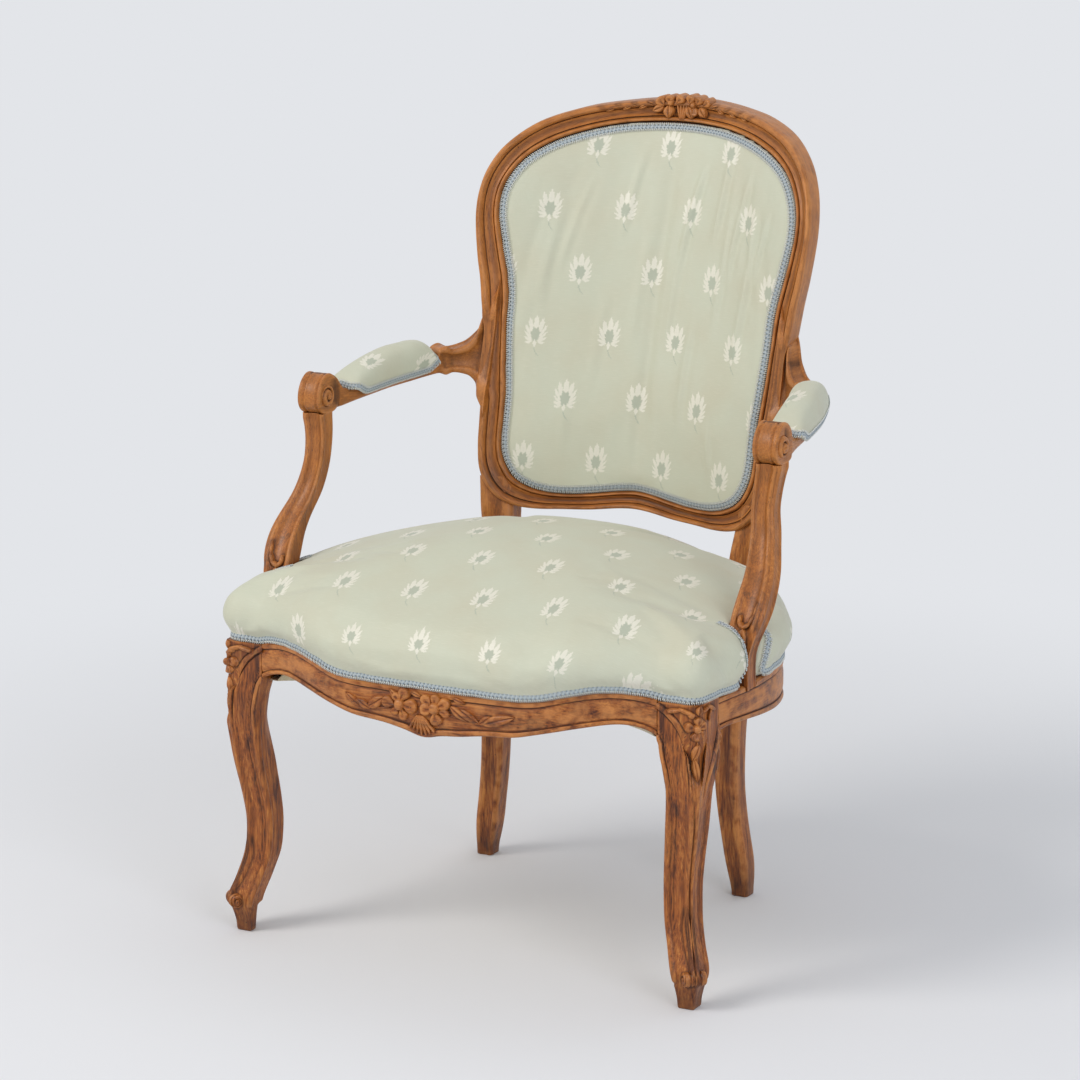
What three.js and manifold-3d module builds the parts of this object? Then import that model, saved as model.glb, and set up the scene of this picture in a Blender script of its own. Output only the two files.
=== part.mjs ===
// A carved armchair with an open wooden frame, a dished back and S-shaped legs.
// Millimetres, +Z up, +X to the sitter's left, the seat facing -Y.
// The chair is a group of separate pieces, mirrored left and right where they come in pairs.

import * as THREE from 'three';
import Module from 'manifold-3d';
import { mergeVertices } from 'three/addons/utils/BufferGeometryUtils.js';

const wasm = await Module();
wasm.setup();

// Whole chair
const SEAT_HALF_WIDTH = 300;
const SEAT_FRONT_REACH = 354;
const SEAT_REAR_REACH = 134;
const RAIL_TOP = 340;
const BACK_HALF_WIDTH = 212;
const BACK_TOP = 872;
const BACK_JOINT_HEIGHT = 745;

// Fits and cuts
const FIT_GAP = 0.3;
const SOFT_GAP = 0.8;
const CUT_OVERRUN = 6;

// Front legs
const LEG_BLOCK_WIDTH = 50;
const LEG_BLOCK_INNER_X = 245;
const LEG_BLOCK_BACK_Y = -250;
const LEG_TOP = 342;
const LEG_SWEEP = 12;

// Seat rails
const RAIL_THICKNESS = 32;
const RAIL_LIP = 10;
const RAIL_REBATE = 6;
const RAIL_WAVE = 9;
const RAIL_DROP = 55;
const SIDE_RAIL_DROP = 40;
const REAR_RAIL_DROP = 44;
const REAR_RAIL_THICKNESS = 26;

// Rear posts
const POST_JOINT_INNER_X = 144;
const POST_JOINT_OUTER_X = 178;
const POST_DEPTH = 32;
const POST_FOOT_FRONT_Y = 77;
const SIDE_RAIL_END_Y = 104;

// Back frame
const FRAME_DEPTH = 32;
const FRAME_LEDGE = 15;
const LEDGE_SETBACK = 9;
const REAR_REBATE = 6;
const BACK_CENTRE_Y = 142;
const BACK_CENTRE_HEIGHT = 452;
const BACK_RAKE_SLOPE_SHARE = 0.288;
const BACK_DISH = 44;
const BACK_DISH_HEIGHT = 500;
const BACK_DISH_GAIN_SHARE = 0.045;
const BACK_DISH_POWER_SHARE = 1.7;
const LOWER_RAIL_END_X = 146;
const LOWER_RAIL_UNDERSIDE = 426;
const LOWER_RAIL_END_TOP = 461;
const LOWER_RAIL_MIDDLE = 20;
const LOWER_RAIL_BOW = 11;

// Arms
const ARM_JOINT_X = 194;
const ARM_JOINT_LOW = 566;
const ARM_JOINT_HIGH = 634;
const ARM_UNDERSIDE = 560;
const ARM_HALF_WIDTH = 15.5;
const ARM_REACH_X = 286;
const ARM_REACH_Y = 126;
const ARM_FULL_HEIGHT = 52;

// Arm supports
const SUPPORT_HALF_WIDTH = 14;
const SUPPORT_BASE_Y = -183;
const SUPPORT_TOP_Y = -102;
const SUPPORT_FOOT_HEIGHT = 334;

// Joinery
const TENON_THICKNESS = 9;
const TENON_HEIGHT = 22;
const TENON_LENGTH = 20;
const TENON_GAP = 0.25;
const PEG_RADIUS = 3;
const PEG_SIDES_COUNT = 8;
const PEG_DEEP = 9;
const PEG_OUT = 12;
const PEG_DRILL = 60;
const CORNER_BLOCK_REACH = 52;
const CORNER_BLOCK_SINK = 4;
const CORNER_BLOCK_HEIGHT = 16;

// Upholstery
const COVER_THICKNESS = 1.6;
const CANVAS_THICKNESS = 1.2;
const WEBBING_THICKNESS = 1.5;
const WEBBING_WIDTH = 50;
const SEAT_CROWN = 458;
const SEAT_CENTRE_Y = -100;
const SEAT_BULGE = 12;
const SEAT_SIDE_HEIGHT = 62;
const STUFFING_INSET = 14;
const POST_CLEARANCE = 5;
const BACK_CROWN = 12;
const BACK_ROLL = 22;
const BACK_PAD_CENTRE_HEIGHT = 660;
const GIMP_THICKNESS = 1.6;
const GIMP_WIDTH = 8;
const ARM_PAD_RISE = 36;
const ARM_PAD_EDGE = 4.5;
const ARM_PAD_SKIRT = 4;
const DUST_COVER_DROP = 50;

// How finely the soft pieces are divided
const SEAT_STATIONS_COUNT = 36;
const BACK_STATIONS_COUNT = 36;
const DUST_COVER_STATIONS_COUNT = 54;
const GIMP_PARTS_COUNT = 3;

// Finishes
const WOOD = { color: 0x7b4a2a, roughness: 0.45, metalness: 0 };
const PALE_WOOD = { color: 0xb08a5c, roughness: 0.7, metalness: 0 };
const DAMASK = { color: 0xc9ccb5, roughness: 0.75, metalness: 0 };
const GIMP = { color: 0x9aa8b0, roughness: 0.9, metalness: 0 };
const CANVAS = { color: 0xb9a77f, roughness: 0.95, metalness: 0 };
const WEBBING = { color: 0xa08558, roughness: 0.95, metalness: 0 };
const STUFFING = { color: 0x6b5238, roughness: 1, metalness: 0 };

// Curves and tables

// Gives a smooth function through rows of [place, value, value ...]. It keeps level stretches level.
function curveThrough(rows) {
  const last = rows.length - 1;
  const secant = (row, column) => {
    const rise = rows[row + 1][column] - rows[row][column];
    return rise / (rows[row + 1][0] - rows[row][0]);
  };
  const slope = (row, column) => {
    if (row === 0) {
      return secant(0, column);
    }
    if (row === last) {
      return secant(last - 1, column);
    }
    const before = secant(row - 1, column);
    const after = secant(row, column);
    if (before * after <= 0) {
      return 0;
    }
    return (2 * before * after) / (before + after);
  };
  return (place) => {
    let row = 0;
    while (row < last - 1 && place > rows[row + 1][0]) {
      row += 1;
    }
    const span = rows[row + 1][0] - rows[row][0];
    const t = Math.min(Math.max((place - rows[row][0]) / span, 0), 1);
    const values = [];
    for (let column = 1; column < rows[0].length; column += 1) {
      const rise = rows[row + 1][column] - rows[row][column];
      const start = slope(row, column) * span;
      const end = slope(row + 1, column) * span;
      const cubic = start + end - 2 * rise;
      const square = 3 * rise - 2 * start - end;
      values.push(rows[row][column] + t * (start + t * (square + t * cubic)));
    }
    return values;
  };
}

// Scales each column of a table of shares by the size that it follows.
function sized(shares, sizes) {
  return shares.map((row) => row.map((share, column) => share * sizes[column]));
}

// Divides a span into equal steps, both ends included.
function steps(from, to, count) {
  const places = [];
  for (let i = 0; i <= count; i += 1) {
    places.push(from + ((to - from) * i) / count);
  }
  return places;
}

function mix(a, b, share) {
  return a + (b - a) * share;
}

// Solids from rings

function signedVolume(points, faces) {
  let sum = 0;
  for (const [a, b, c] of faces) {
    sum += points[a].dot(new THREE.Vector3().crossVectors(points[b], points[c]));
  }
  return sum / 6;
}

function solidFrom(points, faces) {
  const outward = signedVolume(points, faces) > 0;
  const index = faces.flatMap(([a, b, c]) => (outward ? [a, b, c] : [a, c, b]));
  const geometry = new THREE.BufferGeometry();
  const positions = points.flatMap((point) => [point.x, point.y, point.z]);
  geometry.setAttribute('position', new THREE.Float32BufferAttribute(positions, 3));
  geometry.setIndex(index);
  return geometry;
}

// Fills one end ring with triangles that run the same way round as the ring.
function capFaces(ring, first) {
  const normal = new THREE.Vector3();
  ring.forEach((point, i) => {
    normal.add(new THREE.Vector3().crossVectors(point, ring[(i + 1) % ring.length]));
  });
  normal.normalize();
  const across = new THREE.Vector3(normal.y, normal.z, normal.x).cross(normal).normalize();
  const up = new THREE.Vector3().crossVectors(normal, across);
  const flat = ring.map((point) => new THREE.Vector2(point.dot(across), point.dot(up)));
  const turn = ([a, b, c]) => {
    const side = flat[b].clone().sub(flat[a]);
    return side.cross(flat[c].clone().sub(flat[a]));
  };
  return THREE.ShapeUtils.triangulateShape(flat, []).map((face) => {
    const [a, b, c] = turn(face) > 0 ? face : [face[0], face[2], face[1]];
    return [first + a, first + b, first + c];
  });
}

// Joins rings of equally many points into one closed body, or into a loop where closed is true.
function loftRings(rings, closed = false) {
  const count = rings[0].length;
  const points = rings.flat();
  const faces = [];
  const bands = closed ? rings.length : rings.length - 1;
  for (let band = 0; band < bands; band += 1) {
    const near = band * count;
    const far = ((band + 1) % rings.length) * count;
    for (let i = 0; i < count; i += 1) {
      const j = (i + 1) % count;
      faces.push([near + i, near + j, far + j], [near + i, far + j, far + i]);
    }
  }
  if (!closed) {
    const start = capFaces(rings[0], 0).map(([a, b, c]) => [a, c, b]);
    faces.push(...start, ...capFaces(rings.at(-1), points.length - count));
  }
  return solidFrom(points, faces);
}

// Joins rings from an open rim to a single centre point, on an outer and an inner skin.
function shellOf(outer, outerCentre, inner, innerCentre) {
  const count = outer[0].length;
  const points = [...outer.flat(), outerCentre, ...inner.flat(), innerCentre];
  const faces = [];
  const skin = (rings, first, flip) => {
    const centre = first + rings.length * count;
    for (let ring = 0; ring < rings.length; ring += 1) {
      for (let i = 0; i < count; i += 1) {
        const j = (i + 1) % count;
        const a = first + ring * count + i;
        const b = first + ring * count + j;
        const isLast = ring === rings.length - 1;
        const c = isLast ? centre : b + count;
        const d = a + count;
        const found = isLast ? [[a, b, c]] : [[a, b, c], [a, c, d]];
        faces.push(...found.map(([p, q, r]) => (flip ? [p, r, q] : [p, q, r])));
      }
    }
  };
  const innerFirst = outer.length * count + 1;
  skin(outer, 0, false);
  skin(inner, innerFirst, true);
  for (let i = 0; i < count; i += 1) {
    const j = (i + 1) % count;
    faces.push([i, innerFirst + i, innerFirst + j], [i, innerFirst + j, j]);
  }
  return solidFrom(points, faces);
}

// Joins and cuts

function toManifold(geometry) {
  const plain = geometry.clone();
  plain.deleteAttribute('normal');
  plain.deleteAttribute('uv');
  const merged = mergeVertices(plain, 1e-5);
  const vertProperties = new Float32Array(merged.attributes.position.array);
  const triVerts = new Uint32Array(merged.index.array);
  return new wasm.Manifold(new wasm.Mesh({ numProp: 3, vertProperties, triVerts }));
}

function fromManifold(solid) {
  const mesh = solid.getMesh();
  const geometry = new THREE.BufferGeometry();
  geometry.setAttribute('position', new THREE.BufferAttribute(mesh.vertProperties, 3));
  geometry.setIndex(new THREE.BufferAttribute(mesh.triVerts, 1));
  return geometry;
}

function joined(body, ...additions) {
  const solid = additions.reduce((sum, piece) => sum.add(toManifold(piece)), toManifold(body));
  return fromManifold(solid);
}

function cut(body, ...cutters) {
  const solid = cutters.reduce((rest, tool) => rest.subtract(toManifold(tool)), toManifold(body));
  return fromManifold(solid);
}

function mirrored(geometry) {
  const copy = geometry.clone();
  copy.scale(-1, 1, 1);
  const index = copy.index.array;
  for (let i = 0; i < index.length; i += 3) {
    const held = index[i + 1];
    index[i + 1] = index[i + 2];
    index[i + 2] = held;
  }
  return copy;
}

function boxBetween(low, high) {
  const size = high.map((value, i) => value - low[i]);
  const geometry = new THREE.BoxGeometry(...size);
  geometry.translate(...high.map((value, i) => (value + low[i]) / 2));
  return geometry;
}

function grown(low, high, amount) {
  return boxBetween(low.map((value) => value - amount), high.map((value) => value + amount));
}

// Surface of the back

function dishAt(x, z) {
  const depth = BACK_DISH + (z - BACK_DISH_HEIGHT) * BACK_DISH_GAIN_SHARE;
  const reach = Math.abs(x) / (BACK_HALF_WIDTH * 0.769);
  return depth * reach ** BACK_DISH_POWER_SHARE;
}

// Depth of the back's face at a place: it leans back as it rises, and its sides come forward.
function backFace(x, z) {
  return BACK_CENTRE_Y + BACK_RAKE_SLOPE_SHARE * (z - BACK_CENTRE_HEIGHT) - dishAt(x, z);
}

function onBack(x, z, depth) {
  return new THREE.Vector3(x, backFace(x, z) + depth, z);
}

// Seat outline

const FRONT_OUTLINE_SHARES = [
  [0, 1], [0.167, 0.997], [0.333, 0.991], [0.4, 0.983], [0.48, 0.963],
  [0.557, 0.935], [0.633, 0.904], [0.717, 0.872], [0.817, 0.847],
];
const frontOutline = curveThrough(sized(FRONT_OUTLINE_SHARES, [SEAT_HALF_WIDTH, SEAT_FRONT_REACH]));

function frontFaceY(x) {
  return -frontOutline(Math.abs(x))[0];
}

// Height of the wood's visible top edge above the flat of the rails, along the front
const FRONT_WAVE_SHARES = [
  [0, -0.5], [0.333, -0.55], [0.407, -0.44], [0.48, 0.11], [0.557, 0.67],
  [0.65, 1], [0.75, 0.8], [0.817, 0.33],
];
const frontWave = curveThrough(sized(FRONT_WAVE_SHARES, [SEAT_HALF_WIDTH, RAIL_WAVE]));
const FRONT_DROP_SHARES = [
  [0, 1], [0.1, 0.98], [0.2, 0.89], [0.333, 0.84], [0.39, 0.76], [0.453, 0.69],
  [0.52, 0.61], [0.603, 0.53], [0.683, 0.47], [0.75, 0.51], [0.817, 0.67],
];
const frontDrop = curveThrough(sized(FRONT_DROP_SHARES, [SEAT_HALF_WIDTH, RAIL_DROP]));

const SIDE_OUTLINE_SHARES = [
  [1.003, -0.58], [1.007, -0.508], [1.003, -0.395], [0.987, -0.282],
  [0.95, -0.175], [0.885, -0.079], [0.795, 0.051], [0.697, 0.17],
];

function sideOutline() {
  const blockOuterX = LEG_BLOCK_INNER_X + LEG_BLOCK_WIDTH;
  const points = [new THREE.Vector3(blockOuterX, LEG_BLOCK_BACK_Y + FIT_GAP, 0)];
  for (const [xShare, yShare] of SIDE_OUTLINE_SHARES) {
    points.push(new THREE.Vector3(xShare * SEAT_HALF_WIDTH, yShare * SEAT_FRONT_REACH, 0));
  }
  points.push(new THREE.Vector3(POST_JOINT_OUTER_X + FIT_GAP, SIDE_RAIL_END_Y, 0));
  return new THREE.CatmullRomCurve3(points, false, 'centripetal');
}

// Seat rails

// Section of a rail from its inner foot round its moulded face: [share of thickness from the face,
// share of height]. The last three rows are the flat that the webbing is tacked to.
const RAIL_SECTION_SHARES = [
  [0.14, 0], [0.02, 0.05], [0.02, 0.13], [0.11, 0.18], [0.05, 0.26], [0, 0.5],
  [0.04, 0.76], [0.11, 0.82], [0.03, 0.88], [0.06, 1],
];

function railRing(face, outward, bottom, top, thickness) {
  const at = (depth, z) => {
    const point = face.clone().addScaledVector(outward, -depth);
    point.z = z;
    return point;
  };
  const ring = RAIL_SECTION_SHARES.map(([depth, rise]) => at(depth * thickness, mix(bottom, top, rise)));
  const flat = RAIL_TOP - RAIL_REBATE;
  ring.push(at(RAIL_LIP, top), at(RAIL_LIP, flat), at(thickness, flat), at(thickness, bottom));
  return ring;
}

function frontRailBody() {
  const end = LEG_BLOCK_INNER_X - FIT_GAP;
  const rings = steps(-end, end, 26).map((x) => {
    const reach = Math.abs(x);
    const face = new THREE.Vector3(x, frontFaceY(x), 0);
    const bottom = RAIL_TOP - frontDrop(reach)[0];
    const top = RAIL_TOP + frontWave(reach)[0];
    return railRing(face, new THREE.Vector3(0, -1, 0), bottom, top, RAIL_THICKNESS);
  });
  return loftRings(rings);
}

const SIDE_DROP_SHARES = [
  [0, 0.93], [0.08, 0.9], [0.2, 1], [0.4, 1.12], [0.6, 1.12], [0.8, 1.05], [1, 1.1],
];
const sideDrop = curveThrough(sized(SIDE_DROP_SHARES, [1, SIDE_RAIL_DROP]));

// The section turns from square to the leg block to square to the rear post along the curve.
function sideRailBody() {
  const curve = sideOutline();
  const rings = steps(0, 1, 14).map((t) => {
    const face = curve.getPointAt(t);
    const tangent = curve.getTangentAt(t);
    const outward = new THREE.Vector3(tangent.y, -tangent.x, 0);
    if (t === 0) {
      outward.set(1, 0, 0);
    }
    if (t === 1) {
      outward.set(0, 1, 0);
    }
    return railRing(face, outward, RAIL_TOP - sideDrop(t)[0], RAIL_TOP, RAIL_THICKNESS);
  });
  return loftRings(rings);
}

const REAR_OUTLINE_SHARES = [[0, 1], [0.5, 0.955], [0.8, 0.87], [1, 0.8]];
const rearOutline = curveThrough(
  sized(REAR_OUTLINE_SHARES, [POST_JOINT_INNER_X, SEAT_REAR_REACH]),
);

function rearRailBody() {
  const end = POST_JOINT_INNER_X - FIT_GAP;
  const rings = steps(-end, end, 10).map((x) => {
    const face = new THREE.Vector3(x, rearOutline(Math.abs(x))[0], 0);
    const outward = new THREE.Vector3(0, 1, 0);
    return railRing(face, outward, RAIL_TOP - REAR_RAIL_DROP, RAIL_TOP, REAR_RAIL_THICKNESS);
  });
  return loftRings(rings);
}

// Front legs

// Sections in shares of the half width, from the inner corner round by the front. The leg has a
// bead on each edge and a double bead on its outer corner, and the block above is cut off inside.
const LEG_SECTION_SHARES = [
  [-0.65, 1], [-1, 0.65], [-1, -0.74], [-0.86, -0.98], [-0.6, -0.92], [0.25, -0.9],
  [0.6, -1], [0.84, -0.95], [0.84, -0.84], [0.95, -0.84], [1, -0.6], [0.9, -0.25],
  [0.92, 0.6], [0.98, 0.86], [0.74, 1],
];
const BLOCK_SECTION_SHARES = [
  [-0.2, 1], [-1, 0.2], [-1, -0.8], [-0.97, -0.97], [-0.7, -0.96], [0.2, -0.95],
  [0.5, -0.96], [0.76, -0.93], [0.87, -0.87], [0.93, -0.76], [0.96, -0.5], [0.95, -0.2],
  [0.96, 0.5], [0.97, 0.97], [0.8, 1],
];
// Height, sweep outwards along the corner, half width, and how far the section is the block's
const FRONT_LEG_SHARES = [
  [0, 0.75, 0.4, 0], [0.053, 0.75, 0.46, 0], [0.085, 0.85, 0.58, 0], [0.12, 0.85, 0.67, 0],
  [0.155, 0.42, 0.65, 0], [0.206, 0, 0.63, 0], [0.275, -0.5, 0.64, 0], [0.372, -0.62, 0.65, 0],
  [0.468, -0.4, 0.68, 0], [0.561, -0.05, 0.72, 0], [0.658, 0.25, 0.77, 0.1],
  [0.752, 0.42, 0.86, 0.4], [0.833, 0.35, 0.97, 0.8], [0.885, 0, 1, 1], [1, 0, 1, 1],
];

function frontLegBody() {
  const half = LEG_BLOCK_WIDTH / 2;
  const shapeAt = curveThrough(sized(FRONT_LEG_SHARES, [LEG_TOP, LEG_SWEEP, half, 1]));
  const centreX = LEG_BLOCK_INNER_X + half;
  const centreY = LEG_BLOCK_BACK_Y - half;
  const shares = FRONT_LEG_SHARES.map((row) => row[0]);
  const extra = [0.24, 0.32, 0.42, 0.515, 0.61, 0.705];
  const heights = [...shares, ...extra].sort((a, b) => a - b).map((share) => share * LEG_TOP);
  const rings = heights.map((z) => {
    const [sweep, size, block] = shapeAt(z);
    return LEG_SECTION_SHARES.map(([x, y], i) => {
      const [blockX, blockY] = BLOCK_SECTION_SHARES[i];
      return new THREE.Vector3(
        centreX + sweep + size * mix(x, blockX, block),
        centreY - sweep + size * mix(y, blockY, block),
        z,
      );
    });
  });
  return loftRings(rings);
}

// Rear posts and the frame of the back

// Section of the back frame: [share of the width from the inner edge, share of the depth]. It has
// a bead on each edge and a hollow between, a ledge inside for the webbing and a rebate behind.
const FRAME_SECTION_SHARES = [
  [0, -0.03], [0.1, -0.1], [0.22, -0.05], [0.36, 0.07], [0.56, 0.07], [0.68, -0.06],
  [0.82, -0.11], [0.95, -0.03], [1, 0.12], [1, 0.9], [0.9, 1], [0, 1],
];
const POST_SECTION_SHARES = [
  [0, 0.12], [0.1, 0.02], [0.2, 0], [0.36, 0.04], [0.6, 0.04], [0.78, 0],
  [0.88, 0.02], [0.96, 0.06], [1, 0.14], [1, 0.86], [0.86, 1], [0.14, 1],
];

// One ring of the frame or of a post between an inner and an outer edge. The ledge is a length
// inwards from the inner edge, and blend is 0 for a plain post and 1 for the moulded frame.
function frameRing(inner, outer, ledge, blend, plainFront, depth) {
  const along = new THREE.Vector2().subVectors(inner, outer).normalize();
  const place = (x, z, share) => {
    const front = mix(plainFront, backFace(x, z), blend);
    return new THREE.Vector3(x, front + share * depth, z);
  };
  const ring = FRAME_SECTION_SHARES.map(([across, share], i) => {
    const [postAcross, postShare] = POST_SECTION_SHARES[i];
    const width = mix(postAcross, across, blend);
    return place(mix(inner.x, outer.x, width), mix(inner.y, outer.y, width), mix(postShare, share, blend));
  });
  const rebate = mix(0.86, 1 - REAR_REBATE / FRAME_DEPTH, blend);
  const setback = mix(0.3, LEDGE_SETBACK / FRAME_DEPTH, blend);
  const inside = new THREE.Vector2().copy(inner).addScaledVector(along, ledge);
  ring.push(
    place(inner.x, inner.y, rebate),
    place(inside.x, inside.y, rebate),
    place(inside.x, inside.y, setback),
    place(inner.x, inner.y, setback),
  );
  return ring;
}

// Height, inner x, outer x, front y, depth, ledge, and how far the section is the frame's
const POST_SHARES = [
  [0, 0.75, 0.844, 1, 0.66, 0.001, 0], [0.03, 0.737, 0.846, 0.97, 0.8, 0.001, 0],
  [0.047, 0.719, 0.847, 0.948, 0.9, 0.001, 0], [0.086, 0.7, 0.828, 0.922, 0.88, 0.001, 0],
  [0.141, 0.672, 0.804, 0.89, 0.88, 0.001, 0], [0.195, 0.658, 0.792, 0.864, 0.91, 0.001, 0],
  [0.268, 0.653, 0.795, 0.87, 0.94, 0.001, 0], [0.336, 0.66, 0.815, 0.922, 0.97, 0.001, 0],
];
const POST_UPPER_SHARES = [
  [0.517, 0.67, 0.842, 1.17, 1, 0.001, 0], [0.56, 0.672, 0.85, 1.25, 1, 0.001, 0.6],
];
// Height, inner x, outer x and ledge of the frame part, up to its joint with the crest
const STILE_SHARES = [
  [0.635, 0.726, 0.877, 0.5], [0.651, 0.755, 0.882, 0.9], [0.671, 0.77, 0.888, 1],
  [0.711, 0.772, 0.893, 1], [0.741, 0.773, 0.899, 1],
];
const STILE_UPPER_SHARES = [
  [0.862, 0.808, 0.927, 1], [0.893, 0.811, 0.943, 1], [0.926, 0.825, 0.959, 1],
  [0.956, 0.849, 0.979, 1], [0.98, 0.869, 0.991, 1], [1, 0.884, 1, 1],
];

function postTable() {
  const plainSizes = [
    BACK_JOINT_HEIGHT, BACK_HALF_WIDTH, BACK_HALF_WIDTH, POST_FOOT_FRONT_Y, POST_DEPTH, FRAME_LEDGE, 1,
  ];
  const frameRow = ([height, inner, outer, ledge]) => [
    height * BACK_JOINT_HEIGHT, inner * BACK_HALF_WIDTH, outer * BACK_HALF_WIDTH,
    POST_FOOT_FRONT_Y * 1.25, FRAME_DEPTH, ledge * FRAME_LEDGE, 1,
  ];
  const seatRow = (z, front) => [
    z, POST_JOINT_INNER_X, POST_JOINT_OUTER_X, front * POST_FOOT_FRONT_Y, POST_DEPTH, 0.001, 0,
  ];
  const railRow = (z, outer) => [
    z, LOWER_RAIL_END_X, outer * BACK_HALF_WIDTH, POST_FOOT_FRONT_Y * 1.25, FRAME_DEPTH, 0.001, 1,
  ];
  const armRow = (z, inner) => [
    z, inner * BACK_HALF_WIDTH, ARM_JOINT_X, POST_FOOT_FRONT_Y * 1.25, FRAME_DEPTH, FRAME_LEDGE, 1,
  ];
  return [
    ...sized(POST_SHARES, plainSizes),
    seatRow(RAIL_TOP - REAR_RAIL_DROP - CUT_OVERRUN, 0.99), seatRow(RAIL_TOP + CUT_OVERRUN, 1.1),
    ...sized(POST_UPPER_SHARES, plainSizes),
    railRow(LOWER_RAIL_UNDERSIDE - FIT_GAP, 0.851), railRow(LOWER_RAIL_END_TOP, 0.87),
    ...STILE_SHARES.map(frameRow),
    armRow(ARM_JOINT_LOW, 0.778), armRow(mix(ARM_JOINT_LOW, ARM_JOINT_HIGH, 0.5), 0.794),
    armRow(ARM_JOINT_HIGH, 0.806),
    ...STILE_UPPER_SHARES.map(frameRow),
  ];
}

const postShape = curveThrough(postTable());

function postRing(z, clearance = 0) {
  const [innerX, outerX, front, depth, ledge, blend] = postShape(z);
  const inner = new THREE.Vector2(innerX - clearance, z);
  const outer = new THREE.Vector2(outerX + clearance, z);
  return frameRing(inner, outer, ledge, blend, front, depth);
}

function postBody() {
  const rows = postTable().map((row) => row[0]);
  const heights = [...rows];
  rows.slice(1).forEach((z, i) => {
    if (z - rows[i] > 0.075 * BACK_JOINT_HEIGHT) {
      heights.push((z + rows[i]) / 2);
    }
  });
  heights.sort((a, b) => a - b);
  return loftRings(heights.map((z) => postRing(z)));
}

// Inner and outer edge of the crest from its joint to the middle: [inner x, inner z, outer x,
// outer z], in shares of the half width and of the height of the upholstered panel's top
const CREST_SHARES = [
  [0.884, 0.8547, 1, 0.8547], [0.899, 0.8773, 1.008, 0.8807], [0.896, 0.9037, 1.002, 0.9083],
  [0.866, 0.9266, 0.974, 0.9369], [0.797, 0.9507, 0.906, 0.9667], [0.684, 0.9702, 0.769, 0.9954],
  [0.519, 0.9857, 0.571, 1.0138], [0.34, 0.9954, 0.368, 1.0224], [0.146, 0.9997, 0.156, 1.0275],
  [0, 1.0005, 0, 1.0286],
];

function crestRings() {
  const half = CREST_SHARES.map(([innerX, innerZ, outerX, outerZ], i) => {
    const jointLift = i === 0 ? FIT_GAP : 0;
    const joint = i === 0 ? BACK_JOINT_HEIGHT : 0;
    return [
      innerX * BACK_HALF_WIDTH, joint || innerZ * BACK_TOP, outerX * BACK_HALF_WIDTH,
      joint || outerZ * BACK_TOP,
    ].map((value, column) => (column % 2 ? value + jointLift : value));
  });
  const other = half.slice(0, -1).reverse().map(([a, b, c, d]) => [-a, b, -c, d]);
  const rows = [...half, ...other];
  const inner = new THREE.CatmullRomCurve3(rows.map((row) => new THREE.Vector3(row[0], row[1], 0)));
  const outer = new THREE.CatmullRomCurve3(rows.map((row) => new THREE.Vector3(row[2], row[3], 0)));
  return steps(0, 1, 24).map((t) => {
    const flatInner = inner.getPoint(t);
    const flatOuter = outer.getPoint(t);
    const innerPoint = new THREE.Vector2(flatInner.x, flatInner.y);
    const outerPoint = new THREE.Vector2(flatOuter.x, flatOuter.y);
    return frameRing(innerPoint, outerPoint, FRAME_LEDGE, 1, 0, FRAME_DEPTH);
  });
}

// Lower back rail from its middle to its end: [x share, how much of the way the rail has gone from
// its middle level to its end level, top and underside above that level as shares of the bow]
const LOWER_RAIL_SHARES = [
  [0, 0, 0.04, 0.01], [0.12, 0.014, -0.09, -0.06], [0.37, 0.137, -0.65, -0.37],
  [0.6, 0.36, -1.03, -0.37], [0.81, 0.656, -0.95, -0.23], [1, 1, 0, 0],
];
const lowerRailEdges = curveThrough(LOWER_RAIL_SHARES.map(([share, way, top, bottom]) => [
  share * LOWER_RAIL_END_X,
  mix(BACK_CENTRE_HEIGHT, LOWER_RAIL_END_TOP, way) + top * LOWER_RAIL_BOW,
  mix(BACK_CENTRE_HEIGHT - LOWER_RAIL_MIDDLE, LOWER_RAIL_UNDERSIDE, way) + bottom * LOWER_RAIL_BOW,
]));

function lowerRailRings() {
  const end = LOWER_RAIL_END_X - FIT_GAP;
  return steps(-end, end, 16).map((x) => {
    const [top, bottom] = lowerRailEdges(Math.abs(x));
    const inner = new THREE.Vector2(x, top);
    const outer = new THREE.Vector2(x, bottom);
    return frameRing(inner, outer, FRAME_LEDGE, 1, 0, FRAME_DEPTH);
  });
}

// Arms

// Section of an arm: [share of the half width, share of the height], with reeds along the top
const ARM_SECTION_SHARES = [
  [-0.55, 0], [0.55, 0], [0.95, 0.14], [1, 0.4], [0.98, 0.78], [0.72, 1], [0.38, 0.94],
  [0, 1], [-0.38, 0.94], [-0.72, 1], [-0.98, 0.78], [-1, 0.4], [-0.95, 0.14],
];
// Path of an arm from the back to the rounded end: [x share, y share, quarter turns made,
// width share, underside and top above the support as shares of the arm's full height]
const ARM_SHARES = [
  [0.697, -1.06, 0.12, 0.87, 0.24, 1.26], [0.718, -1.03, 0.28, 0.84, 0.34, 1.1],
  [0.755, -0.95, 0.46, 0.84, 0.4, 1.01], [0.8, -0.85, 0.56, 0.87, 0.4, 0.99],
  [0.822, -0.79, 0.6, 1, 0.36, 1.08], [0.84, -0.735, 0.63, 0.97, 0.4, 1.02],
];
const ARM_SEAT_SHARES = [
  [0.852, -0.69, 0.66, 0.97, 0.39, 0.7], [0.875, -0.58, 0.7, 1, 0.36, 0.66],
  [0.9, -0.41, 0.75, 1, 0.32, 0.62], [0.934, -0.135, 0.84, 1, 0.27, 0.58],
  [0.958, 0.175, 0.92, 1, 0.21, 0.54], [0.975, 0.44, 0.96, 1, 0.16, 0.51],
  [0.985, 0.56, 0.98, 1, 0.12, 0.58],
];
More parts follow.
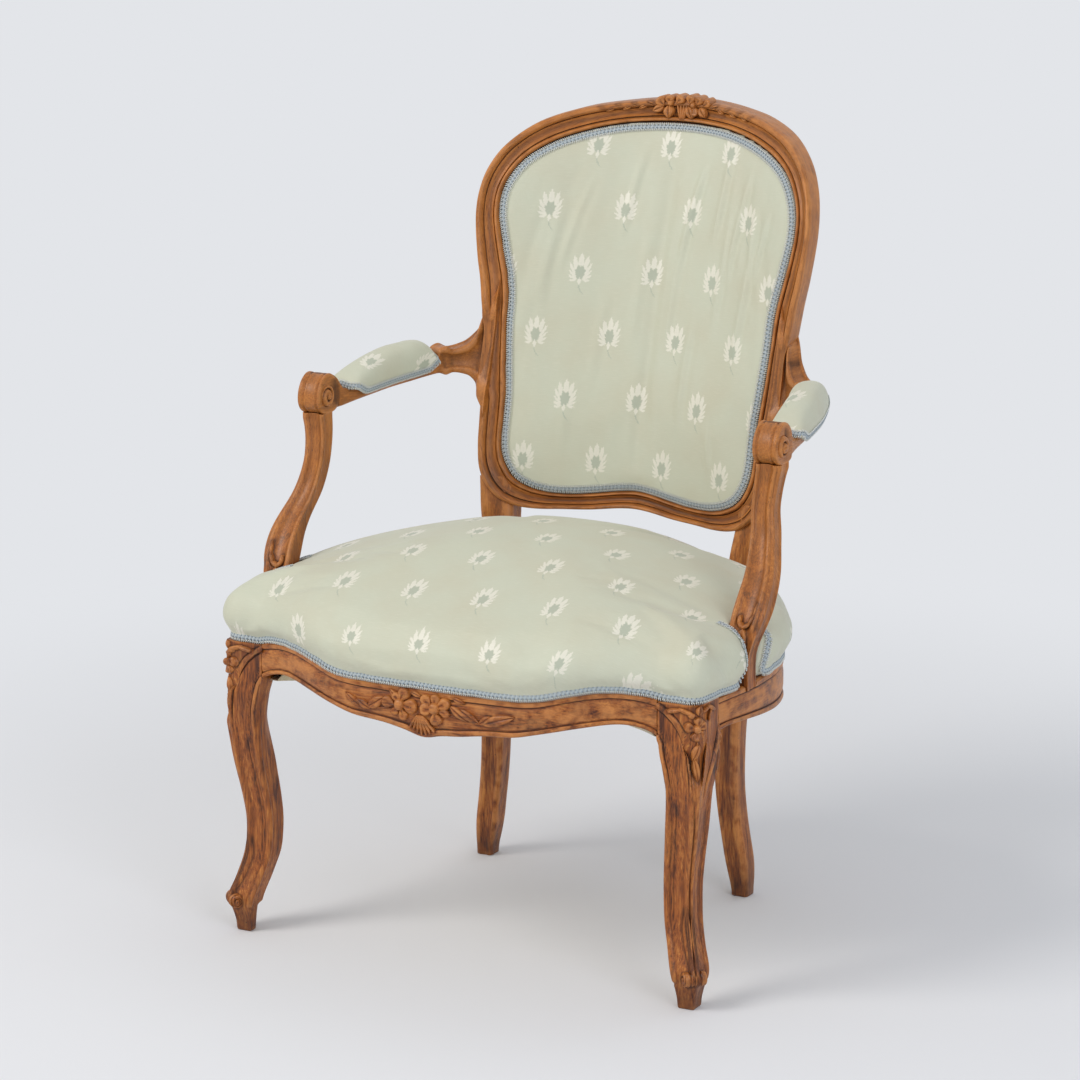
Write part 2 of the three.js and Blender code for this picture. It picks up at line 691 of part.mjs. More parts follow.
const KNUCKLE_SHARES = [
  [0.992, 0.65, 1, 1.02, 0, 0.89], [0.997, 0.73, 1, 1.03, 0, 0.99], [1, 0.81, 1, 1.04, 0, 1],
  [1, 0.87, 1, 1.04, 0, 0.95], [1, 0.915, 1, 1.03, 0, 0.87], [1, 0.96, 1, 1.02, 0.12, 0.72],
  [1, 0.995, 1, 0.94, 0.32, 0.55],
];

function armStations() {
  const jointFront = backFace(ARM_JOINT_X, mix(ARM_JOINT_LOW, ARM_JOINT_HIGH, 0.5));
  const jointHalf = FRAME_DEPTH * 0.4;
  const start = {
    x: ARM_JOINT_X + FIT_GAP,
    y: jointFront + FRAME_DEPTH * 0.52,
    turn: 0,
    half: jointHalf,
    low: ARM_JOINT_LOW + 2 * FIT_GAP,
    high: ARM_JOINT_HIGH - 2 * FIT_GAP,
  };
  const rows = [...ARM_SHARES, ...ARM_SEAT_SHARES, ...KNUCKLE_SHARES];
  const rest = rows.map(([x, y, turn, width, low, high]) => ({
    x: x * ARM_REACH_X,
    y: -y * ARM_REACH_Y,
    turn: (turn * Math.PI) / 2,
    half: width * ARM_HALF_WIDTH,
    low: ARM_UNDERSIDE + FIT_GAP + low * ARM_FULL_HEIGHT,
    high: ARM_UNDERSIDE + FIT_GAP + high * ARM_FULL_HEIGHT,
  }));
  return [start, ...rest];
}

function stationPoint(station, across, z) {
  return new THREE.Vector3(
    station.x + Math.sin(station.turn) * across,
    station.y + Math.cos(station.turn) * across,
    z,
  );
}

function armBody() {
  const rings = armStations().map((station) => ARM_SECTION_SHARES.map(([across, rise]) => {
    const z = mix(station.low, station.high, rise);
    return stationPoint(station, across * station.half, z);
  }));
  return loftRings(rings);
}

// Saddle-shaped pad on the arm: outer line first, then the inner line that sits on the wood
const PAD_OUTER_SHARES = [[1.02, 0], [1.12, 0.3], [1.04, 0.62], [0.76, 0.88], [0.35, 1]];
// Position along the pad, and how far it is raised there
const PAD_RISE_SHARES = [
  [0, 0.3], [0.06, 0.66], [0.18, 0.9], [0.4, 1], [0.62, 0.98], [0.82, 0.88], [0.95, 0.64], [1, 0.3],
];
// Where the pad begins and ends along the arm's seat
const PAD_START_SHARE = 0.18;
const PAD_END_SHARE = 0.85;

function armSeatAt(share) {
  const first = ARM_SHARES.length;
  const stations = armStations().slice(first, first + 1 + ARM_SEAT_SHARES.length);
  const place = share * (stations.length - 1);
  const index = Math.min(Math.floor(place), stations.length - 2);
  const t = place - index;
  const a = stations[index];
  const b = stations[index + 1];
  const entries = Object.keys(a).map((key) => [key, mix(a[key], b[key], t)]);
  return Object.fromEntries(entries);
}

function padSkirtAt(station) {
  return mix(station.low, station.high, 0.5);
}

function armPadBody() {
  const rings = PAD_RISE_SHARES.map(([share, rise]) => {
    const station = armSeatAt(mix(PAD_START_SHARE, PAD_END_SHARE, share));
    const foot = padSkirtAt(station);
    const saddle = station.high + SOFT_GAP;
    const top = Math.max(foot + rise * ARM_PAD_RISE, saddle + ARM_PAD_EDGE);
    const side = station.half + ARM_PAD_SKIRT;
    const outer = PAD_OUTER_SHARES.map(([across, up]) => [across * side, mix(foot, top, up)]);
    const over = [...outer, ...outer.slice().reverse().map(([across, z]) => [-across, z])];
    const inside = station.half + SOFT_GAP;
    const under = [[-inside, foot], [-inside, saddle], [inside, saddle], [inside, foot]];
    return [...over, ...under].map(([across, z]) => stationPoint(station, across, z));
  });
  return loftRings(rings);
}

// Braid along one side of the pad's foot. The side is 1 on the outside of the arm and -1 inside.
function armGimpBody(side) {
  const places = PAD_RISE_SHARES.map(([share]) => mix(PAD_START_SHARE, PAD_END_SHARE, share));
  const [[skirt], [flare, flareUp]] = PAD_OUTER_SHARES;
  const rings = places.map((place, i) => {
    const station = armSeatAt(place);
    const low = padSkirtAt(station);
    const wide = station.half + ARM_PAD_SKIRT;
    const rise = PAD_RISE_SHARES[i][1] * ARM_PAD_RISE;
    const top = Math.max(low + rise, station.high + SOFT_GAP + ARM_PAD_EDGE);
    const share = Math.min(1, GIMP_WIDTH / ((top - low) * flareUp));
    const foot = skirt * wide + 2 * FIT_GAP;
    const head = mix(skirt, flare, share) * wide + 2 * FIT_GAP;
    const high = low + (top - low) * flareUp * share;
    return [
      [foot, low], [foot + GIMP_THICKNESS, low], [head + GIMP_THICKNESS, high], [head, high],
    ].map(([across, z]) => stationPoint(station, side * across, z));
  });
  return loftRings(rings);
}

// Arm supports

// Height above the foot, x and y places, half width and half depth of the curved support
const SUPPORT_SHARES = [
  [0, 1.018, 1, 0.79, 0.93], [0.05, 1.018, 1, 0.75, 0.85], [0.16, 1.018, 0.995, 0.72, 0.85],
  [0.226, 1.021, 0.978, 0.9, 0.95], [0.292, 1.025, 0.956, 1.12, 1.1], [0.358, 1.032, 0.918, 1.2, 1.12],
  [0.447, 1.035, 0.852, 1.16, 1.05], [0.531, 1.028, 0.765, 1.05, 0.97], [0.615, 1.01, 0.683, 0.94, 0.9],
  [0.712, 0.997, 0.623, 0.84, 0.84], [0.814, 0.986, 0.5956, 0.8, 0.8], [0.92, 0.99, 0.568, 0.85, 0.86],
  [1, 1, 0.557, 1, 1],
];

function supportShape() {
  const height = ARM_UNDERSIDE - SUPPORT_FOOT_HEIGHT;
  const halfSizes = [SUPPORT_HALF_WIDTH, SUPPORT_HALF_WIDTH];
  return curveThrough(sized(SUPPORT_SHARES, [height, ARM_REACH_X, SUPPORT_BASE_Y, ...halfSizes]));
}

// Section of a support: beads on its two front edges and a hollow between
const SUPPORT_SECTION_SHARES = [
  [-0.7, 1], [-1, 0.65], [-1, -0.6], [-0.85, -0.98], [-0.55, -0.9], [-0.3, -0.78], [0.2, -0.78],
  [0.5, -0.92], [0.85, -1], [1, -0.62], [0.9, -0.2], [0.92, 0.6], [0.98, 0.85], [0.7, 1],
];

// Plain outlines round a support, closed and open to the outside of the chair
const CLOSED_NOTCH_SHARES = [[-1, 1], [-1, -1], [1, -1], [1, 1]];
const OPEN_NOTCH_SHARES = [[-1, 1], [-1, -1], [4, -1], [4, 1]];

function supportRing(z, clearance, section) {
  const [x, y, halfWidth, halfDepth] = supportShape()(z - SUPPORT_FOOT_HEIGHT);
  return section.map(([across, along]) => new THREE.Vector3(
    x + across * (halfWidth + clearance),
    y + along * (halfDepth + clearance),
    z,
  ));
}

function supportBody() {
  const rings = steps(SUPPORT_FOOT_HEIGHT + FIT_GAP, ARM_UNDERSIDE, 15).map((z) => (
    supportRing(z, 0, SUPPORT_SECTION_SHARES)
  ));
  return loftRings(rings);
}

// Upholstery of the seat

// Outline of the upholstered seat from the middle of the front to the middle of the rear. It runs
// along the rails and passes in front of and inside the rear posts.
function seatHalfOutline() {
  const blockOuterX = LEG_BLOCK_INNER_X + LEG_BLOCK_WIDTH;
  const blockFrontY = LEG_BLOCK_BACK_Y - LEG_BLOCK_WIDTH;
  const round = LEG_BLOCK_WIDTH * 0.08;
  const front = [0, 0.167, 0.333, 0.48, 0.633].map((share) => {
    const x = share * SEAT_HALF_WIDTH;
    return [x, frontFaceY(x)];
  });
  const corner = [
    [LEG_BLOCK_INNER_X, blockFrontY + round], [blockOuterX - 3 * round, blockFrontY + round],
    [blockOuterX - round, blockFrontY + 3 * round], [blockOuterX, LEG_BLOCK_BACK_Y],
  ];
  const curve = sideOutline();
  const side = [0.13, 0.27, 0.41, 0.55, 0.69, 0.82].map((t) => {
    const point = curve.getPointAt(t);
    return [point.x, point.y];
  });
  const postFrontY = postShape(RAIL_TOP)[2] - POST_CLEARANCE;
  const inside = POST_JOINT_INNER_X - POST_CLEARANCE;
  const rear = [
    [POST_JOINT_OUTER_X, postFrontY],
    [inside, postFrontY],
    [inside - POST_CLEARANCE, rearOutline(inside)[0] - POST_CLEARANCE],
    [inside * 0.6, rearOutline(inside * 0.6)[0]],
    [0, SEAT_REAR_REACH],
  ];
  return [...front, ...corner, ...side, ...rear];
}

function seatOutlineCurve() {
  const half = seatHalfOutline();
  const left = half.slice(1, -1).reverse().map(([x, y]) => [-x, y]);
  const points = [...half, ...left].map(([x, y]) => new THREE.Vector3(x, y, 0));
  return new THREE.CatmullRomCurve3(points, true, 'centripetal');
}

// Height of the wood's visible edge below the cover at a point of the outline
function edgeHeight(point) {
  const reach = Math.abs(point.x);
  if (point.y < LEG_BLOCK_BACK_Y && reach < LEG_BLOCK_INNER_X) {
    return RAIL_TOP + frontWave(reach)[0];
  }
  const beyond = (point.y - LEG_BLOCK_BACK_Y) / LEG_BLOCK_WIDTH;
  return mix(LEG_TOP, RAIL_TOP, THREE.MathUtils.smoothstep(beyond, 0, 1));
}

function bulgeShare(point) {
  return mix(1, 0.25, THREE.MathUtils.smoothstep(point.y, 0, SIDE_RAIL_END_Y * 0.8));
}

function outlineStations(count) {
  const curve = seatOutlineCurve();
  return steps(0, 1, count).slice(0, -1).map((t) => {
    const point = curve.getPointAt(t);
    const tangent = curve.getTangentAt(t);
    return { point, outward: new THREE.Vector3(tangent.y, -tangent.x, 0) };
  });
}

// Side of the seat from its lower edge: [share of the bulge outwards, share of the side's height]
const SEAT_PROFILE_SHARES = [
  [-0.17, 0.035], [0.5, 0.13], [0.92, 0.27], [1, 0.46], [0.67, 0.69], [-0.17, 0.87], [-1.33, 1],
];
const SEAT_DOME_SHARES = [0.78, 0.52, 0.24];
const SEAT_DOME_POWER_SHARE = 1.9;

// Moves a profile of [outwards, upwards] points in by a distance, square to its own run.
function insetProfile(profile, distance) {
  return profile.map(([out, up], i) => {
    const before = profile[Math.max(i - 1, 0)];
    const after = profile[Math.min(i + 1, profile.length - 1)];
    const run = Math.hypot(after[0] - before[0], after[1] - before[1]);
    return [
      out - (distance * (after[1] - before[1])) / run,
      up + (distance * (after[0] - before[0])) / run,
    ];
  });
}

function seatSkin(stations, profile, crown) {
  const raise = ({ point, outward }, [out, up]) => {
    const place = point.clone().addScaledVector(outward, out > 0 ? out * bulgeShare(point) : out);
    place.z = edgeHeight(point) + up;
    return place;
  };
  const sides = profile.map((row) => stations.map((station) => raise(station, row)));
  const shoulder = sides.at(-1);
  const dome = SEAT_DOME_SHARES.map((share) => shoulder.map((point) => {
    const fall = share ** SEAT_DOME_POWER_SHARE;
    return new THREE.Vector3(
      point.x * share, mix(SEAT_CENTRE_Y, point.y, share), mix(crown, point.z, fall),
    );
  }));
  return { rings: [...sides, ...dome], centre: new THREE.Vector3(0, SEAT_CENTRE_Y, crown) };
}

function seatProfile() {
  return sized(SEAT_PROFILE_SHARES, [SEAT_BULGE, SEAT_SIDE_HEIGHT]);
}

function seatCoverBody() {
  const stations = outlineStations(SEAT_STATIONS_COUNT);
  const outer = seatSkin(stations, seatProfile(), SEAT_CROWN);
  const innerProfile = insetProfile(seatProfile(), COVER_THICKNESS);
  const inner = seatSkin(stations, innerProfile, SEAT_CROWN - COVER_THICKNESS);
  return shellOf(outer.rings, outer.centre, inner.rings, inner.centre);
}

function seatStuffingBody() {
  const stations = outlineStations(SEAT_STATIONS_COUNT);
  const under = COVER_THICKNESS + FIT_GAP;
  const bottom = canvasTop() + FIT_GAP;
  const crown = SEAT_CROWN - under;
  const upper = insetProfile(seatProfile(), under);
  const skin = seatSkin(stations, upper, crown);
  const lowRing = (heightAt) => stations.map(({ point, outward }) => {
    const place = point.clone().addScaledVector(outward, -STUFFING_INSET);
    place.z = heightAt(point);
    return place;
  });
  const overLip = (point) => Math.max(bottom, edgeHeight(point)) + 2 * SOFT_GAP;
  const rings = [lowRing(() => bottom), lowRing(overLip), ...skin.rings];
  const base = rings[0].map((point) => (
    new THREE.Vector3(point.x * 0.9, mix(SEAT_CENTRE_Y, point.y, 0.9), bottom)
  ));
  return shellOf(rings, skin.centre, [base], new THREE.Vector3(0, SEAT_CENTRE_Y, bottom));
}

function webbingTop() {
  return RAIL_TOP - RAIL_REBATE + 2 * (FIT_GAP + WEBBING_THICKNESS);
}

function canvasTop() {
  return webbingTop() + FIT_GAP + CANVAS_THICKNESS;
}

// A level sheet inside the seat's outline
function sheetBody(stations, inset, low, high) {
  const ring = (z) => stations.map(({ point, outward }) => {
    const place = point.clone().addScaledVector(outward, -inset);
    place.z = z;
    return place;
  });
  return loftRings([ring(low), ring(high)]);
}

function sideReach(y) {
  const points = sideOutline().getSpacedPoints(60);
  const index = points.findIndex((point) => point.y >= y);
  const a = points[index - 1];
  const b = points[index];
  return mix(a.x, b.x, (y - a.y) / (b.y - a.y));
}

// Straps from front to rear lie first, and straps across lie on them.
const LENGTHWISE_STRAP_SHARES = [-0.72, -0.24, 0.24, 0.72];
const CROSS_STRAP_SHARES = [-0.63, -0.4, -0.17, 0.06];

function lengthwiseStrap(share) {
  const x = share * POST_JOINT_INNER_X;
  const low = RAIL_TOP - RAIL_REBATE + FIT_GAP;
  const half = WEBBING_WIDTH / 2;
  const hold = RAIL_LIP + SOFT_GAP;
  const front = Math.max(frontFaceY(x - half), frontFaceY(x + half), frontFaceY(x)) + hold;
  const outerX = Math.abs(x) + half;
  const rear = rearOutline(outerX)[0] - hold;
  return boxBetween([x - half, front, low], [x + half, rear, low + WEBBING_THICKNESS]);
}

function crossStrap(share) {
  const y = share * SEAT_FRONT_REACH;
  const low = webbingTop() - WEBBING_THICKNESS;
  const half = WEBBING_WIDTH / 2;
  const hold = RAIL_LIP * 1.4;
  const reach = Math.min(sideReach(y - half), sideReach(y), sideReach(y + half)) - hold;
  return boxBetween([-reach, y - half, low], [reach, y + half, low + WEBBING_THICKNESS]);
}

// Braid along the lower edge of the cover, over the stretch that the test picks. Its places lie on
// the straight runs between the cover's own stations, so it follows the cover closely.
function seatGimpBody(wanted) {
  const profile = seatProfile();
  const [lowOut, lowUp] = profile[0];
  const [highOut, highUp] = profile[1];
  const run = Math.hypot(highOut - lowOut, highUp - lowUp);
  const normal = [(highUp - lowUp) / run, -(highOut - lowOut) / run];
  const corner = (share, lift) => [
    mix(lowOut, highOut, share) + normal[0] * lift, mix(lowUp, highUp, share) + normal[1] * lift,
  ];
  const near = 1.5 * SOFT_GAP;
  const far = near + GIMP_THICKNESS;
  const section = [corner(0.2, near), corner(0.2, far), corner(0.98, far), corner(0.98, near)];
  const sections = outlineStations(SEAT_STATIONS_COUNT).map(({ point, outward }) => (
    section.map(([out, up]) => {
      const place = point.clone().addScaledVector(outward, out > 0 ? out * bulgeShare(point) : out);
      place.z = edgeHeight(point) + up;
      return place;
    })
  ));
  const fine = sections.flatMap((ring, i) => {
    const next = sections[(i + 1) % sections.length];
    return steps(0, 1, GIMP_PARTS_COUNT).slice(0, -1).map((share) => (
      ring.map((point, k) => point.clone().lerp(next[k], share))
    ));
  });
  const start = fine.findIndex(([point], i) => {
    const [before] = fine[(i + fine.length - 1) % fine.length];
    return wanted(point) && !wanted(before);
  });
  const turned = [...fine.slice(start), ...fine.slice(0, start)];
  const end = turned.findIndex(([point]) => !wanted(point));
  return loftRings(turned.slice(0, end));
}

// What stands through the seat: the leg blocks, the posts and the arm supports, and the lower rail
// of the back where it hangs that low
function seatObstacles(clearance) {
  const blockFrontY = LEG_BLOCK_BACK_Y - LEG_BLOCK_WIDTH;
  const blockOuterX = LEG_BLOCK_INNER_X + LEG_BLOCK_WIDTH;
  const block = boxBetween(
    [LEG_BLOCK_INNER_X - clearance, blockFrontY - clearance, RAIL_TOP - RAIL_REBATE - CUT_OVERRUN],
    [blockOuterX + clearance, LEG_BLOCK_BACK_Y + clearance, LEG_TOP + FIT_GAP],
  );
  const seatTop = Math.max(SEAT_CROWN, LEG_TOP + RAIL_WAVE + SEAT_SIDE_HEIGHT);
  const posts = steps(RAIL_TOP - 2 * RAIL_REBATE, seatTop, 5).map((z) => {
    const [innerX, outerX, front, depth, , blend] = postShape(z);
    const face = mix(front, backFace((innerX + outerX) / 2, z), blend) - clearance * 2;
    const rear = face + depth + clearance * 4;
    return [
      new THREE.Vector3(innerX - clearance, face, z), new THREE.Vector3(outerX + clearance, face, z),
      new THREE.Vector3(outerX + clearance, rear, z), new THREE.Vector3(innerX - clearance, rear, z),
    ];
  });
  const low = RAIL_TOP - RAIL_REBATE + FIT_GAP;
  const high = seatTop + CUT_OVERRUN;
  const neck = RAIL_TOP + SEAT_SIDE_HEIGHT * 0.75;
  const support = steps(low, high, 12).map((z) => supportRing(z, clearance, CLOSED_NOTCH_SHARES));
  const notch = steps(low, neck, 3).map((z) => supportRing(z, clearance, OPEN_NOTCH_SHARES));
  const end = LOWER_RAIL_END_X - FIT_GAP;
  const lowerRail = steps(-end, end, 16).map((x) => {
    const [top, bottom] = lowerRailEdges(Math.abs(x));
    const face = backFace(x, bottom) - FRAME_DEPTH * 0.11 - clearance * 2;
    const rear = backFace(x, top) + FRAME_DEPTH + clearance * 2;
    return [
      new THREE.Vector3(x, face, bottom - clearance), new THREE.Vector3(x, rear, bottom - clearance),
      new THREE.Vector3(x, rear, top + clearance), new THREE.Vector3(x, face, top + clearance),
    ];
  });
  const right = [block, loftRings(posts), loftRings(support), loftRings(notch)];
  return [...right, ...right.map(mirrored), loftRings(lowerRail)];
}

// Upholstery of the back

// Places along the lower back rail where the panel's outline follows its top
const PANEL_FOOT_SHARES = [0, 0.145, 0.37, 0.6, 0.81, 0.95];

// Half of the panel's outline from the middle of its foot: along the top of the lower rail, up the
// inner edge of the post and round the inner edge of the crest
function panelHalfOutline() {
  const foot = PANEL_FOOT_SHARES.map((share) => {
    const x = share * LOWER_RAIL_END_X;
    return [x, lowerRailEdges(x)[0] + SOFT_GAP];
  });
  const stile = postTable()
    .filter(([z]) => z > LOWER_RAIL_END_TOP && z <= ARM_JOINT_HIGH)
    .map(([z, inner]) => [inner, z]);
  const upper = STILE_UPPER_SHARES.slice(1).map(([height, inner]) => [
    inner * BACK_HALF_WIDTH, height * BACK_JOINT_HEIGHT,
  ]);
  const crest = CREST_SHARES.slice(1).map(([x, z]) => [x * BACK_HALF_WIDTH, z * BACK_TOP]);
  return [...foot, ...stile, ...upper, ...crest];
}

function panelStations(count) {
  const half = panelHalfOutline();
  const left = half.slice(1, -1).reverse().map(([x, z]) => [-x, z]);
  const points = [...half, ...left].map(([x, z]) => new THREE.Vector3(x, 0, z));
  const curve = new THREE.CatmullRomCurve3(points, true, 'centripetal');
  return steps(0, 1, count).slice(0, -1).map((t) => {
    const point = curve.getPointAt(t);
    const tangent = curve.getTangentAt(t);
    return { x: point.x, z: point.z, outX: tangent.z, outZ: -tangent.x };
  });
}

function panelRing(stations, inset, depth) {
  return stations.map(({ x, z, outX, outZ }) => onBack(x - outX * inset, z - outZ * inset, depth));
}

// Rings from the rim to the middle: [inset as a share of the edge roll, crown share]
const PANEL_ROLL_SHARES = [[0.06, -0.22], [0.1, 0.05], [0.4, 0.42], [1, 0.72]];
const PANEL_DOME_SHARES = [[0.66, 0.93], [0.33, 0.99]];

function panelDome(shoulder, depthAt) {
  return PANEL_DOME_SHARES.map(([share, crown]) => shoulder.map((point) => (
    onBack(point.x * share, mix(BACK_PAD_CENTRE_HEIGHT, point.z, share), depthAt(crown))
  )));
}

function panelSkin(stations, sunk) {
  const depthAt = (crown) => sunk - crown * BACK_CROWN;
  const rolls = PANEL_ROLL_SHARES.map(([inset, crown]) => (
    panelRing(stations, inset * BACK_ROLL + SOFT_GAP / 2, depthAt(crown))
  ));
  const centre = onBack(0, BACK_PAD_CENTRE_HEIGHT, depthAt(1));
  return { rings: [...rolls, ...panelDome(rolls.at(-1), depthAt)], centre };
}

// A skin at one depth, on the same places as the padded skin, so that the two stay parallel
function panelSheet(stations, inset, depth) {
  const rim = panelRing(stations, inset, depth);
  const shoulder = panelRing(stations, BACK_ROLL + SOFT_GAP / 2, depth);
  const centre = onBack(0, BACK_PAD_CENTRE_HEIGHT, depth);
  return { rings: [rim, shoulder, ...panelDome(shoulder, () => depth)], centre };
}

function backCoverBody() {
  const stations = panelStations(BACK_STATIONS_COUNT);
  const outer = panelSkin(stations, 0);
  const inner = panelSkin(stations, COVER_THICKNESS);
  return shellOf(outer.rings, outer.centre, inner.rings, inner.centre);
}

function backStuffingBody() {
  const stations = panelStations(BACK_STATIONS_COUNT);
  const front = panelSkin(stations, COVER_THICKNESS + FIT_GAP);
  const behind = LEDGE_SETBACK - WEBBING_THICKNESS - CANVAS_THICKNESS - 5 * FIT_GAP;
  const rear = panelSheet(stations, 2 * SOFT_GAP, behind);
  return shellOf(front.rings, front.centre, rear.rings, rear.centre);
}

// A sheet that follows the dish of the back between two depths
function backSheetBody(near, far) {
  const stations = panelStations(BACK_STATIONS_COUNT);
  const front = panelSheet(stations, 2 * SOFT_GAP, near);
  const rear = panelSheet(stations, 2 * SOFT_GAP, far);
  return shellOf(front.rings, front.centre, rear.rings, rear.centre);
}

const BACK_STRAP_SHARES = [-0.42, 0, 0.42];

function backStrapBody(share) {
  const centre = share * BACK_HALF_WIDTH;
  const half = WEBBING_WIDTH / 2;
  const far = LEDGE_SETBACK - 2 * FIT_GAP;
  const near = far - WEBBING_THICKNESS;
  const stations = panelStations(120);
  const reachAt = (x, upper) => {
    const level = stations.filter((station) => Math.abs(station.x - x) < half * 0.4);
    const heights = level.map((station) => station.z);
    const above = heights.filter((z) => z > BACK_PAD_CENTRE_HEIGHT);
    const below = heights.filter((z) => z < BACK_PAD_CENTRE_HEIGHT);
    return upper ? Math.min(...above) : Math.max(...below);
  };
  const edges = [centre - half, centre, centre + half];
  const low = Math.max(...edges.map((x) => reachAt(x, false))) + SOFT_GAP;
  const high = Math.min(...edges.map((x) => reachAt(x, true))) - FRAME_LEDGE / 2;
  const rings = steps(low, high, 8).map((z) => [
    onBack(centre - half, z, near), onBack(centre, z, near), onBack(centre + half, z, near),
    onBack(centre + half, z, far), onBack(centre, z, far), onBack(centre - half, z, far),
  ]);
  return loftRings(rings);
}

function backGimpBody() {
  const stations = panelStations(BACK_STATIONS_COUNT);
  const edges = PANEL_ROLL_SHARES.slice(1, 3).map(([inset, crown]) => ({
    inset: inset * BACK_ROLL + SOFT_GAP / 2, near: -crown * BACK_CROWN - SOFT_GAP / 2,
  }));
  const [low, high] = edges;
  const rings = [
    panelRing(stations, low.inset, low.near),
    panelRing(stations, high.inset, high.near),
    panelRing(stations, high.inset, high.near - GIMP_THICKNESS),
    panelRing(stations, low.inset, low.near - GIMP_THICKNESS),
  ];
  return loftRings(stations.map((_, i) => rings.map((ring) => ring[i])), true);
}

// Corner blocks

function prism(corners, low, high) {
  const ring = (z) => corners.map(([x, y]) => new THREE.Vector3(x, y, z));
  return loftRings([ring(low), ring(high)]);
}

// Shifts copies of a shape a little each way, so that a cut leaves a gap on every side.
function spread(geometry, amount) {
  const moves = [[amount, amount], [amount, -amount], [-amount, amount], [-amount, -amount]];
  return moves.map(([x, y]) => geometry.clone().translate(x, y, 0));
}

function cornerBlock(corners) {
  const high = RAIL_TOP - RAIL_REBATE - CORNER_BLOCK_SINK;
  const rails = [frontRailBody(), sideRailBody(), rearRailBody(), frontLegBody(), postBody()];
  const room = rails.flatMap((geometry) => spread(geometry, FIT_GAP));
  return cut(prism(corners, high - CORNER_BLOCK_HEIGHT, high), ...room);
}

// Fills the corner behind the front leg, against the inner faces of both rails.
function frontCornerBody() {
  const innerFace = (x) => frontFaceY(x) + RAIL_THICKNESS;
  const nearX = LEG_BLOCK_INNER_X - CORNER_BLOCK_REACH;
  const farY = LEG_BLOCK_BACK_Y + CORNER_BLOCK_REACH;
  return cornerBlock([
    [nearX, innerFace(nearX)],
    [LEG_BLOCK_INNER_X, innerFace(LEG_BLOCK_INNER_X)],
    [LEG_BLOCK_INNER_X + LEG_BLOCK_WIDTH * 0.4, LEG_BLOCK_BACK_Y],
    [sideReach(farY) - RAIL_THICKNESS, farY],
  ]);
}

// Fills the corner in front of the rear post.
function rearCornerBody() {
  const postFrontY = postShape(RAIL_TOP)[2];
  const reach = CORNER_BLOCK_REACH;
  return cornerBlock([
    [POST_JOINT_OUTER_X - reach * 1.3, postFrontY],
    [POST_JOINT_OUTER_X - reach * 0.1, postFrontY],
    [POST_JOINT_OUTER_X - reach * 0.1, postFrontY - reach * 0.85],
  ]);
}

// Dust cover under the seat

// Lowest underside of the rail in the stretch round a point of the outline
function railUnderside({ x, y }) {
  const reach = Math.abs(x);
  if (y < LEG_BLOCK_BACK_Y && reach < LEG_BLOCK_INNER_X) {
    const near = [-RAIL_THICKNESS, 0, RAIL_THICKNESS].map((shift) => Math.abs(reach + shift));
    return RAIL_TOP - Math.max(...near.map((place) => frontDrop(place)[0]));
  }
  if (y > POST_FOOT_FRONT_Y) {
    return RAIL_TOP - REAR_RAIL_DROP;
  }
  const run = THREE.MathUtils.inverseLerp(LEG_BLOCK_BACK_Y, SIDE_RAIL_END_Y, y);
  return RAIL_TOP - sideDrop(THREE.MathUtils.clamp(run, 0, 1))[0];
}

// Where the cloth is tacked under the rails, and where it hangs clear of them inside
const DUST_COVER_SHARES = [0.94, 0.83];

function dustCoverBody() {
  const stations = outlineStations(DUST_COVER_STATIONS_COUNT);
  const level = RAIL_TOP - DUST_COVER_DROP;
  const skin = (lift) => {
    const ring = (share, heightAt) => stations.map(({ point }) => new THREE.Vector3(
      point.x * share,
      mix(SEAT_CENTRE_Y, point.y, share),
      heightAt(railUnderside(point) - SOFT_GAP - CANVAS_THICKNESS) + lift,
    ));
    const [rimShare, fallShare] = DUST_COVER_SHARES;
    const rings = [ring(rimShare, (z) => z), ring(fallShare, (z) => Math.min(z, level))];
    return { rings, centre: new THREE.Vector3(0, SEAT_CENTRE_Y, level + lift) };
  };
  const upper = skin(CANVAS_THICKNESS);
  const lower = skin(0);
  const low = level - CUT_OVERRUN;
  const legRoom = grown(
    [LEG_BLOCK_INNER_X, LEG_BLOCK_BACK_Y - 2 * LEG_BLOCK_WIDTH, low],
    [LEG_BLOCK_INNER_X + 2 * LEG_BLOCK_WIDTH, LEG_BLOCK_BACK_Y, RAIL_TOP],
    SOFT_GAP,
  );
  const postRoom = grown(
    [POST_JOINT_INNER_X, postShape(RAIL_TOP)[2] - POST_DEPTH / 4, low],
    [POST_JOINT_OUTER_X, POST_FOOT_FRONT_Y + POST_DEPTH * 2, RAIL_TOP],
    SOFT_GAP,
  );
  const sheet = shellOf(upper.rings, upper.centre, lower.rings, lower.centre);
  return cut(sheet, legRoom, mirrored(legRoom), postRoom, mirrored(postRoom));
}

// Joinery

// Low and high corner of a tenon that runs into its piece by a root
function tenonBox(start, end, across, up, thick = TENON_THICKNESS, high = TENON_HEIGHT) {
  return [[start, across, up], [end, across + thick, up + high]];
}

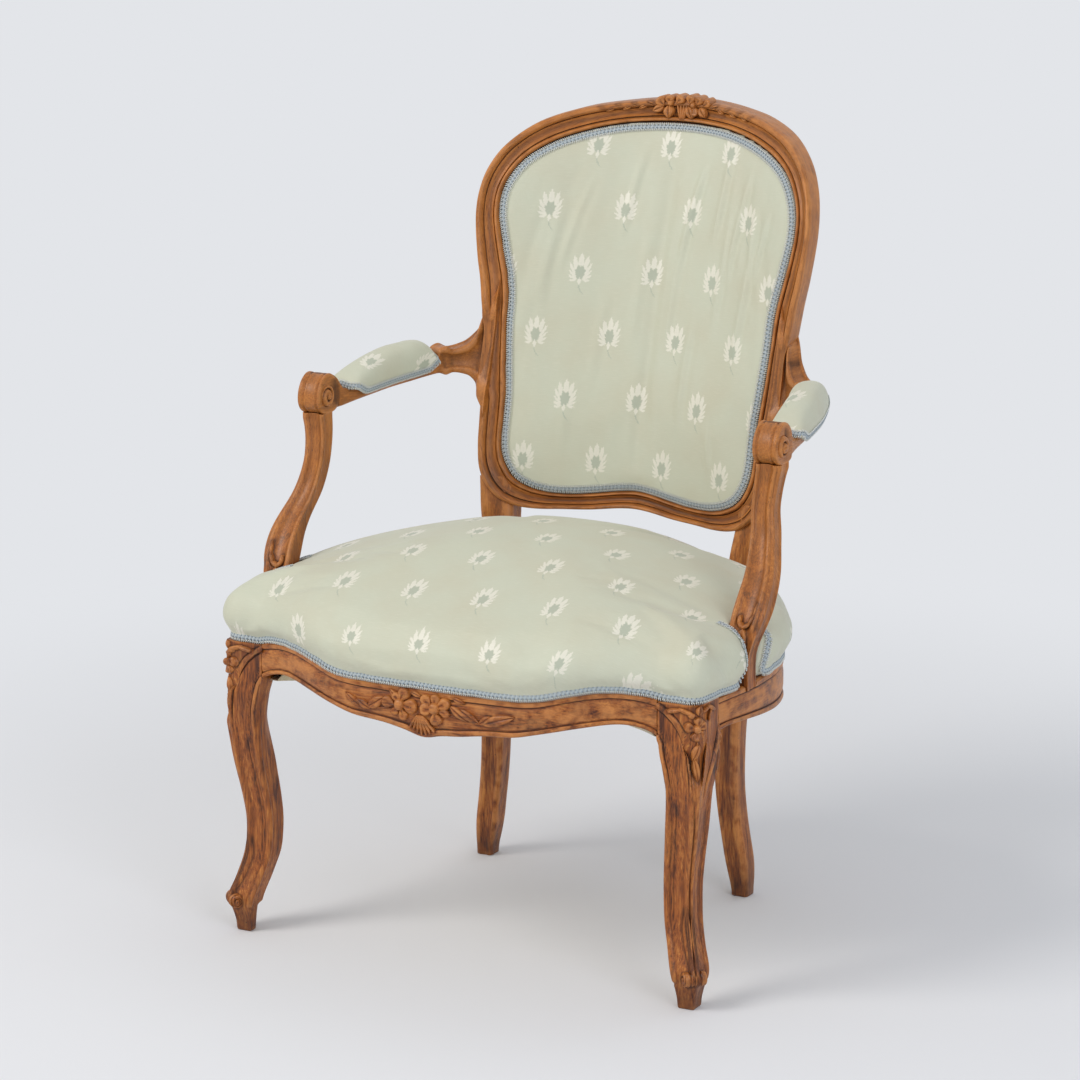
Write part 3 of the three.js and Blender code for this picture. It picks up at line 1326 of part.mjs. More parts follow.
// Tenons as their low and high corners. Each runs into the piece that carries it.
function tenons() {
  const root = CUT_OVERRUN / 3;
  const thick = TENON_THICKNESS;
  const half = TENON_HEIGHT / 2;
  const long = TENON_LENGTH;
  const short = TENON_LENGTH * 0.7;
  const railZ = RAIL_TOP - RAIL_REBATE - TENON_GAP * 8 - TENON_HEIGHT;
  const frontY = LEG_BLOCK_BACK_Y - LEG_BLOCK_WIDTH * 0.76;
  const sideX = LEG_BLOCK_INNER_X + LEG_BLOCK_WIDTH * 0.52;
  const postY = postShape(railZ)[2] + POST_DEPTH * 0.3;
  const backZ = mix(LOWER_RAIL_UNDERSIDE, LOWER_RAIL_END_TOP, 0.5);
  const backY = backFace(LOWER_RAIL_END_X, backZ) + FRAME_DEPTH * 0.4;
  const crestX = BACK_HALF_WIDTH * 0.942;
  const crestY = backFace(crestX, BACK_JOINT_HEIGHT) + FRAME_DEPTH * 0.4;
  const armZ = mix(ARM_JOINT_LOW, ARM_JOINT_HIGH, 0.5);
  const armY = backFace(ARM_JOINT_X, armZ) + FRAME_DEPTH * 0.4;
  const footX = SUPPORT_SHARES[0][1] * ARM_REACH_X - thick / 2;
  return {
    frontRail: tenonBox(LEG_BLOCK_INNER_X - root, LEG_BLOCK_INNER_X + long, frontY, railZ),
    sideRailFront: [
      [sideX, LEG_BLOCK_BACK_Y - long, railZ],
      [sideX + thick, LEG_BLOCK_BACK_Y + root, railZ + TENON_HEIGHT],
    ],
    sideRailRear: tenonBox(POST_JOINT_OUTER_X - short, POST_JOINT_OUTER_X + root, postY, railZ),
    rearRail: tenonBox(POST_JOINT_INNER_X - root, POST_JOINT_INNER_X + short, postY, railZ),
    lowerRail: tenonBox(LOWER_RAIL_END_X - root, LOWER_RAIL_END_X + long, backY, backZ - half),
    crest: [
      [crestX - thick, crestY, BACK_JOINT_HEIGHT - root],
      [crestX + thick, crestY + thick, BACK_JOINT_HEIGHT + long],
    ],
    arm: tenonBox(ARM_JOINT_X - short, ARM_JOINT_X + root, armY, armZ - half),
    supportTop: [
      [ARM_REACH_X - thick, SUPPORT_TOP_Y - thick / 2, ARM_UNDERSIDE - root],
      [ARM_REACH_X + thick, SUPPORT_TOP_Y + thick / 2, ARM_UNDERSIDE + short],
    ],
    supportFoot: [
      [footX, SUPPORT_BASE_Y - thick, SUPPORT_FOOT_HEIGHT - short],
      [footX + thick, SUPPORT_BASE_Y + thick, SUPPORT_FOOT_HEIGHT + root],
    ],
  };
}

function mortise(name) {
  const [low, high] = tenons()[name];
  return grown(low, high, TENON_GAP);
}

function tenon(name) {
  return boxBetween(...tenons()[name]);
}

// Pegs through the joints: the middle of each, the axis that it lies along and the side that it
// is driven from.
function pegLines() {
  const box = tenons();
  const held = (name, axis, side, along, from, share, lift = 0) => {
    const [low, high] = box[name];
    const centre = new THREE.Vector3(...low.map((value, i) => (value + high[i]) / 2));
    const ends = { x: [low[0], high[0]], y: [high[1], low[1]], z: [low[2], high[2]] }[along];
    const end = Math.abs(ends[0] - from) > Math.abs(ends[1] - from) ? ends[0] : ends[1];
    centre[along] = mix(from, end, share);
    centre.z += lift;
    return { centre, axis, side };
  };
  const lift = TENON_HEIGHT / 5;
  return {
    front_rail: held('frontRail', 'y', -1, 'x', LEG_BLOCK_INNER_X, 0.6),
    side_rail_front: held('sideRailFront', 'x', 1, 'y', LEG_BLOCK_BACK_Y, 0.6),
    side_rail_rear: held('sideRailRear', 'y', 1, 'x', POST_JOINT_OUTER_X, 0.45, -lift),
    rear_rail: held('rearRail', 'y', 1, 'x', POST_JOINT_INNER_X, 0.5, lift),
    lower_rail: held('lowerRail', 'y', 1, 'x', LOWER_RAIL_END_X, 0.6),
    crest: held('crest', 'y', 1, 'z', BACK_JOINT_HEIGHT, 0.6),
  };
}

function pegBody({ centre, axis, side }, radius, deep, out) {
  const geometry = new THREE.CylinderGeometry(radius, radius, deep + out, PEG_SIDES_COUNT);
  if (axis === 'x') {
    geometry.rotateZ(Math.PI / 2);
  }
  const place = centre.clone();
  place[axis] += (side * (out - deep)) / 2;
  geometry.translate(place.x, place.y, place.z);
  return geometry;
}

const pegs = pegLines();

function drilled(...names) {
  const radius = PEG_RADIUS + TENON_GAP;
  return names.map((name) => pegBody(pegs[name], radius, PEG_DEEP + TENON_GAP, PEG_DRILL));
}

function both(geometry) {
  return [geometry, mirrored(geometry)];
}

// Assembly

const chair = new THREE.Group();

// Adds one piece, with its own origin at the middle of its own box.
function addPiece(name, geometry, finish) {
  const plain = geometry.clone();
  plain.deleteAttribute('normal');
  plain.deleteAttribute('uv');
  plain.computeBoundingBox();
  const origin = plain.boundingBox.getCenter(new THREE.Vector3());
  plain.translate(-origin.x, -origin.y, -origin.z);
  plain.computeVertexNormals();
  const mesh = new THREE.Mesh(plain, new THREE.MeshStandardMaterial(finish));
  mesh.name = name;
  mesh.position.copy(origin);
  chair.add(mesh);
}

function addPair(name, geometry, finish) {
  addPiece(`${name}_left`, geometry, finish);
  addPiece(`${name}_right`, mirrored(geometry), finish);
}

function addFrame() {
  const leg = cut(
    frontLegBody(),
    mortise('frontRail'),
    mortise('sideRailFront'),
    ...drilled('front_rail', 'side_rail_front'),
  );
  addPair('front_leg', leg, WOOD);

  const post = cut(
    joined(postBody(), tenon('crest')),
    mortise('sideRailRear'),
    mortise('rearRail'),
    mortise('lowerRail'),
    mortise('arm'),
    ...drilled('side_rail_rear', 'rear_rail', 'lower_rail', 'crest'),
  );
  addPair('back_post', post, WOOD);

  const crest = loftRings(crestRings());
  const crestRoom = [mortise('crest'), ...drilled('crest')].flatMap(both);
  addPiece('crest_rail', cut(crest, ...crestRoom), WOOD);

  const railsAcross = [
    ['lower_back_rail', loftRings(lowerRailRings()), 'lowerRail', 'lower_rail'],
    ['front_seat_rail', frontRailBody(), 'frontRail', 'front_rail'],
    ['rear_seat_rail', rearRailBody(), 'rearRail', 'rear_rail'],
  ];
  for (const [name, body, tenonName, pegName] of railsAcross) {
    const rail = joined(body, ...both(tenon(tenonName)));
    addPiece(name, cut(rail, ...drilled(pegName).flatMap(both)), WOOD);
  }

  const footRoom = loftRings([SUPPORT_FOOT_HEIGHT, RAIL_TOP + CUT_OVERRUN].map((z) => (
    supportRing(z, FIT_GAP, OPEN_NOTCH_SHARES)
  )));
  const sideRail = cut(
    joined(sideRailBody(), tenon('sideRailFront'), tenon('sideRailRear')),
    footRoom,
    mortise('supportFoot'),
    ...drilled('side_rail_front', 'side_rail_rear'),
  );
  addPair('side_seat_rail', sideRail, WOOD);

  addPair('arm', cut(joined(armBody(), tenon('arm')), mortise('supportTop')), WOOD);
  const support = joined(supportBody(), tenon('supportTop'), tenon('supportFoot'));
  addPair('arm_support', support, WOOD);

  for (const [name, line] of Object.entries(pegs)) {
    addPair(`peg_${name}`, pegBody(line, PEG_RADIUS, PEG_DEEP, PEG_OUT), PALE_WOOD);
  }
  addPair('front_corner_block', frontCornerBody(), PALE_WOOD);
  addPair('rear_corner_block', rearCornerBody(), PALE_WOOD);
}

function addSeat() {
  LENGTHWISE_STRAP_SHARES.forEach((share, i) => {
    addPiece(`seat_webbing_lengthwise_${i + 1}`, lengthwiseStrap(share), WEBBING);
  });
  CROSS_STRAP_SHARES.forEach((share, i) => {
    addPiece(`seat_webbing_across_${i + 1}`, crossStrap(share), WEBBING);
  });
  const obstacles = seatObstacles(SOFT_GAP);
  const stations = outlineStations(SEAT_STATIONS_COUNT);
  const canvas = sheetBody(stations, STUFFING_INSET, webbingTop() + FIT_GAP, canvasTop());
  addPiece('seat_canvas', cut(canvas, ...obstacles), CANVAS);
  addPiece('seat_stuffing', cut(seatStuffingBody(), ...obstacles), STUFFING);
  addPiece('seat_cover', cut(seatCoverBody(), ...obstacles), DAMASK);

  const notchHalf = SUPPORT_HALF_WIDTH * 1.3;
  const notchFront = SUPPORT_BASE_Y - notchHalf;
  const notchRear = SUPPORT_BASE_Y + notchHalf;
  const gimpEnd = postShape(RAIL_TOP)[2] - 2 * POST_CLEARANCE;
  addPiece('seat_gimp_front', seatGimpBody(({ y }) => y < notchFront), GIMP);
  const side = seatGimpBody(({ x, y }) => x > 0 && y > notchRear && y < gimpEnd);
  addPair('seat_gimp_side', side, GIMP);
  addPiece('dust_cover', dustCoverBody(), CANVAS);
}

function addBack() {
  const canvasFar = LEDGE_SETBACK - WEBBING_THICKNESS - 4 * FIT_GAP;
  const canvas = backSheetBody(canvasFar - CANVAS_THICKNESS, canvasFar);
  addPiece('back_canvas', canvas, CANVAS);
  BACK_STRAP_SHARES.forEach((share, i) => {
    addPiece(`back_webbing_${i + 1}`, backStrapBody(share), WEBBING);
  });
  addPiece('back_stuffing', backStuffingBody(), STUFFING);
  addPiece('back_cover', backCoverBody(), DAMASK);
  addPiece('back_gimp', backGimpBody(), GIMP);
  const outside = FRAME_DEPTH - REAR_REBATE + 4 * FIT_GAP;
  addPiece('outside_back_cover', backSheetBody(outside, outside + COVER_THICKNESS), DAMASK);
}

function addArmPads() {
  addPair('arm_pad', armPadBody(), DAMASK);
  addPair('arm_gimp_outer', armGimpBody(1), GIMP);
  addPair('arm_gimp_inner', armGimpBody(-1), GIMP);
}

addFrame();
addSeat();
addBack();
addArmPads();

// Stands the chair on the floor, with its middle over the origin.
const bounds = new THREE.Box3().setFromObject(chair);
const centre = bounds.getCenter(new THREE.Vector3());
chair.position.set(-centre.x, -centre.y, -bounds.min.z);

export default chair;
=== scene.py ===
# Carved walnut armchair with a dished back, covered in silk damask.
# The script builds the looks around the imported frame. Lengths in the tables are millimetres,
# measured from the middle of the seat's width, with the back's face as the zero of depth.

import math
from itertools import product

import bmesh
import bpy
import numpy as np
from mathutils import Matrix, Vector


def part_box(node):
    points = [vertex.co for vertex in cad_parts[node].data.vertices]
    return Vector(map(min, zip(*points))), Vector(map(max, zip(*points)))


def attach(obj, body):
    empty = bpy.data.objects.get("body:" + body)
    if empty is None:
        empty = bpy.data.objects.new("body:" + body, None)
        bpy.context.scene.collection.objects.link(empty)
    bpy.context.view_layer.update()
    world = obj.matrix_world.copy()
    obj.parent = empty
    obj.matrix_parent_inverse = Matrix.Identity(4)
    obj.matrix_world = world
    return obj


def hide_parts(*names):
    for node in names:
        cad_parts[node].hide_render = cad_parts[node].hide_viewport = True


bl_info = {
    "name": "Carved Armchair",
    "version": (1, 0, 0),
    "blender": (4, 5, 0),
    "location": "View3D > Sidebar > Armchair",
    "description": "Builds a carved walnut armchair covered in damask around its packed frame",
    "category": "Add Mesh",
}

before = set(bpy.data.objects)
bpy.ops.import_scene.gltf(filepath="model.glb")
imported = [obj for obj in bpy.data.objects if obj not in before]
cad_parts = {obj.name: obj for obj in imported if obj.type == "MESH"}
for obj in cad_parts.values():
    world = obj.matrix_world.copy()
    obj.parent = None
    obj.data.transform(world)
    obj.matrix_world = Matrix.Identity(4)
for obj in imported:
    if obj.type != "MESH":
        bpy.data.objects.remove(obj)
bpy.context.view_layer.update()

MM = 0.001

# Whole chair
SEAT_HALF_WIDTH = 300.0
SEAT_FRONT_REACH = 354.0
SEAT_REAR_REACH = 134.0
RAIL_TOP = 340.0
LEG_TOP = 342.0
BACK_HALF_WIDTH = 212.0
BACK_CENTRE_HEIGHT = 452.0
BACK_PAD_CENTRE_HEIGHT = 660.0
FRAME_DEPTH = 32.0
# How far the back leans for each millimetre of height
BACK_LEAN = 0.288
# Corners of the seat in front, inside the legs' blocks
CORNER_X, CORNER_Y = 245.0, -250.0
# Middle of the seat's depth, and the height of its crown
SEAT_MIDDLE, SEAT_CROWN = -100.0, 458.0
# Middle of a front leg's block, and how far out along its diagonal the corner lies
LEG_X, LEG_Y = 270.0, -275.0
LEG_CORNER = 412.5
# Foot and height of an arm support, and the lines that its rows are shares of
SUPPORT_FOOT, SUPPORT_HEIGHT = 334.0, 226.0
SUPPORT_Y = -183.0
ARM_X = 286.0
# Middle of the hand rest, half its width and the height of its scroll
HAND_X, HAND_HALF, HAND_Z = 285.4, 14.6, 586.0

# The tables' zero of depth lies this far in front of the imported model's
DEPTH_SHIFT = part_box("rear_seat_rail")[1][1] / MM - SEAT_REAR_REACH


# Curves and tables


def curve_through(rows):
    """Smooth function through rows of [place, value ...] that keeps level stretches level."""
    table = np.array(rows, float)
    places, values = table[:, 0], table[:, 1:]
    span = np.diff(places)[:, None]
    secant = np.diff(values, axis=0) / span
    before, after = secant[:-1], secant[1:]
    same = before * after > 0
    middle = np.where(same, 2 * before * after / np.where(same, before + after, 1), 0)
    slope = np.vstack([secant[:1], middle, secant[-1:]])

    def at(place):
        place = np.asarray(place, float)
        row = np.clip(np.searchsorted(places, place, side="right") - 1, 0, len(places) - 2)
        length = span[row, 0]
        t = np.clip((place - places[row]) / length, 0, 1)[..., None]
        rise = values[row + 1] - values[row]
        start = slope[row] * length[..., None]
        end = slope[row + 1] * length[..., None]
        cubic = start + end - 2 * rise
        square = 3 * rise - 2 * start - end
        return values[row] + t * (start + t * (square + t * cubic))

    return at


def eased(rows, reach):
    """The same function with its bends rounded over a reach on both sides."""
    sharp = curve_through(rows)
    first, last = rows[0][0], rows[-1][0]
    steps = np.linspace(-1, 1, 11)
    weights = (1 - steps**2) / (1 - steps**2).sum()

    def at(place):
        place = np.clip(np.asarray(place, float), first, last)
        near = np.minimum(reach, np.minimum(place - first, last - place))
        return sum(weight * sharp(place + step * near) for step, weight in zip(steps, weights))

    return at


def mix(a, b, share):
    return a + (b - a) * share


def smooth(low, high, value):
    t = np.clip((np.asarray(value, float) - low) / (high - low), 0, 1)
    return t * t * (3 - 2 * t)


def run_along(line):
    """How far along a line each of its points lies."""
    return np.r_[0, np.cumsum(np.linalg.norm(np.diff(line, axis=0), axis=1))]


def at_places(places, run, rows):
    """Rows of values read at places of their run."""
    return np.stack([np.interp(places, run, column) for column in rows.T], axis=1)


def units(rows):
    """The rows, each with a length of one."""
    return rows / np.linalg.norm(rows, axis=1)[:, None]


def loop_outs(line):
    """The way to the outside at each point of a closed line."""
    tangent = units(np.roll(line, -1, axis=0) - np.roll(line, 1, axis=0))
    return np.stack([tangent[:, 1], -tangent[:, 0]], axis=1)


def spline(points, count, closed=False):
    """Points evenly spaced along a rounded curve through the given ones."""
    pts = np.array(points, float)
    if closed:
        pts = np.vstack([pts[-1:], pts, pts[:2]])
    else:
        pts = np.vstack([2 * pts[0] - pts[1], pts, 2 * pts[-1] - pts[-2]])
    fine = []
    for a, b, c, d in zip(pts, pts[1:], pts[2:], pts[3:]):
        gaps = [max(np.linalg.norm(q - p), 1e-6) ** 0.5 for p, q in ((a, b), (b, c), (c, d))]
        first = ((b - a) / gaps[0] - (c - a) / (gaps[0] + gaps[1]) + (c - b) / gaps[1]) * gaps[1]
        last = ((c - b) / gaps[1] - (d - b) / (gaps[1] + gaps[2]) + (d - c) / gaps[2]) * gaps[1]
        t = np.linspace(0, 1, 24, endpoint=False)[:, None]
        cubic, square = 2 * (b - c) + first + last, 3 * (c - b) - 2 * first - last
        fine.append(b + t * (first + t * (square + t * cubic)))
    line = np.vstack(fine + [pts[-2:-1]])
    run = run_along(line)
    places = np.linspace(0, run[-1], count + closed)[:count]
    return at_places(places, run, line)


def ring_at(section, count):
    """A closed outline of section points, made finer and a little rounded."""
    return spline(section, count, closed=True)


# Surface of the back


def back_face(x, z):
    """Depth of the back's face: it leans back as it rises, and its sides come forward."""
    dish = 44 + 0.045 * (z - 500)
    reach = np.abs(x) / (BACK_HALF_WIDTH * 0.769)
    return 142 + BACK_LEAN * (z - BACK_CENTRE_HEIGHT) - dish * reach**1.7


# Outlines of the seat rails

FRONT_OUTLINE = eased([
    [x * SEAT_HALF_WIDTH, -y * SEAT_FRONT_REACH] for x, y in (
        (0, 1), (0.167, 0.997), (0.333, 0.991), (0.4, 0.983), (0.48, 0.963), (0.557, 0.935),
        (0.633, 0.904), (0.717, 0.872), (0.817, 0.847))
], 12)
FRONT_WAVE = eased([
    [x * SEAT_HALF_WIDTH, y * 9] for x, y in (
        (0, -0.5), (0.333, -0.55), (0.407, -0.44), (0.48, 0.11), (0.557, 0.67), (0.65, 1),
        (0.75, 0.8), (0.817, 0.33))
], 14)
FRONT_DROP = eased([
    [x * SEAT_HALF_WIDTH, y * 55] for x, y in (
        (0, 1), (0.1, 0.98), (0.2, 0.89), (0.333, 0.84), (0.39, 0.76), (0.453, 0.69), (0.52, 0.61),
        (0.603, 0.53), (0.683, 0.47), (0.75, 0.51), (0.817, 0.67))
], 20)
SIDE_LINE = [(295.0, -249.7)] + [
    (x * SEAT_HALF_WIDTH, y * SEAT_FRONT_REACH) for x, y in (
        (1.003, -0.58), (1.007, -0.508), (1.003, -0.395), (0.987, -0.282), (0.95, -0.175),
        (0.885, -0.079), (0.795, 0.051), (0.697, 0.17))
] + [(178.3, 104.0)]
SIDE_DROP = eased([
    [t, y * 40] for t, y in (
        (0, 0.93), (0.08, 0.9), (0.2, 1.02), (0.4, 1.2), (0.6, 1.22), (0.8, 1.14), (1, 1.1))
], 0.1)
REAR_OUTLINE = curve_through([[0, 134], [72, 128], [115.2, 116.6], [144, 107.2]])


def front_y(x):
    return FRONT_OUTLINE(np.abs(x))[..., 0]


# Rear posts and stiles: height, inner x, outer x, front y and how far it is the moulded frame

POST_ROWS = [
    (0, 159, 178.9, 77, 21.1, 0), (22.4, 156.2, 179.4, 74.7, 25.6, 0),
    (35, 152.4, 179.6, 73, 28.8, 0), (64, 148.4, 175.5, 71, 28.2, 0),
    (105, 142.5, 170.4, 68.5, 28.2, 0), (145.3, 139.5, 167.9, 66.5, 29.1, 0),
    (199.7, 138.4, 168.5, 67, 30.1, 0), (250.3, 139.9, 172.8, 71, 31, 0),
    (290, 144, 178, 76.2, 32, 0), (346, 144, 178, 84.7, 32, 0), (385.2, 142, 178.5, 90.1, 32, 0),
    (417.2, 142.5, 180.2, 96.3, 32, 0.6), (425.7, 146, 180.4, 96.3, 32, 1),
    (461, 146, 184.4, 96.3, 32, 1),
]
STILE_ROWS = [
    (473.1, 153.9, 185.9), (485, 160.1, 187), (499.9, 163.2, 188.3), (529.7, 163.7, 189.3),
    (552, 163.9, 190.6), (566, 164.9, 194), (600, 168.3, 194), (634, 170.9, 194.2),
    (642.2, 171.3, 196.5), (665.3, 171.9, 199.9), (689.9, 174.9, 203.3), (712.2, 180, 207.5),
    (730.1, 184.2, 210.1), (745, 187.4, 212),
]
CREST_ROWS = [
    (190.6, 765, 213.7, 768), (190, 788, 212.4, 792), (183.6, 808, 206.5, 817),
    (169, 829, 192.1, 843), (145, 846, 163, 868), (110, 859.5, 121.1, 884), (72.1, 868, 78, 891.5),
    (31, 871.7, 33.1, 896), (0, 872.4, 0, 896.9),
]
LOWER_ROWS = [
    (0, 452.4, 432.1), (17.5, 451.2, 431.2), (54, 446.1, 427.1), (87.6, 443.9, 425.8),
    (112, 446, 425.4), (132, 452, 427.5), (146, 461, 436),
]


# Meshes


def row_place(points):
    """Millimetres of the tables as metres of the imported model."""
    placed = np.array(points, float)
    placed[..., 1] += DEPTH_SHIFT
    return placed * MM


def store_values(mesh, key, values):
    """Stores one number or one vector for each of the mesh's points under a name."""
    values = np.asarray(values, np.float32)
    kind, field = ("FLOAT_VECTOR", "vector") if values.ndim == 2 else ("FLOAT", "value")
    layer = mesh.attributes.get(key) or mesh.attributes.new(key, kind, "POINT")
    layer.data.foreach_set(field, values.ravel())


def piece_from(name, points, faces, values=None):
    """A mesh object from points in table millimetres, with named values at its points."""
    mesh = bpy.data.meshes.new(name)
    mesh.from_pydata(row_place(points).tolist(), [], faces)
    mesh.update()
    for key, data in (values or {}).items():
        store_values(mesh, key, data)
    obj = bpy.data.objects.new(name, mesh)
    bpy.context.scene.collection.objects.link(obj)
    return obj


def table_points(obj):
    """The mesh's points and normals, in table millimetres."""
    count = len(obj.data.vertices)
    co, no = np.empty(count * 3), np.empty(count * 3)
    obj.data.vertices.foreach_get("co", co)
    obj.data.vertex_normals.foreach_get("vector", no)
    co = co.reshape(-1, 3) / MM
    co[:, 1] -= DEPTH_SHIFT
    return co, no.reshape(-1, 3)


def set_points(obj, points):
    obj.data.vertices.foreach_set("co", row_place(points).astype(np.float32).ravel())
    obj.data.update()


def grid_faces(rings, count, closed, first=0):
    faces = []
    for i in range(rings if closed else rings - 1):
        near, far = first + i * count, first + ((i + 1) % rings) * count
        faces += [(near + k, near + (k + 1) % count, far + (k + 1) % count, far + k)
                  for k in range(count)]
    return faces


def signed_volume(points, faces):
    tris = np.array([(f[0], b, c) for f in faces for b, c in zip(f[1:-1], f[2:])])
    a, b, c = (points[tris[:, k]] for k in range(3))
    return np.einsum("ij,ij->i", a, np.cross(b, c)).sum() / 6


# The grain's direction comes last, as the wood's texture is stretched along its third axis
GRAIN_ORDER = {"x": (1, 2, 0), "y": (0, 2, 1), "z": (0, 1, 2)}


def lofted(name, grid, closed=False, grain="z", crown=0.0):
    """A closed body through rings of points. Open ends are closed by inner rings and a pole."""
    rings, count = grid.shape[:2]
    points = grid.reshape(-1, 3)
    faces = grid_faces(rings, count, closed)
    if not closed:
        for ring, inward in ((0, -1), (rings - 1, 1)):
            edge = grid[ring]
            centre = edge.mean(axis=0)
            other = grid[1 if ring == 0 else rings - 2].mean(axis=0)
            out = centre - other
            out = out / max(np.linalg.norm(out), 1e-9)
            last = [ring * count + k for k in range(count)]
            for share in (0.97, 0.9, 0.7, 0.4):
                lift = crown * math.sqrt(1 - share * share)
                first = len(points)
                points = np.vstack([points, mix(centre, edge, share) + out * lift])
                this = [first + k for k in range(count)]
                faces += [
                    (last[k], last[(k + 1) % count], this[(k + 1) % count], this[k])[::inward]
                    for k in range(count)]
                last = this
            pole = len(points)
            points = np.vstack([points, centre + out * crown])
            faces += [(last[k], last[(k + 1) % count], pole)[::inward] for k in range(count)]
    if signed_volume(points, faces) < 0:
        faces = [face[::-1] for face in faces]
    return piece_from(name, points, faces, {"grain": points[:, GRAIN_ORDER[grain]] * MM})


def edges_of(obj):
    edges = np.empty(len(obj.data.edges) * 2, np.int64)
    obj.data.edges.foreach_get("vertices", edges)
    return edges.reshape(-1, 2)


def neighbour_mean(values, edges, passes):
    """Each point's value averaged with its neighbours', a number of times."""
    count = len(values)
    a, b = edges[:, 0], edges[:, 1]
    valence = np.bincount(a, minlength=count) + np.bincount(b, minlength=count)
    valence = np.maximum(valence, 1)[:, None]
    out = values.copy()
    for _ in range(passes):
        total = np.stack([
            np.bincount(a, out[b, k], count) + np.bincount(b, out[a, k], count)
            for k in range(out.shape[1])], axis=1)
        out = 0.5 * out + 0.5 * total / valence
    return out


def mark_hollows(obj, passes=14, reach=0.9):
    """Stores how hollow each place is, from -1 on sharp edges to 1 in deep cuts."""
    co, no = table_points(obj)
    mean = neighbour_mean(co, edges_of(obj), passes)
    hollow = np.einsum("ij,ij->i", mean - co, no) / reach
    # Places close to touching carving count as hollow, so that the walnut gets painted shade in
    # those gaps
    gap = obj.data.attributes.get("gap")
    if gap:
        gaps = np.empty(len(co), np.float32)
        gap.data.foreach_get("value", gaps)
        hollow = np.maximum(hollow, -0.6) * (1 - gaps) + gaps
        obj.data.attributes.remove(gap)
    store_values(obj.data, "hollow", np.clip(hollow, -1, 1))


def finish_piece(obj, material, nodes=(), angle=None):
    """Gives a finished piece its shading, finish and body, and hides the CAD nodes that it stands
    for.
    """
    obj.data.polygons.foreach_set("use_smooth", [True] * len(obj.data.polygons))
    if angle is not None:
        obj.data.set_sharp_from_angle(angle=math.radians(angle))
    if material:
        obj.data.materials.clear()
        obj.data.materials.append(material)
    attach(obj, "root")
    if nodes:
        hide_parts(*nodes)
    return obj


def finish_wood(obj, nodes=(), passes=14):
    mark_hollows(obj, passes)
    return finish_piece(obj, walnut(), nodes, angle=50)


def mirrored(obj, name):
    """A copy on the other side of the chair, with its faces turned outwards again."""
    mesh = obj.data.copy()
    bm = bmesh.new()
    bm.from_mesh(mesh)
    for vert in bm.verts:
        vert.co.x = -vert.co.x
    bmesh.ops.reverse_faces(bm, faces=bm.faces)
    bm.to_mesh(mesh)
    bm.free()
    mesh.name = name
    copy = bpy.data.objects.new(name, mesh)
    bpy.context.scene.collection.objects.link(copy)
    return copy


def both_sides(left, right_name, left_node, right_node):
    """Finishes a wooden piece of the left side and its twin on the right."""
    right = mirrored(left, right_name)
    return [finish_wood(left, (left_node,)), finish_wood(right, (right_node,))]


# Carved relief. Each shape gives the height, in millimetres, that it adds at flat places.


def near_line(p, line):
    """Distance from flat places to a line of points."""
    best = np.full(len(p), 1e9)
    line = np.array(line, float)
    for a, b in zip(line, line[1:]):
        step = b - a
        t = np.clip(((p - a) @ step) / (step @ step), 0, 1)
        best = np.minimum(best, np.linalg.norm(p - a - t[:, None] * step, axis=1))
    return best


def add_shell(store, grid):
    """Adds a closed body through rings of points to a store of points and faces."""
    rings, count = grid.shape[:2]
    first = len(store[0])
    points = np.vstack([grid.reshape(-1, 3), grid[0].mean(axis=0), grid[-1].mean(axis=0)])
    faces = grid_faces(rings, count, False)
    last = (rings - 1) * count
    faces += [((k + 1) % count, k, rings * count) for k in range(count)]
    faces += [(last + k, last + (k + 1) % count, rings * count + 1) for k in range(count)]
    if signed_volume(points, faces) < 0:
        faces = [face[::-1] for face in faces]
    store[0].extend(points.tolist())
    store[1].extend(tuple(first + k for k in face) for face in faces)


def carved(store, surface, kind, base, tip, width, height, sink=4.0, curl=0.0):
    """One carved leaf, petal or stem on a surface: a raised top with sides that go down into it."""
    base, tip = np.array(base, float), np.array(tip, float)
    axis = tip - base
    side = np.array([-axis[1], axis[0]]) / np.linalg.norm(axis)
    height = 1.15 * height * bpy.context.scene.armchair_wood.carving
    s = np.linspace(0.0, 1.0, 15)[:, None]
    t = np.linspace(-1.0, 1.0, 11)[None]
    if kind == "leaf":
        half = 0.5 * width * np.maximum(np.sin(np.pi * s**0.85) ** 0.8, 0.03)
        lift = height * (0.55 + 0.45 * np.sin(np.pi * s)) * (0.86 + 0.14 * np.abs(t))
        lift = lift * (1 - 0.2 * np.exp(-((t / 0.2) ** 2))) * (1 - 0.4 * t**4)
    elif kind == "petal":
        half = 0.5 * width * np.maximum(np.sin(np.pi * s**1.35) ** 0.62, 0.05)
        rim = np.maximum(np.abs(t), np.clip(2 * s - 1, 0, 1))
        lift = height * (0.66 + 0.34 * s) * (0.86 + 0.14 * np.cos(np.pi * (rim - 0.6))) * (
            1 - 0.42 * rim**6)
    elif kind == "bud":
        half = 0.5 * width * np.maximum(np.sqrt(np.clip(1 - (2 * s - 1) ** 2, 0, 1)), 0.05)
        lift = height * (0.45 + 0.55 * np.sqrt(np.clip(1 - (2 * s - 1) ** 2, 0, 1)) * (1 - t**4))
    else:
        half = 0.5 * width * np.maximum(np.sin(np.pi * (0.12 + 0.76 * s)) ** 0.5, 0.2)
        lift = height * np.sqrt(np.clip(1 - 0.85 * t**2, 0, 1)) * (0.75 + 0.25 * np.sin(np.pi * s))
    centre = base + s * axis + side * curl * np.sin(np.pi * s)
    flat = centre[:, None] + side * (half * t)[..., None]
    lift = np.broadcast_to(lift, flat.shape[:2])
    low = flat[:, [-1, 5, 0]]
    flat = np.concatenate([flat, low], axis=1)
    lift = np.concatenate([lift, np.full(low.shape[:2], -sink)], axis=1)
    add_shell(store, surface(flat.reshape(-1, 2), lift.ravel()).reshape(*lift.shape, 3))


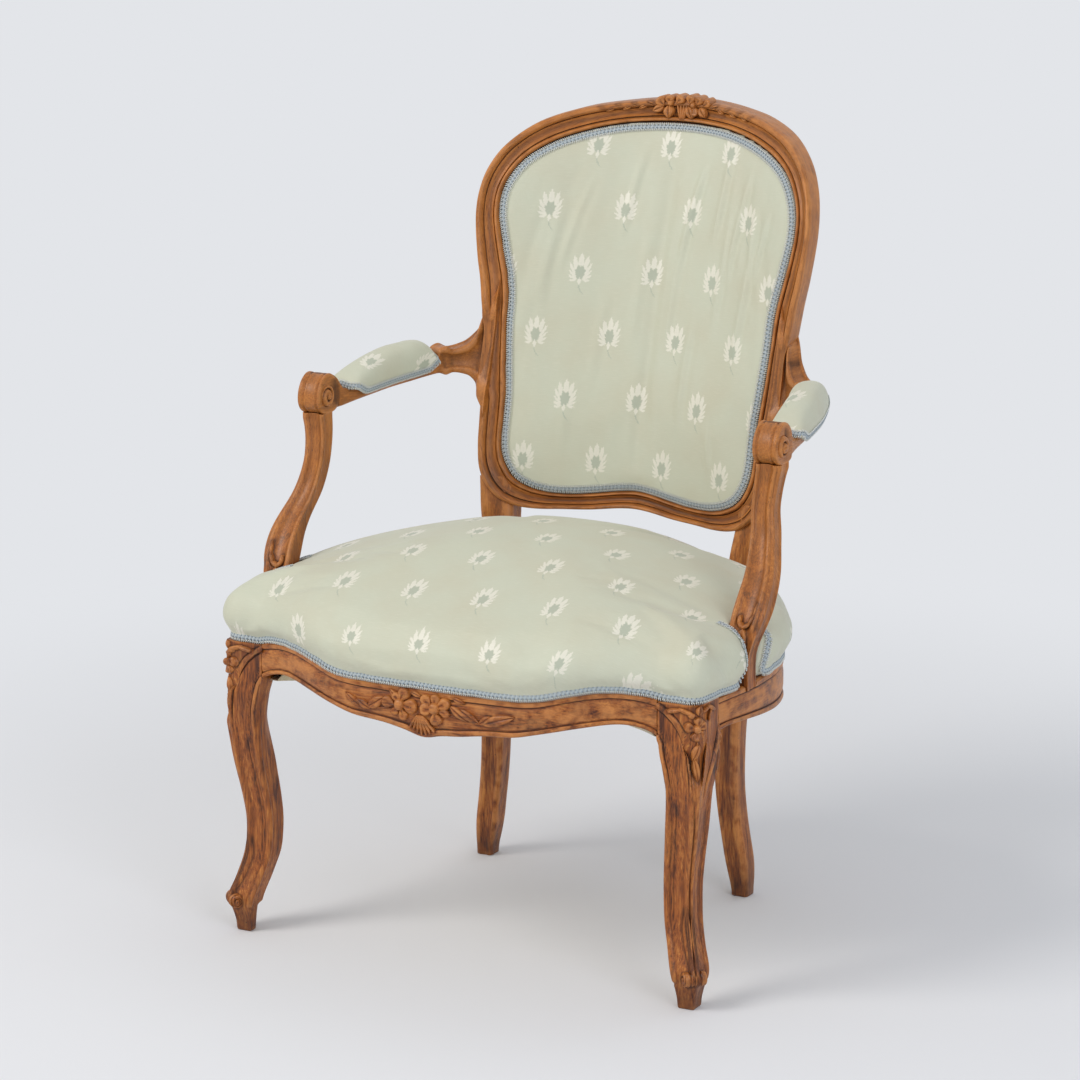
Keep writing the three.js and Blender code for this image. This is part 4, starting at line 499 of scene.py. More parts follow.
def carve_all(store, surface, shapes, **more):
    """Carves rows of kind, base, tip, width and height."""
    for row in shapes:
        carved(store, surface, *row, **more)


def scroll(store, centre, facing, up, radius, height, hand=1):
    """A round boss with a spiral cut in its face."""
    centre, facing, up = (np.array(v, float) for v in (centre, facing, up))
    across = np.cross(up, facing)
    r = np.r_[np.linspace(0.06, 1, 15), 1.03, 1.03][:, None]
    angle = np.linspace(0, 2 * np.pi, 48, endpoint=False)[None]
    wind = (hand * angle / (2 * np.pi) + r * 1.55 + 0.1) % 1.0
    cut = np.exp(-(((wind - 0.5) / 0.17) ** 2)) * smooth(0.2, 0.42, r)
    lift = height * (1 - 0.95 * cut) * (1 - 0.45 * smooth(0.78, 1.0, r))
    lift = lift + height * 0.5 * np.clip(1 - (r / 0.36) ** 2, 0, 1)
    # The last ring goes down into the wood
    lift[-2], lift[-1] = height * 0.3, -2.5
    flat = (r * np.cos(angle))[..., None] * across + (r * np.sin(angle))[..., None] * up
    add_shell(store, centre + flat * radius + lift[..., None] * facing)


def with_carving(obj, store, grain="x"):
    """Joins carved shells to a wooden piece, and notes the gaps between them as hollow, where the
    wood's finish paints shade.
    """
    points = np.array(store[0])
    shells = piece_from(
        "carving", points, store[1], {"grain": points[:, GRAIN_ORDER[grain]] * MM})
    low, high = points.min(axis=0) - 4, points.max(axis=0) + 4
    bpy.context.view_layer.update()
    for mesh_of, other, reach, most in ((shells, obj, 2.4, 0.62), (obj, shells, 3.4, 0.5)):
        co, _ = table_points(mesh_of)
        gaps = np.full(len(co), 99.0)
        for index in np.flatnonzero(((co > low) & (co < high)).all(axis=1)).tolist():
            place = mesh_of.data.vertices[index].co
            found, near, _, _ = other.closest_point_on_mesh(place, distance=reach * MM)
            if found:
                gaps[index] = (near - place).length / MM
        # Painted shade: the nearer the other mesh, the darker the wood is painted here
        store_values(mesh_of.data, "gap", most * smooth(reach, 0.3, gaps))
    bm = bmesh.new()
    bm.from_mesh(obj.data)
    bm.from_mesh(shells.data)
    bm.to_mesh(obj.data)
    bm.free()
    mesh = shells.data
    bpy.data.objects.remove(shells)
    bpy.data.meshes.remove(mesh)


# Materials

BACKGROUND = "#E3E5E9"
# Metres from the chair's middle where the floor starts and ends its fade
FADE_START, FADE_END = 0.55, 1.6


def colour(code):
    """Linear red, green, blue and alpha from an sRGB hex code."""
    parts = [int(code[i:i + 2], 16) / 255 for i in (1, 3, 5)]
    return tuple(
        c / 12.92 if c <= 0.04045 else ((c + 0.055) / 1.055) ** 2.4 for c in parts) + (1.0,)


def put(tree, kind, inputs=None, stops=None, **settings):
    """Adds a node, or a maths node named by its operation, with its settings, values and links."""
    is_maths = not kind.startswith(("ShaderNode", "GeometryNode", "FunctionNode", "NodeGroup"))
    node = tree.nodes.new("ShaderNodeMath" if is_maths else kind)
    if is_maths:
        node.operation = kind
    for key, value in settings.items():
        setattr(node, key, value)
    if not isinstance(inputs, dict):
        inputs = dict(enumerate(inputs or ()))
    for key, value in inputs.items():
        socket = node.inputs[key]
        if isinstance(value, bpy.types.Node):
            value = next(out for out in value.outputs if out.enabled)
        if isinstance(value, bpy.types.NodeSocket):
            tree.links.new(value, socket)
        else:
            socket.default_value = value
    if stops:
        ramp = node.color_ramp
        while len(ramp.elements) < len(stops):
            ramp.elements.new(0.5)
        for element, (place, tint) in zip(ramp.elements, stops):
            element.position = place
            element.color = tint
    return node


def object_place(tree):
    return put(tree, "ShaderNodeTexCoord").outputs["Object"]


def stored(tree, name, output="Vector"):
    return put(tree, "ShaderNodeAttribute", attribute_name=name).outputs[output]


def noise(tree, place, scale, detail, **more):
    return put(tree, "ShaderNodeTexNoise", {
        "Vector": place, "Scale": scale, "Detail": detail, **more})


def stretch(tree, place, scale):
    return put(tree, "ShaderNodeMapping", {"Vector": place, "Scale": scale})


def remap(tree, value, low, high, top=1.0, base=0.0, **settings):
    """Base where the value is low, top where it is high, and even steps between."""
    return put(tree, "ShaderNodeMapRange", {
        "Value": value, "From Min": low, "From Max": high, "To Min": base, "To Max": top},
        **settings)


def blend(tree, share, under, over):
    return put(tree, "ShaderNodeMix", {0: share, 6: under, 7: over}, data_type="RGBA")


def two_tones(tree, value, low, dark, high, light):
    return put(tree, "ShaderNodeValToRGB", {"Fac": value}, stops=[(low, dark), (high, light)])


def relief(tree, height, strength, distance):
    return put(tree, "ShaderNodeBump", {
        "Strength": strength, "Distance": distance, "Height": height})


def start_material(name):
    """A material and its empty node tree, or the finished material and no tree."""
    found = bpy.data.materials.get(name)
    if found:
        return found, None
    material = bpy.data.materials.new(name)
    material.use_nodes = True
    material.node_tree.nodes.clear()
    return material, material.node_tree


def principled(tree, base, roughness, bump=None, **extra):
    """The one shader of a finish. Extra inputs are constants on the shader's own sockets."""
    inputs = {"Base Color": base, "Roughness": roughness}
    if bump is not None:
        inputs["Normal"] = bump
    inputs.update({key.replace("_", " "): value for key, value in extra.items()})
    return put(tree, "ShaderNodeBsdfPrincipled", inputs)


def finish_shader(tree, base, roughness, bump=None, **extra):
    shader = principled(tree, base, roughness, bump, **extra)
    put(tree, "ShaderNodeOutputMaterial", {"Surface": shader})


def walnut():
    """Waxed old walnut: streaks along the grain, dark pores, painted shade in the hollows and in
    the gaps round the carving, rubbed light edges, and painted light on the upper wood.
    """
    material, tree = start_material("waxed_walnut")
    if tree is None:
        return material
    wood = bpy.context.scene.armchair_wood
    dark, mid, light = (tuple(c) + (1.0,) for c in (wood.dark, wood.mid, wood.light))
    between = tuple(mix(np.array(dark), np.array(mid), 0.55))
    grain, hollow, place = stored(tree, "grain"), stored(tree, "hollow", "Fac"), object_place(tree)
    level = put(tree, "ShaderNodeSeparateXYZ", {0: place}).outputs[2]

    def op(kind, *values):
        return put(tree, kind, values)

    # Growth figure some centimetres long, then streaks of one or two millimetres
    long_grain = stretch(tree, grain, (1, 1, 0.07))
    figure = noise(tree, long_grain, 85.0, 4.0, Roughness=0.6, Distortion=0.8)
    streaks = noise(tree, long_grain, 520.0, 3.0, Roughness=0.65)
    base = put(tree, "ShaderNodeValToRGB", {
        "Fac": op("ADD", op("MULTIPLY", figure, 0.48), op("MULTIPLY", streaks, 0.52))}, stops=[
        (0.385, dark), (0.45, between), (0.51, mid), (0.65, light)])
    # Browner and purplish areas a hand wide, as old wax and wear leave them
    patches = noise(tree, place, 21.0, 4.0, Roughness=0.6)
    browner = remap(tree, patches, 0.48, 0.7, 0.5)
    # Painted light: the arms and the back are lighter and more golden than the legs, as more light
    # falls on the upper wood; random patches add to it
    painted_upper_light_and_patches = op("ADD", remap(tree, level, 0.34, 0.5, 0.42), remap(tree, patches, 0.46, 0.30, 0.3))
    # Pores a third of a millimetre wide and some millimetres long
    pores = noise(tree, stretch(tree, grain, (1, 1, 0.09)), 1500.0, 1.0)
    pore = remap(tree, pores, 0.60, 0.70, 0.6)
    # Woodworm holes about a millimetre wide, a few to a hand's breadth
    worm = put(tree, "ShaderNodeTexVoronoi", {"Vector": place, "Scale": 95.0})
    chance = put(tree, "ShaderNodeSeparateColor", {0: worm.outputs["Color"]})
    hole = op("MULTIPLY", op("LESS_THAN", worm.outputs["Distance"], 0.08),
              op("GREATER_THAN", chance.outputs[0], 0.9))
    # Painted shade in the cuts and in the gaps round the carving, and edges rubbed lighter by hands
    mottle = noise(tree, place, 70.0, 4.0)
    painted_cut_shade = remap(tree, hollow, 0.05, 0.7, 0.86)
    rubbed = op("MULTIPLY", remap(tree, hollow, -0.1, -0.6, 0.6), remap(tree, mottle, 0.36, 0.6))
    # The wood is darker in the lowest few centimetres of the feet
    foot = remap(tree, level, 0.045, 0.012, 0.55)
    # The blends paint shade into the hollows and light onto the upper wood
    for share, over in (
            (browner, colour("#5E3421")), (painted_upper_light_and_patches, light), (pore, dark),
            (hole, colour("#1C0F0A")), (painted_cut_shade, colour("#301A0E")), (rubbed, colour("#CE8A4C")),
            (foot, colour("#3A1E13"))):
        base = blend(tree, share, base, over)
    roughness = remap(tree, op("ADD", mottle, painted_cut_shade), 0.3, 1.3, 0.7, 0.36)
    deep = op("ADD", pore, op("MULTIPLY", hole, 4.0))
    height = op("SUBTRACT", op("MULTIPLY", streaks, 0.6), deep)
    finish_shader(tree, base, roughness, relief(tree, height, 0.6, 0.00025), Coat_Weight=0.08,
                  Coat_Roughness=0.2, Specular_IOR_Level=0.36)
    return material


def plain_wood(name, code, dark_code):
    """Unwaxed wood of hidden blocks or of the pegs' end grain."""
    material, tree = start_material(name)
    if tree is None:
        return material
    streaks = noise(tree, stretch(tree, object_place(tree), (1, 0.1, 1)), 300.0, 4.0)
    base = two_tones(tree, streaks, 0.35, colour(dark_code), 0.65, colour(code))
    finish_shader(tree, base, 0.6, relief(tree, streaks, 0.3, 0.0003))
    return material


def damask():
    """Silk damask: a sage ground with cream leaf sprigs in a half-drop repeat."""
    material, tree = start_material("silk_damask")
    if tree is None:
        return material
    cloth = bpy.context.scene.armchair_cloth
    ground, cream, shade = (tuple(c) + (1.0,) for c in (cloth.ground, cloth.cream, cloth.shade))

    def op(kind, *values):
        return put(tree, kind, values)

    def times(*values):
        product = values[0]
        for value in values[1:]:
            product = op("MULTIPLY", product, value)
        return product

    def less(a, b):
        return op("SUBTRACT", a, b)

    def vector(operation, **inputs):
        return put(tree, "ShaderNodeVectorMath", {
            {"a": 0, "b": 1, "scale": "Scale"}[key]: value for key, value in inputs.items()},
            operation=operation)

    def ramp(value, low, high, top=1.0):
        return remap(tree, value, low, high, top)

    weave = stored(tree, "weave")
    # Feathered edges of the woven strokes, about half a millimetre
    wander = noise(tree, weave, 520.0, 2.0).outputs["Color"]
    moved = vector("ADD", a=weave, b=vector(
        "SCALE", a=vector("SUBTRACT", a=wander, b=(0.5, 0.5, 0.5)), scale=0.0035))
    parts = put(tree, "ShaderNodeSeparateXYZ", {0: moved})
    across = op("DIVIDE", parts.outputs[0], cloth.repeat_width)
    rows = op("DIVIDE", parts.outputs[1], cloth.repeat_height)
    drop = times(op("FLOORED_MODULO", op("FLOOR", rows), 2.0), 0.5)
    # Place inside one repeat, in millimetres from the middle of the sprig
    x = times(less(op("FRACT", op("ADD", across, drop)), 0.5), cloth.repeat_width / MM)
    y = times(less(op("FRACT", rows), 0.5), cloth.repeat_height / MM)
    # The leaf is drawn about a point near its foot: how far round from upright, and how far out
    up = op("ADD", y, 5.0)
    turn = op("ABSOLUTE", op("ARCTAN2", x, up))
    out = op("SQRT", op("ADD", times(x, x), times(up, up)))
    upright = op("COSINE", turn)
    tall = times(op("POWER", op("MAXIMUM", upright, 0.0), 2.6), 14.5)
    squat = op("MAXIMUM", times(upright, -1.0), 0.0)
    share = op("DIVIDE", out, less(op("ADD", tall, 13.6), squat))
    # Blades lean upwards as they go out, part at their tips and end in small teeth
    swept = op("ADD", turn, times(less(share, 0.5), 0.75, op("SINE", turn)))

    def wave(step):
        turns = op("FRACT", op("ADD", op("DIVIDE", swept, step), 0.5))
        return times(op("ABSOLUTE", less(turns, 0.5)), 2.0)

    blade = wave(0.46)
    parted = times(ramp(share, 0.56, 1.0), 0.62)
    body = ramp(less(less(1.0, blade), parted), -0.04, 0.07)
    rim = less(1.02, op("ADD", times(blade, 0.14), times(wave(0.153), 0.09)))
    inner = op("ADD", times(op("MAXIMUM", upright, 0.0), 0.14),
               op("ADD", 0.23, times(blade, 0.12)))
    fan = times(body, ramp(less(rim, share), 0.0, 0.04), ramp(less(share, inner), 0.0, 0.05),
                ramp(turn, 2.5, 2.3))
    # A pale flame at the foot, a shaded almond in the middle and a hooked stem below
    flame = ramp(op("ADD", op("ABSOLUTE", times(x, 0.36)),
                    op("ABSOLUTE", times(op("ADD", y, 11.0), 0.17))), 1.0, 0.75)
    almond = times(ramp(less(inner, share), -0.03, 0.03), ramp(y, -13.0, -9.0))
    rib = times(ramp(op("ABSOLUTE", x), 0.8, 0.3, 0.6), ramp(share, 0.8, 0.66))
    low = op("ADD", y, 15.0)
    hook = times(ramp(op("ABSOLUTE", less(x, times(low, low, 0.05))), 1.1, 0.4),
                 ramp(y, -14.0, -16.0), ramp(y, -27.0, -24.0))
    pale = op("MAXIMUM", fan, flame)
    # Slubs: threads across the cloth that are a little thicker here and there
    slubs = noise(tree, stretch(tree, weave, (0.06, 1, 1)), 1400.0, 2.0)
    cloud = noise(tree, weave, 14.0, 3.0)
    tone = ground
    for amount, over in (
            (ramp(cloud, 0.38, 0.7, 0.45), colour("#C3BDA4")), (ramp(slubs, 0.5, 0.8, 0.22), cream),
            (times(op("MAXIMUM", almond, op("MAXIMUM", hook, rib)), 0.7), shade),
            (times(pale, op("ADD", times(slubs, 0.35), 0.62)), cream)):
        tone = blend(tree, amount, tone, over)
    roughness = remap(tree, pale, 0.0, 1.0, 0.42, 0.6)
    threads = op("ADD", times(slubs, 0.6), times(pale, 0.5))
    finish_shader(tree, tone, roughness, relief(tree, threads, 0.35, 0.0003), Sheen_Weight=0.2,
                  Sheen_Roughness=0.4, Specular_IOR_Level=0.4)
    return material


def plain_cloth(name, code, dark_code, pitch):
    """Plain woven cloth, such as the undyed cotton under the seat."""
    material, tree = start_material(name)
    if tree is None:
        return material
    place = object_place(tree)
    parts = put(tree, "ShaderNodeSeparateXYZ", {0: place})

    def threads(value):
        return put(tree, "SINE", (put(tree, "MULTIPLY", (value, 2 * math.pi / pitch)),))

    weft = threads(parts.outputs[0])
    warp = threads(put(tree, "ADD", (parts.outputs[1], parts.outputs[2])))
    checker = put(tree, "MULTIPLY", (weft, warp))
    blotch = noise(tree, place, 30.0, 4.0)
    value = put(tree, "ADD", (put(tree, "MULTIPLY", (checker, 0.12)), blotch))
    base = two_tones(tree, value, 0.35, colour(dark_code), 0.65, colour(code))
    finish_shader(tree, base, 0.9, relief(tree, checker, 0.4, 0.0003), Sheen_Weight=0.1)
    return material


def braid_material(name, code, dark_code):
    """Cotton braid: fine twisted threads that catch the light unevenly."""
    material, tree = start_material(name)
    if tree is None:
        return material
    fibres = noise(tree, object_place(tree), 1600.0, 2.0)
    base = two_tones(tree, fibres, 0.32, colour(dark_code), 0.62, colour(code))
    finish_shader(tree, base, 0.85, relief(tree, fibres, 0.5, 0.0002), Sheen_Weight=0.2)
    return material


def seen(tree):
    """1 where the camera looks, straight or by way of a reflection or glass."""
    path = put(tree, "ShaderNodeLightPath")
    share = path.outputs["Is Camera Ray"]
    for name in ("Is Glossy Ray", "Is Transmission Ray"):
        share = put(tree, "MAXIMUM", (share, path.outputs[name]))
    return share


def pale_paper():
    """Matt paper of the studio floor, which fades into the background away from the chair."""
    material, tree = start_material("pale_paper")
    if tree is None:
        return material
    away = put(tree, "ShaderNodeVectorMath", {0: object_place(tree)}, operation="LENGTH")
    fade = remap(
        tree, away.outputs["Value"], FADE_START, FADE_END, interpolation_type="SMOOTHSTEP")
    share = put(tree, "MULTIPLY", (fade, seen(tree)))
    paper = principled(tree, colour("#E6E8EB"), 0.9, Specular_IOR_Level=0.2)
    glow = put(tree, "ShaderNodeEmission", {"Color": colour(BACKGROUND)})
    both = put(tree, "ShaderNodeMixShader", {0: share, 1: paper, 2: glow})
    put(tree, "ShaderNodeOutputMaterial", {"Surface": both})
    return material


# Wooden pieces


def moulding_section():
    """The moulding across its width, with a bead on each edge and a hollow between.

    Each row is a share of the width from the inner edge, and a share of the depth behind the
    face.
    """
    rows = []
    for t in np.linspace(0, 1, 13):
        w = 0.2 * (1 - math.cos(math.pi * t)) / 2
        rows.append((w, 0.05 - 0.15 * math.sqrt(max(0, 1 - ((w - 0.1) / 0.1) ** 2))))
    rows += [(0.215, 0.075), (0.235, 0.07)]
    for t in np.linspace(0, 1, 12):
        rows.append((0.26 + 0.36 * t, 0.02 + 0.075 * math.sin(math.pi * t)))
    rows += [(0.645, 0.06), (0.66, 0.065)]
    for t in np.linspace(0, 1, 15):
        w = 0.675 + 0.30 * (1 - math.cos(math.pi * t)) / 2
        rows.append((w, 0.05 - 0.17 * math.sqrt(max(0, 1 - ((w - 0.825) / 0.15) ** 2))))
    rows += [(0.99, 0.09), (1, 0.14), (1.0, 0.3), (1, 0.5), (1, 0.7), (1, 0.86), (0.98, 0.94),
             (0.93, 0.985), (0.86, 1), (0.6, 1), (0.35, 1), (0.12, 1), (0.04, 0.985), (0, 0.95),
             (0, 0.82)]
    # Ledge that the webbing is tacked to, behind the panel
    rows += [(-0.02, 0.81), (-0.3, 0.81), (-0.55, 0.81), (-0.56, 0.6), (-0.55, 0.3), (-0.3, 0.29),
             (-0.02, 0.28), (0, 0.2), (0, 0.1)]
    return np.array(rows)


def frame_loop():
    """Inner and outer edge of the back frame all the way round, from the middle of the foot."""
    low = [((x, top), (x, bottom)) for x, top, bottom in LOWER_ROWS[:4]]
    corner = [
        ((112, 446), (114, 424.9)), ((132, 452.3), (137, 427)), ((146.5, 462), (158, 434.5)),
        ((155.5, 475), (174, 449.5)), ((161.3, 490), (183.8, 470)), ((163.4, 508), (188, 497)),
        ((163.7, 529.7), (189.3, 527))]
    side = [((inner, z), (outer, z)) for z, inner, outer in STILE_ROWS[4:]]
    crest = [((a, b), (c, d)) for a, b, c, d in CREST_ROWS]
    half = low + corner + side + crest
    other = [((-a, b), (-c, d)) for (a, b), (c, d) in half[1:-1]][::-1]
    rows = np.array([[*inner, *outer] for inner, outer in half + other])
    return spline(rows, 1400, closed=True)


def back_frame():
    """The moulded frame of the back, one carved loop with a ledge inside it."""
    path = frame_loop()
    # Rings 1 mm apart where the crest is carved, and 3.6 mm elsewhere
    middle = (path[:, :2] + path[:, 2:]) / 2
    step = np.linalg.norm(np.roll(middle, -1, axis=0) - middle, axis=1)
    on_crest = (np.abs(middle[:, 0]) < 112) & (middle[:, 1] > 850)
    run = np.r_[0, np.cumsum(step * np.where(on_crest, 1, 1 / 3.6))]
    count = int(run[-1])
    fine = at_places(np.linspace(0, run[-1], count + 1)[:-1], run, np.vstack([path, path[:1]]))
    section = moulding_section()
    width = np.linalg.norm(fine[:, 2:] - fine[:, :2], axis=1)
    # The ledge reaches 15 mm inwards
    ledge = np.minimum(1, 15 / 0.55 / width)
    length = run_along(fine[:, :2])
    grid = np.empty((count, len(section), 3))
    along = np.empty_like(grid)
    for k, (w, d) in enumerate(section):
        share = np.where(w < 0, w * ledge, w)
        x = mix(fine[:, 0], fine[:, 2], share)
        z = mix(fine[:, 1], fine[:, 3], share)
        if 0.66 < w < 1 and d < 0.2:
            # The outer bead flows out into the arm
            d = mix(d, 0.03, smooth(552, 572, z) * smooth(668, 640, z) * (np.abs(x) > 150))
        grid[:, k] = np.stack([x, back_face(x, z) + d * FRAME_DEPTH, z], axis=1)
        along[:, k] = np.stack([share * width, np.full(count, d * FRAME_DEPTH), length], axis=1)
    obj = lofted("back_frame", grid, closed=True)
    # The grain follows the frame round
    store_values(obj.data, "grain", along.reshape(-1, 3) * MM)
    carve_crest(obj)
    return finish_wood(obj, (
        "crest_rail", "lower_back_rail", "back_post_left", "back_post_right"))


CREST_SHAPES = (
    ("petal", (-10, 893), (-4, 900.5), 11, 6.0), ("petal", (-18, 892), (-20, 901), 9, 6.4),
    ("petal", (-25, 890), (-33, 898), 11, 5.2), ("leaf", (-20, 890.5), (-18.5, 878.5), 10, 5.2),
    ("leaf", (-26, 889), (-36, 884.5), 7.5, 4.4), ("petal", (6, 893), (8, 902.5), 11, 6.2),
    ("petal", (16, 892.5), (20, 901), 11, 6.0), ("leaf", (4, 890.5), (10.5, 879), 9, 5.4),
    ("petal", (13, 891), (14, 881.5), 9, 4.6), ("leaf", (20, 890), (27.5, 881.5), 8.5, 5.0),
    ("petal", (25, 892), (33, 897.5), 9.5, 5.0), ("bud", (-17, 890), (-17, 896), 6, 6.8),
    ("bud", (12, 889), (12, 895.5), 6, 6.8))


def carve_crest(obj):
    """Two opened flowers over a bundle of stems, with sprigs along the outer bead."""
    store = ([], [])

    def surface(p, h):
        return np.stack([p[:, 0], back_face(p[:, 0], p[:, 1]) - 0.5 - h, p[:, 1]], axis=1)

    for kind, base, tip, width, height in CREST_SHAPES:
        base, tip = np.array(base), np.array(tip)
        # Shapes that point down are lengthened most
        tip = base + (tip - base) * (1.12 if tip[1] > base[1] else 1.25)
        carved(store, surface, kind, base, tip, width * 1.2, height * 1.15, sink=13)
    for x in (-9.5, -5.5, -1.5, 2.5):
        carved(store, surface, "stem", (x, 892), (-1.6 + (x + 3.5) * 0.35, 874.5), 3.4, 3.6)
    for side in (-1, 1):
        for k, x in enumerate(range(41, 96, 9)):
            level = float(np.interp(x, [31, 78, 121], [891.5, 886.5, 879.5])) + (1.5, -1.5)[k % 2]
            carved(store, surface, "leaf", (side * (x - 5), level - (2, -2)[k % 2]),
                   (side * (x + 5), level + (1.2, -2.6)[k % 2]), 4.6 - 0.2 * k, 4.4 - 0.25 * k)
    with_carving(obj, store)


def post_grid():
    rows = eased([list(row) for row in POST_ROWS], 26)
    heights = np.linspace(0, POST_ROWS[-1][0], 150)
    section = ring_at([
        (0, 0.12), (0.06, 0.03), (0.2, 0), (0.36, 0.03), (0.6, 0.03), (0.78, 0), (0.9, 0.03),
        (0.97, 0.09), (1, 0.2), (1, 0.84), (0.95, 0.95), (0.86, 1), (0.5, 1), (0.14, 1),
        (0.04, 0.95), (0, 0.85), (0, 0.5)], 56)
    grid = np.empty((len(heights), len(section), 3))
    for i, z in enumerate(heights):
        inner, outer, front, depth, is_frame = rows(z)
        x = mix(inner, outer, section[:, 0])
        face = mix(front, back_face(x, z) + 1.5, is_frame)
        grid[i] = np.stack([x, face + section[:, 1] * depth, np.full(len(x), z)], axis=1)
    # The foot is eased where it meets the floor
    grid[0, :, :2] = mix(grid[0, :, :2].mean(axis=0), grid[0, :, :2], 0.9)
    grid[0, :, 2] = 0
    grid[1, :, 2] = 1.0
    return grid


def rear_posts():
    """The rear legs, which rise behind the corners of the back frame."""
    left = lofted("rear_post_left", post_grid())
    co, no = table_points(left)
    # An edge line runs down the front face to a little above the floor
    middle = np.interp(co[:, 2], [0, 145, 290, 430], [163, 144, 149, 151])
    groove = -0.8 * np.exp(-(((co[:, 0] - middle) / 0.9) ** 2))
    groove = groove * (no[:, 1] < -0.6) * smooth(8, 20, co[:, 2])
    set_points(left, co + no * groove[:, None])
    return both_sides(left, "rear_post_right", "back_post_left", "back_post_right")


RAIL_SECTION = [
    (0.45, 0), (0.2, 0), (0.06, 0.015), (0.015, 0.05), (0.0, 0.09), (0.012, 0.13), (0.05, 0.15),
    (0.075, 0.168), (0.062, 0.195), (0.036, 0.25), (0.02, 0.34), (0.012, 0.46), (0.014, 0.56),
    (0.03, 0.67), (0.05, 0.75), (0.078, 0.802), (0.084, 0.822), (0.045, 0.845), (0.015, 0.88),
    (0.014, 0.93), (0.045, 0.975), (0.1, 1.0), (0.3, 1.0)]


def rail_grid(faces, outs, bottoms, tops, thick, count=52):
    """Rings of a rail's section along its face line, with the flat for the webbing inside."""
    front = spline([(d * thick, s) for d, s in RAIL_SECTION], count)
    flat = RAIL_TOP - 6
    grid = np.empty((len(faces), count + 8, 3))
    for i, (face, out, low, high) in enumerate(zip(faces, outs, bottoms, tops)):
        depth = list(front[:, 0]) + [
            10, 10, thick * 0.6, thick, thick, thick, thick * 0.8, thick * 0.6]
        level = list(mix(low, high, front[:, 1])) + [
            high - 1, flat, flat, flat, mix(low, flat, 0.6), low, low, low]
        grid[i, :, :2] = face[None] - np.array(depth)[:, None] * out[None]
        grid[i, :, 2] = level
    return grid


RAIL_SHAPES = (
    ("stem", (-48, 309), (-92, 306.5), 2.6, 2.4), ("stem", (22, 310), (70, 305.5), 2.6, 2.4),
    ("leaf", (-88, 306), (-107.5, 319), 8, 3.8), ("leaf", (-75, 304.5), (-93, 314), 9, 4.2),
    ("leaf", (-78.5, 306.5), (-57, 320.5), 12, 5.0), ("leaf", (-40, 322), (-51, 331), 6, 4.0),
    ("petal", (-44, 314), (-60, 317), 14, 4.8), ("petal", (-37, 319), (-29, 334), 14, 5.6),
    ("petal", (-35, 316), (-15.5, 313), 17, 6.0), ("petal", (-36, 311), (-31, 298), 12, 5.0),
    ("petal", (-40, 312), (-46, 303), 10, 4.4), ("petal", (-38, 318), (-45, 327), 11, 5.0),
    ("bud", (-38, 308.5), (-37, 322), 12, 7.6),
    ("petal", (2, 318), (-10, 328.5), 13, 5.2), ("petal", (5, 319), (8.5, 332), 12, 5.4),
    ("petal", (8, 317), (24, 325.5), 14, 5.6), ("petal", (4, 315), (-12, 313), 15, 5.8),
    ("petal", (6, 312), (9, 297.5), 15, 5.8), ("petal", (10, 314), (24.5, 311), 10, 4.8),
    ("bud", (5.5, 309.5), (6.5, 323), 12, 7.8),
    ("leaf", (24, 321), (46.5, 306), 9, 4.4), ("leaf", (36, 319), (61, 304.5), 9.5, 4.4),
    ("leaf", (59, 305), (75, 316), 8.5, 4.0), ("leaf", (62, 305.5), (102, 318), 12.5, 4.6),
    ("leaf", (-24, 331), (-10, 326.5), 6, 3.2), ("leaf", (27, 330), (42, 326), 6, 3.0))


def front_rail():
    """The front seat rail, with two flowers and leafy sprays over a fan of stems."""
    x = np.linspace(-244.7, 244.7, 260)
    faces = np.stack([x, front_y(x)], axis=1)
    outs = np.broadcast_to([0.0, -1.0], faces.shape)
    # The underside drops to a small shell below the flowers
    shell = 4.5 * np.exp(-(((x + 10) / 17) ** 2))
    bottoms = RAIL_TOP - FRONT_DROP(np.abs(x))[:, 0] - shell
    tops = RAIL_TOP + FRONT_WAVE(np.abs(x))[:, 0]
    grid = rail_grid(faces, outs, bottoms, tops, 32, count=72)
    obj = lofted("front_rail", grid, grain="x")
    store = ([], [])

    def surface(p, h):
        return np.stack([p[:, 0], front_y(p[:, 0]) + 1.8 - h, p[:, 1]], axis=1)

    carve_all(store, surface, RAIL_SHAPES)
    for foot, low in ((-25, 291), (-20.5, 288), (-15.5, 286), (-10, 284.6), (-4.5, 285.2),
                      (0.5, 287), (5.5, 289.5)):
        carved(store, surface, "stem", (-12.5 + (foot + 11) * 0.2, 306), (foot, low), 4.2, 4.2)
    with_carving(obj, store)
    return finish_wood(obj, ("front_seat_rail",))


def side_rails():
    """The side seat rails, which sweep in from the front legs to the rear posts."""
    line = spline(SIDE_LINE, 260)
    tangent = units(np.gradient(line, axis=0))
    outs = np.stack([tangent[:, 1], -tangent[:, 0]], axis=1)
    t = np.linspace(0, 1, len(line))
    start, end = smooth(0.03, 0, t)[:, None], smooth(0.96, 1, t)[:, None]
    outs = units(mix(mix(outs, np.array([1.0, 0.0]), start), np.array([0.0, 1.0]), end))
    bottoms = RAIL_TOP - SIDE_DROP(t)[:, 0]
    grid = rail_grid(line, outs, bottoms, np.full(len(t), RAIL_TOP), 32)
    left = lofted("side_rail_left", grid, grain="y")
    # The support's foot stands in a notch of the rail's top
    co, _ = table_points(left)
    notch = SUPPORT_FOOT - 0.1
    inside = (np.abs(co[:, 1] - SUPPORT_Y) < 13.4) & (co[:, 0] > 279) & (co[:, 2] > notch)
    co[inside, 2] = notch
    set_points(left, co)
    return both_sides(
        left, "side_rail_right", "side_seat_rail_left", "side_seat_rail_right")


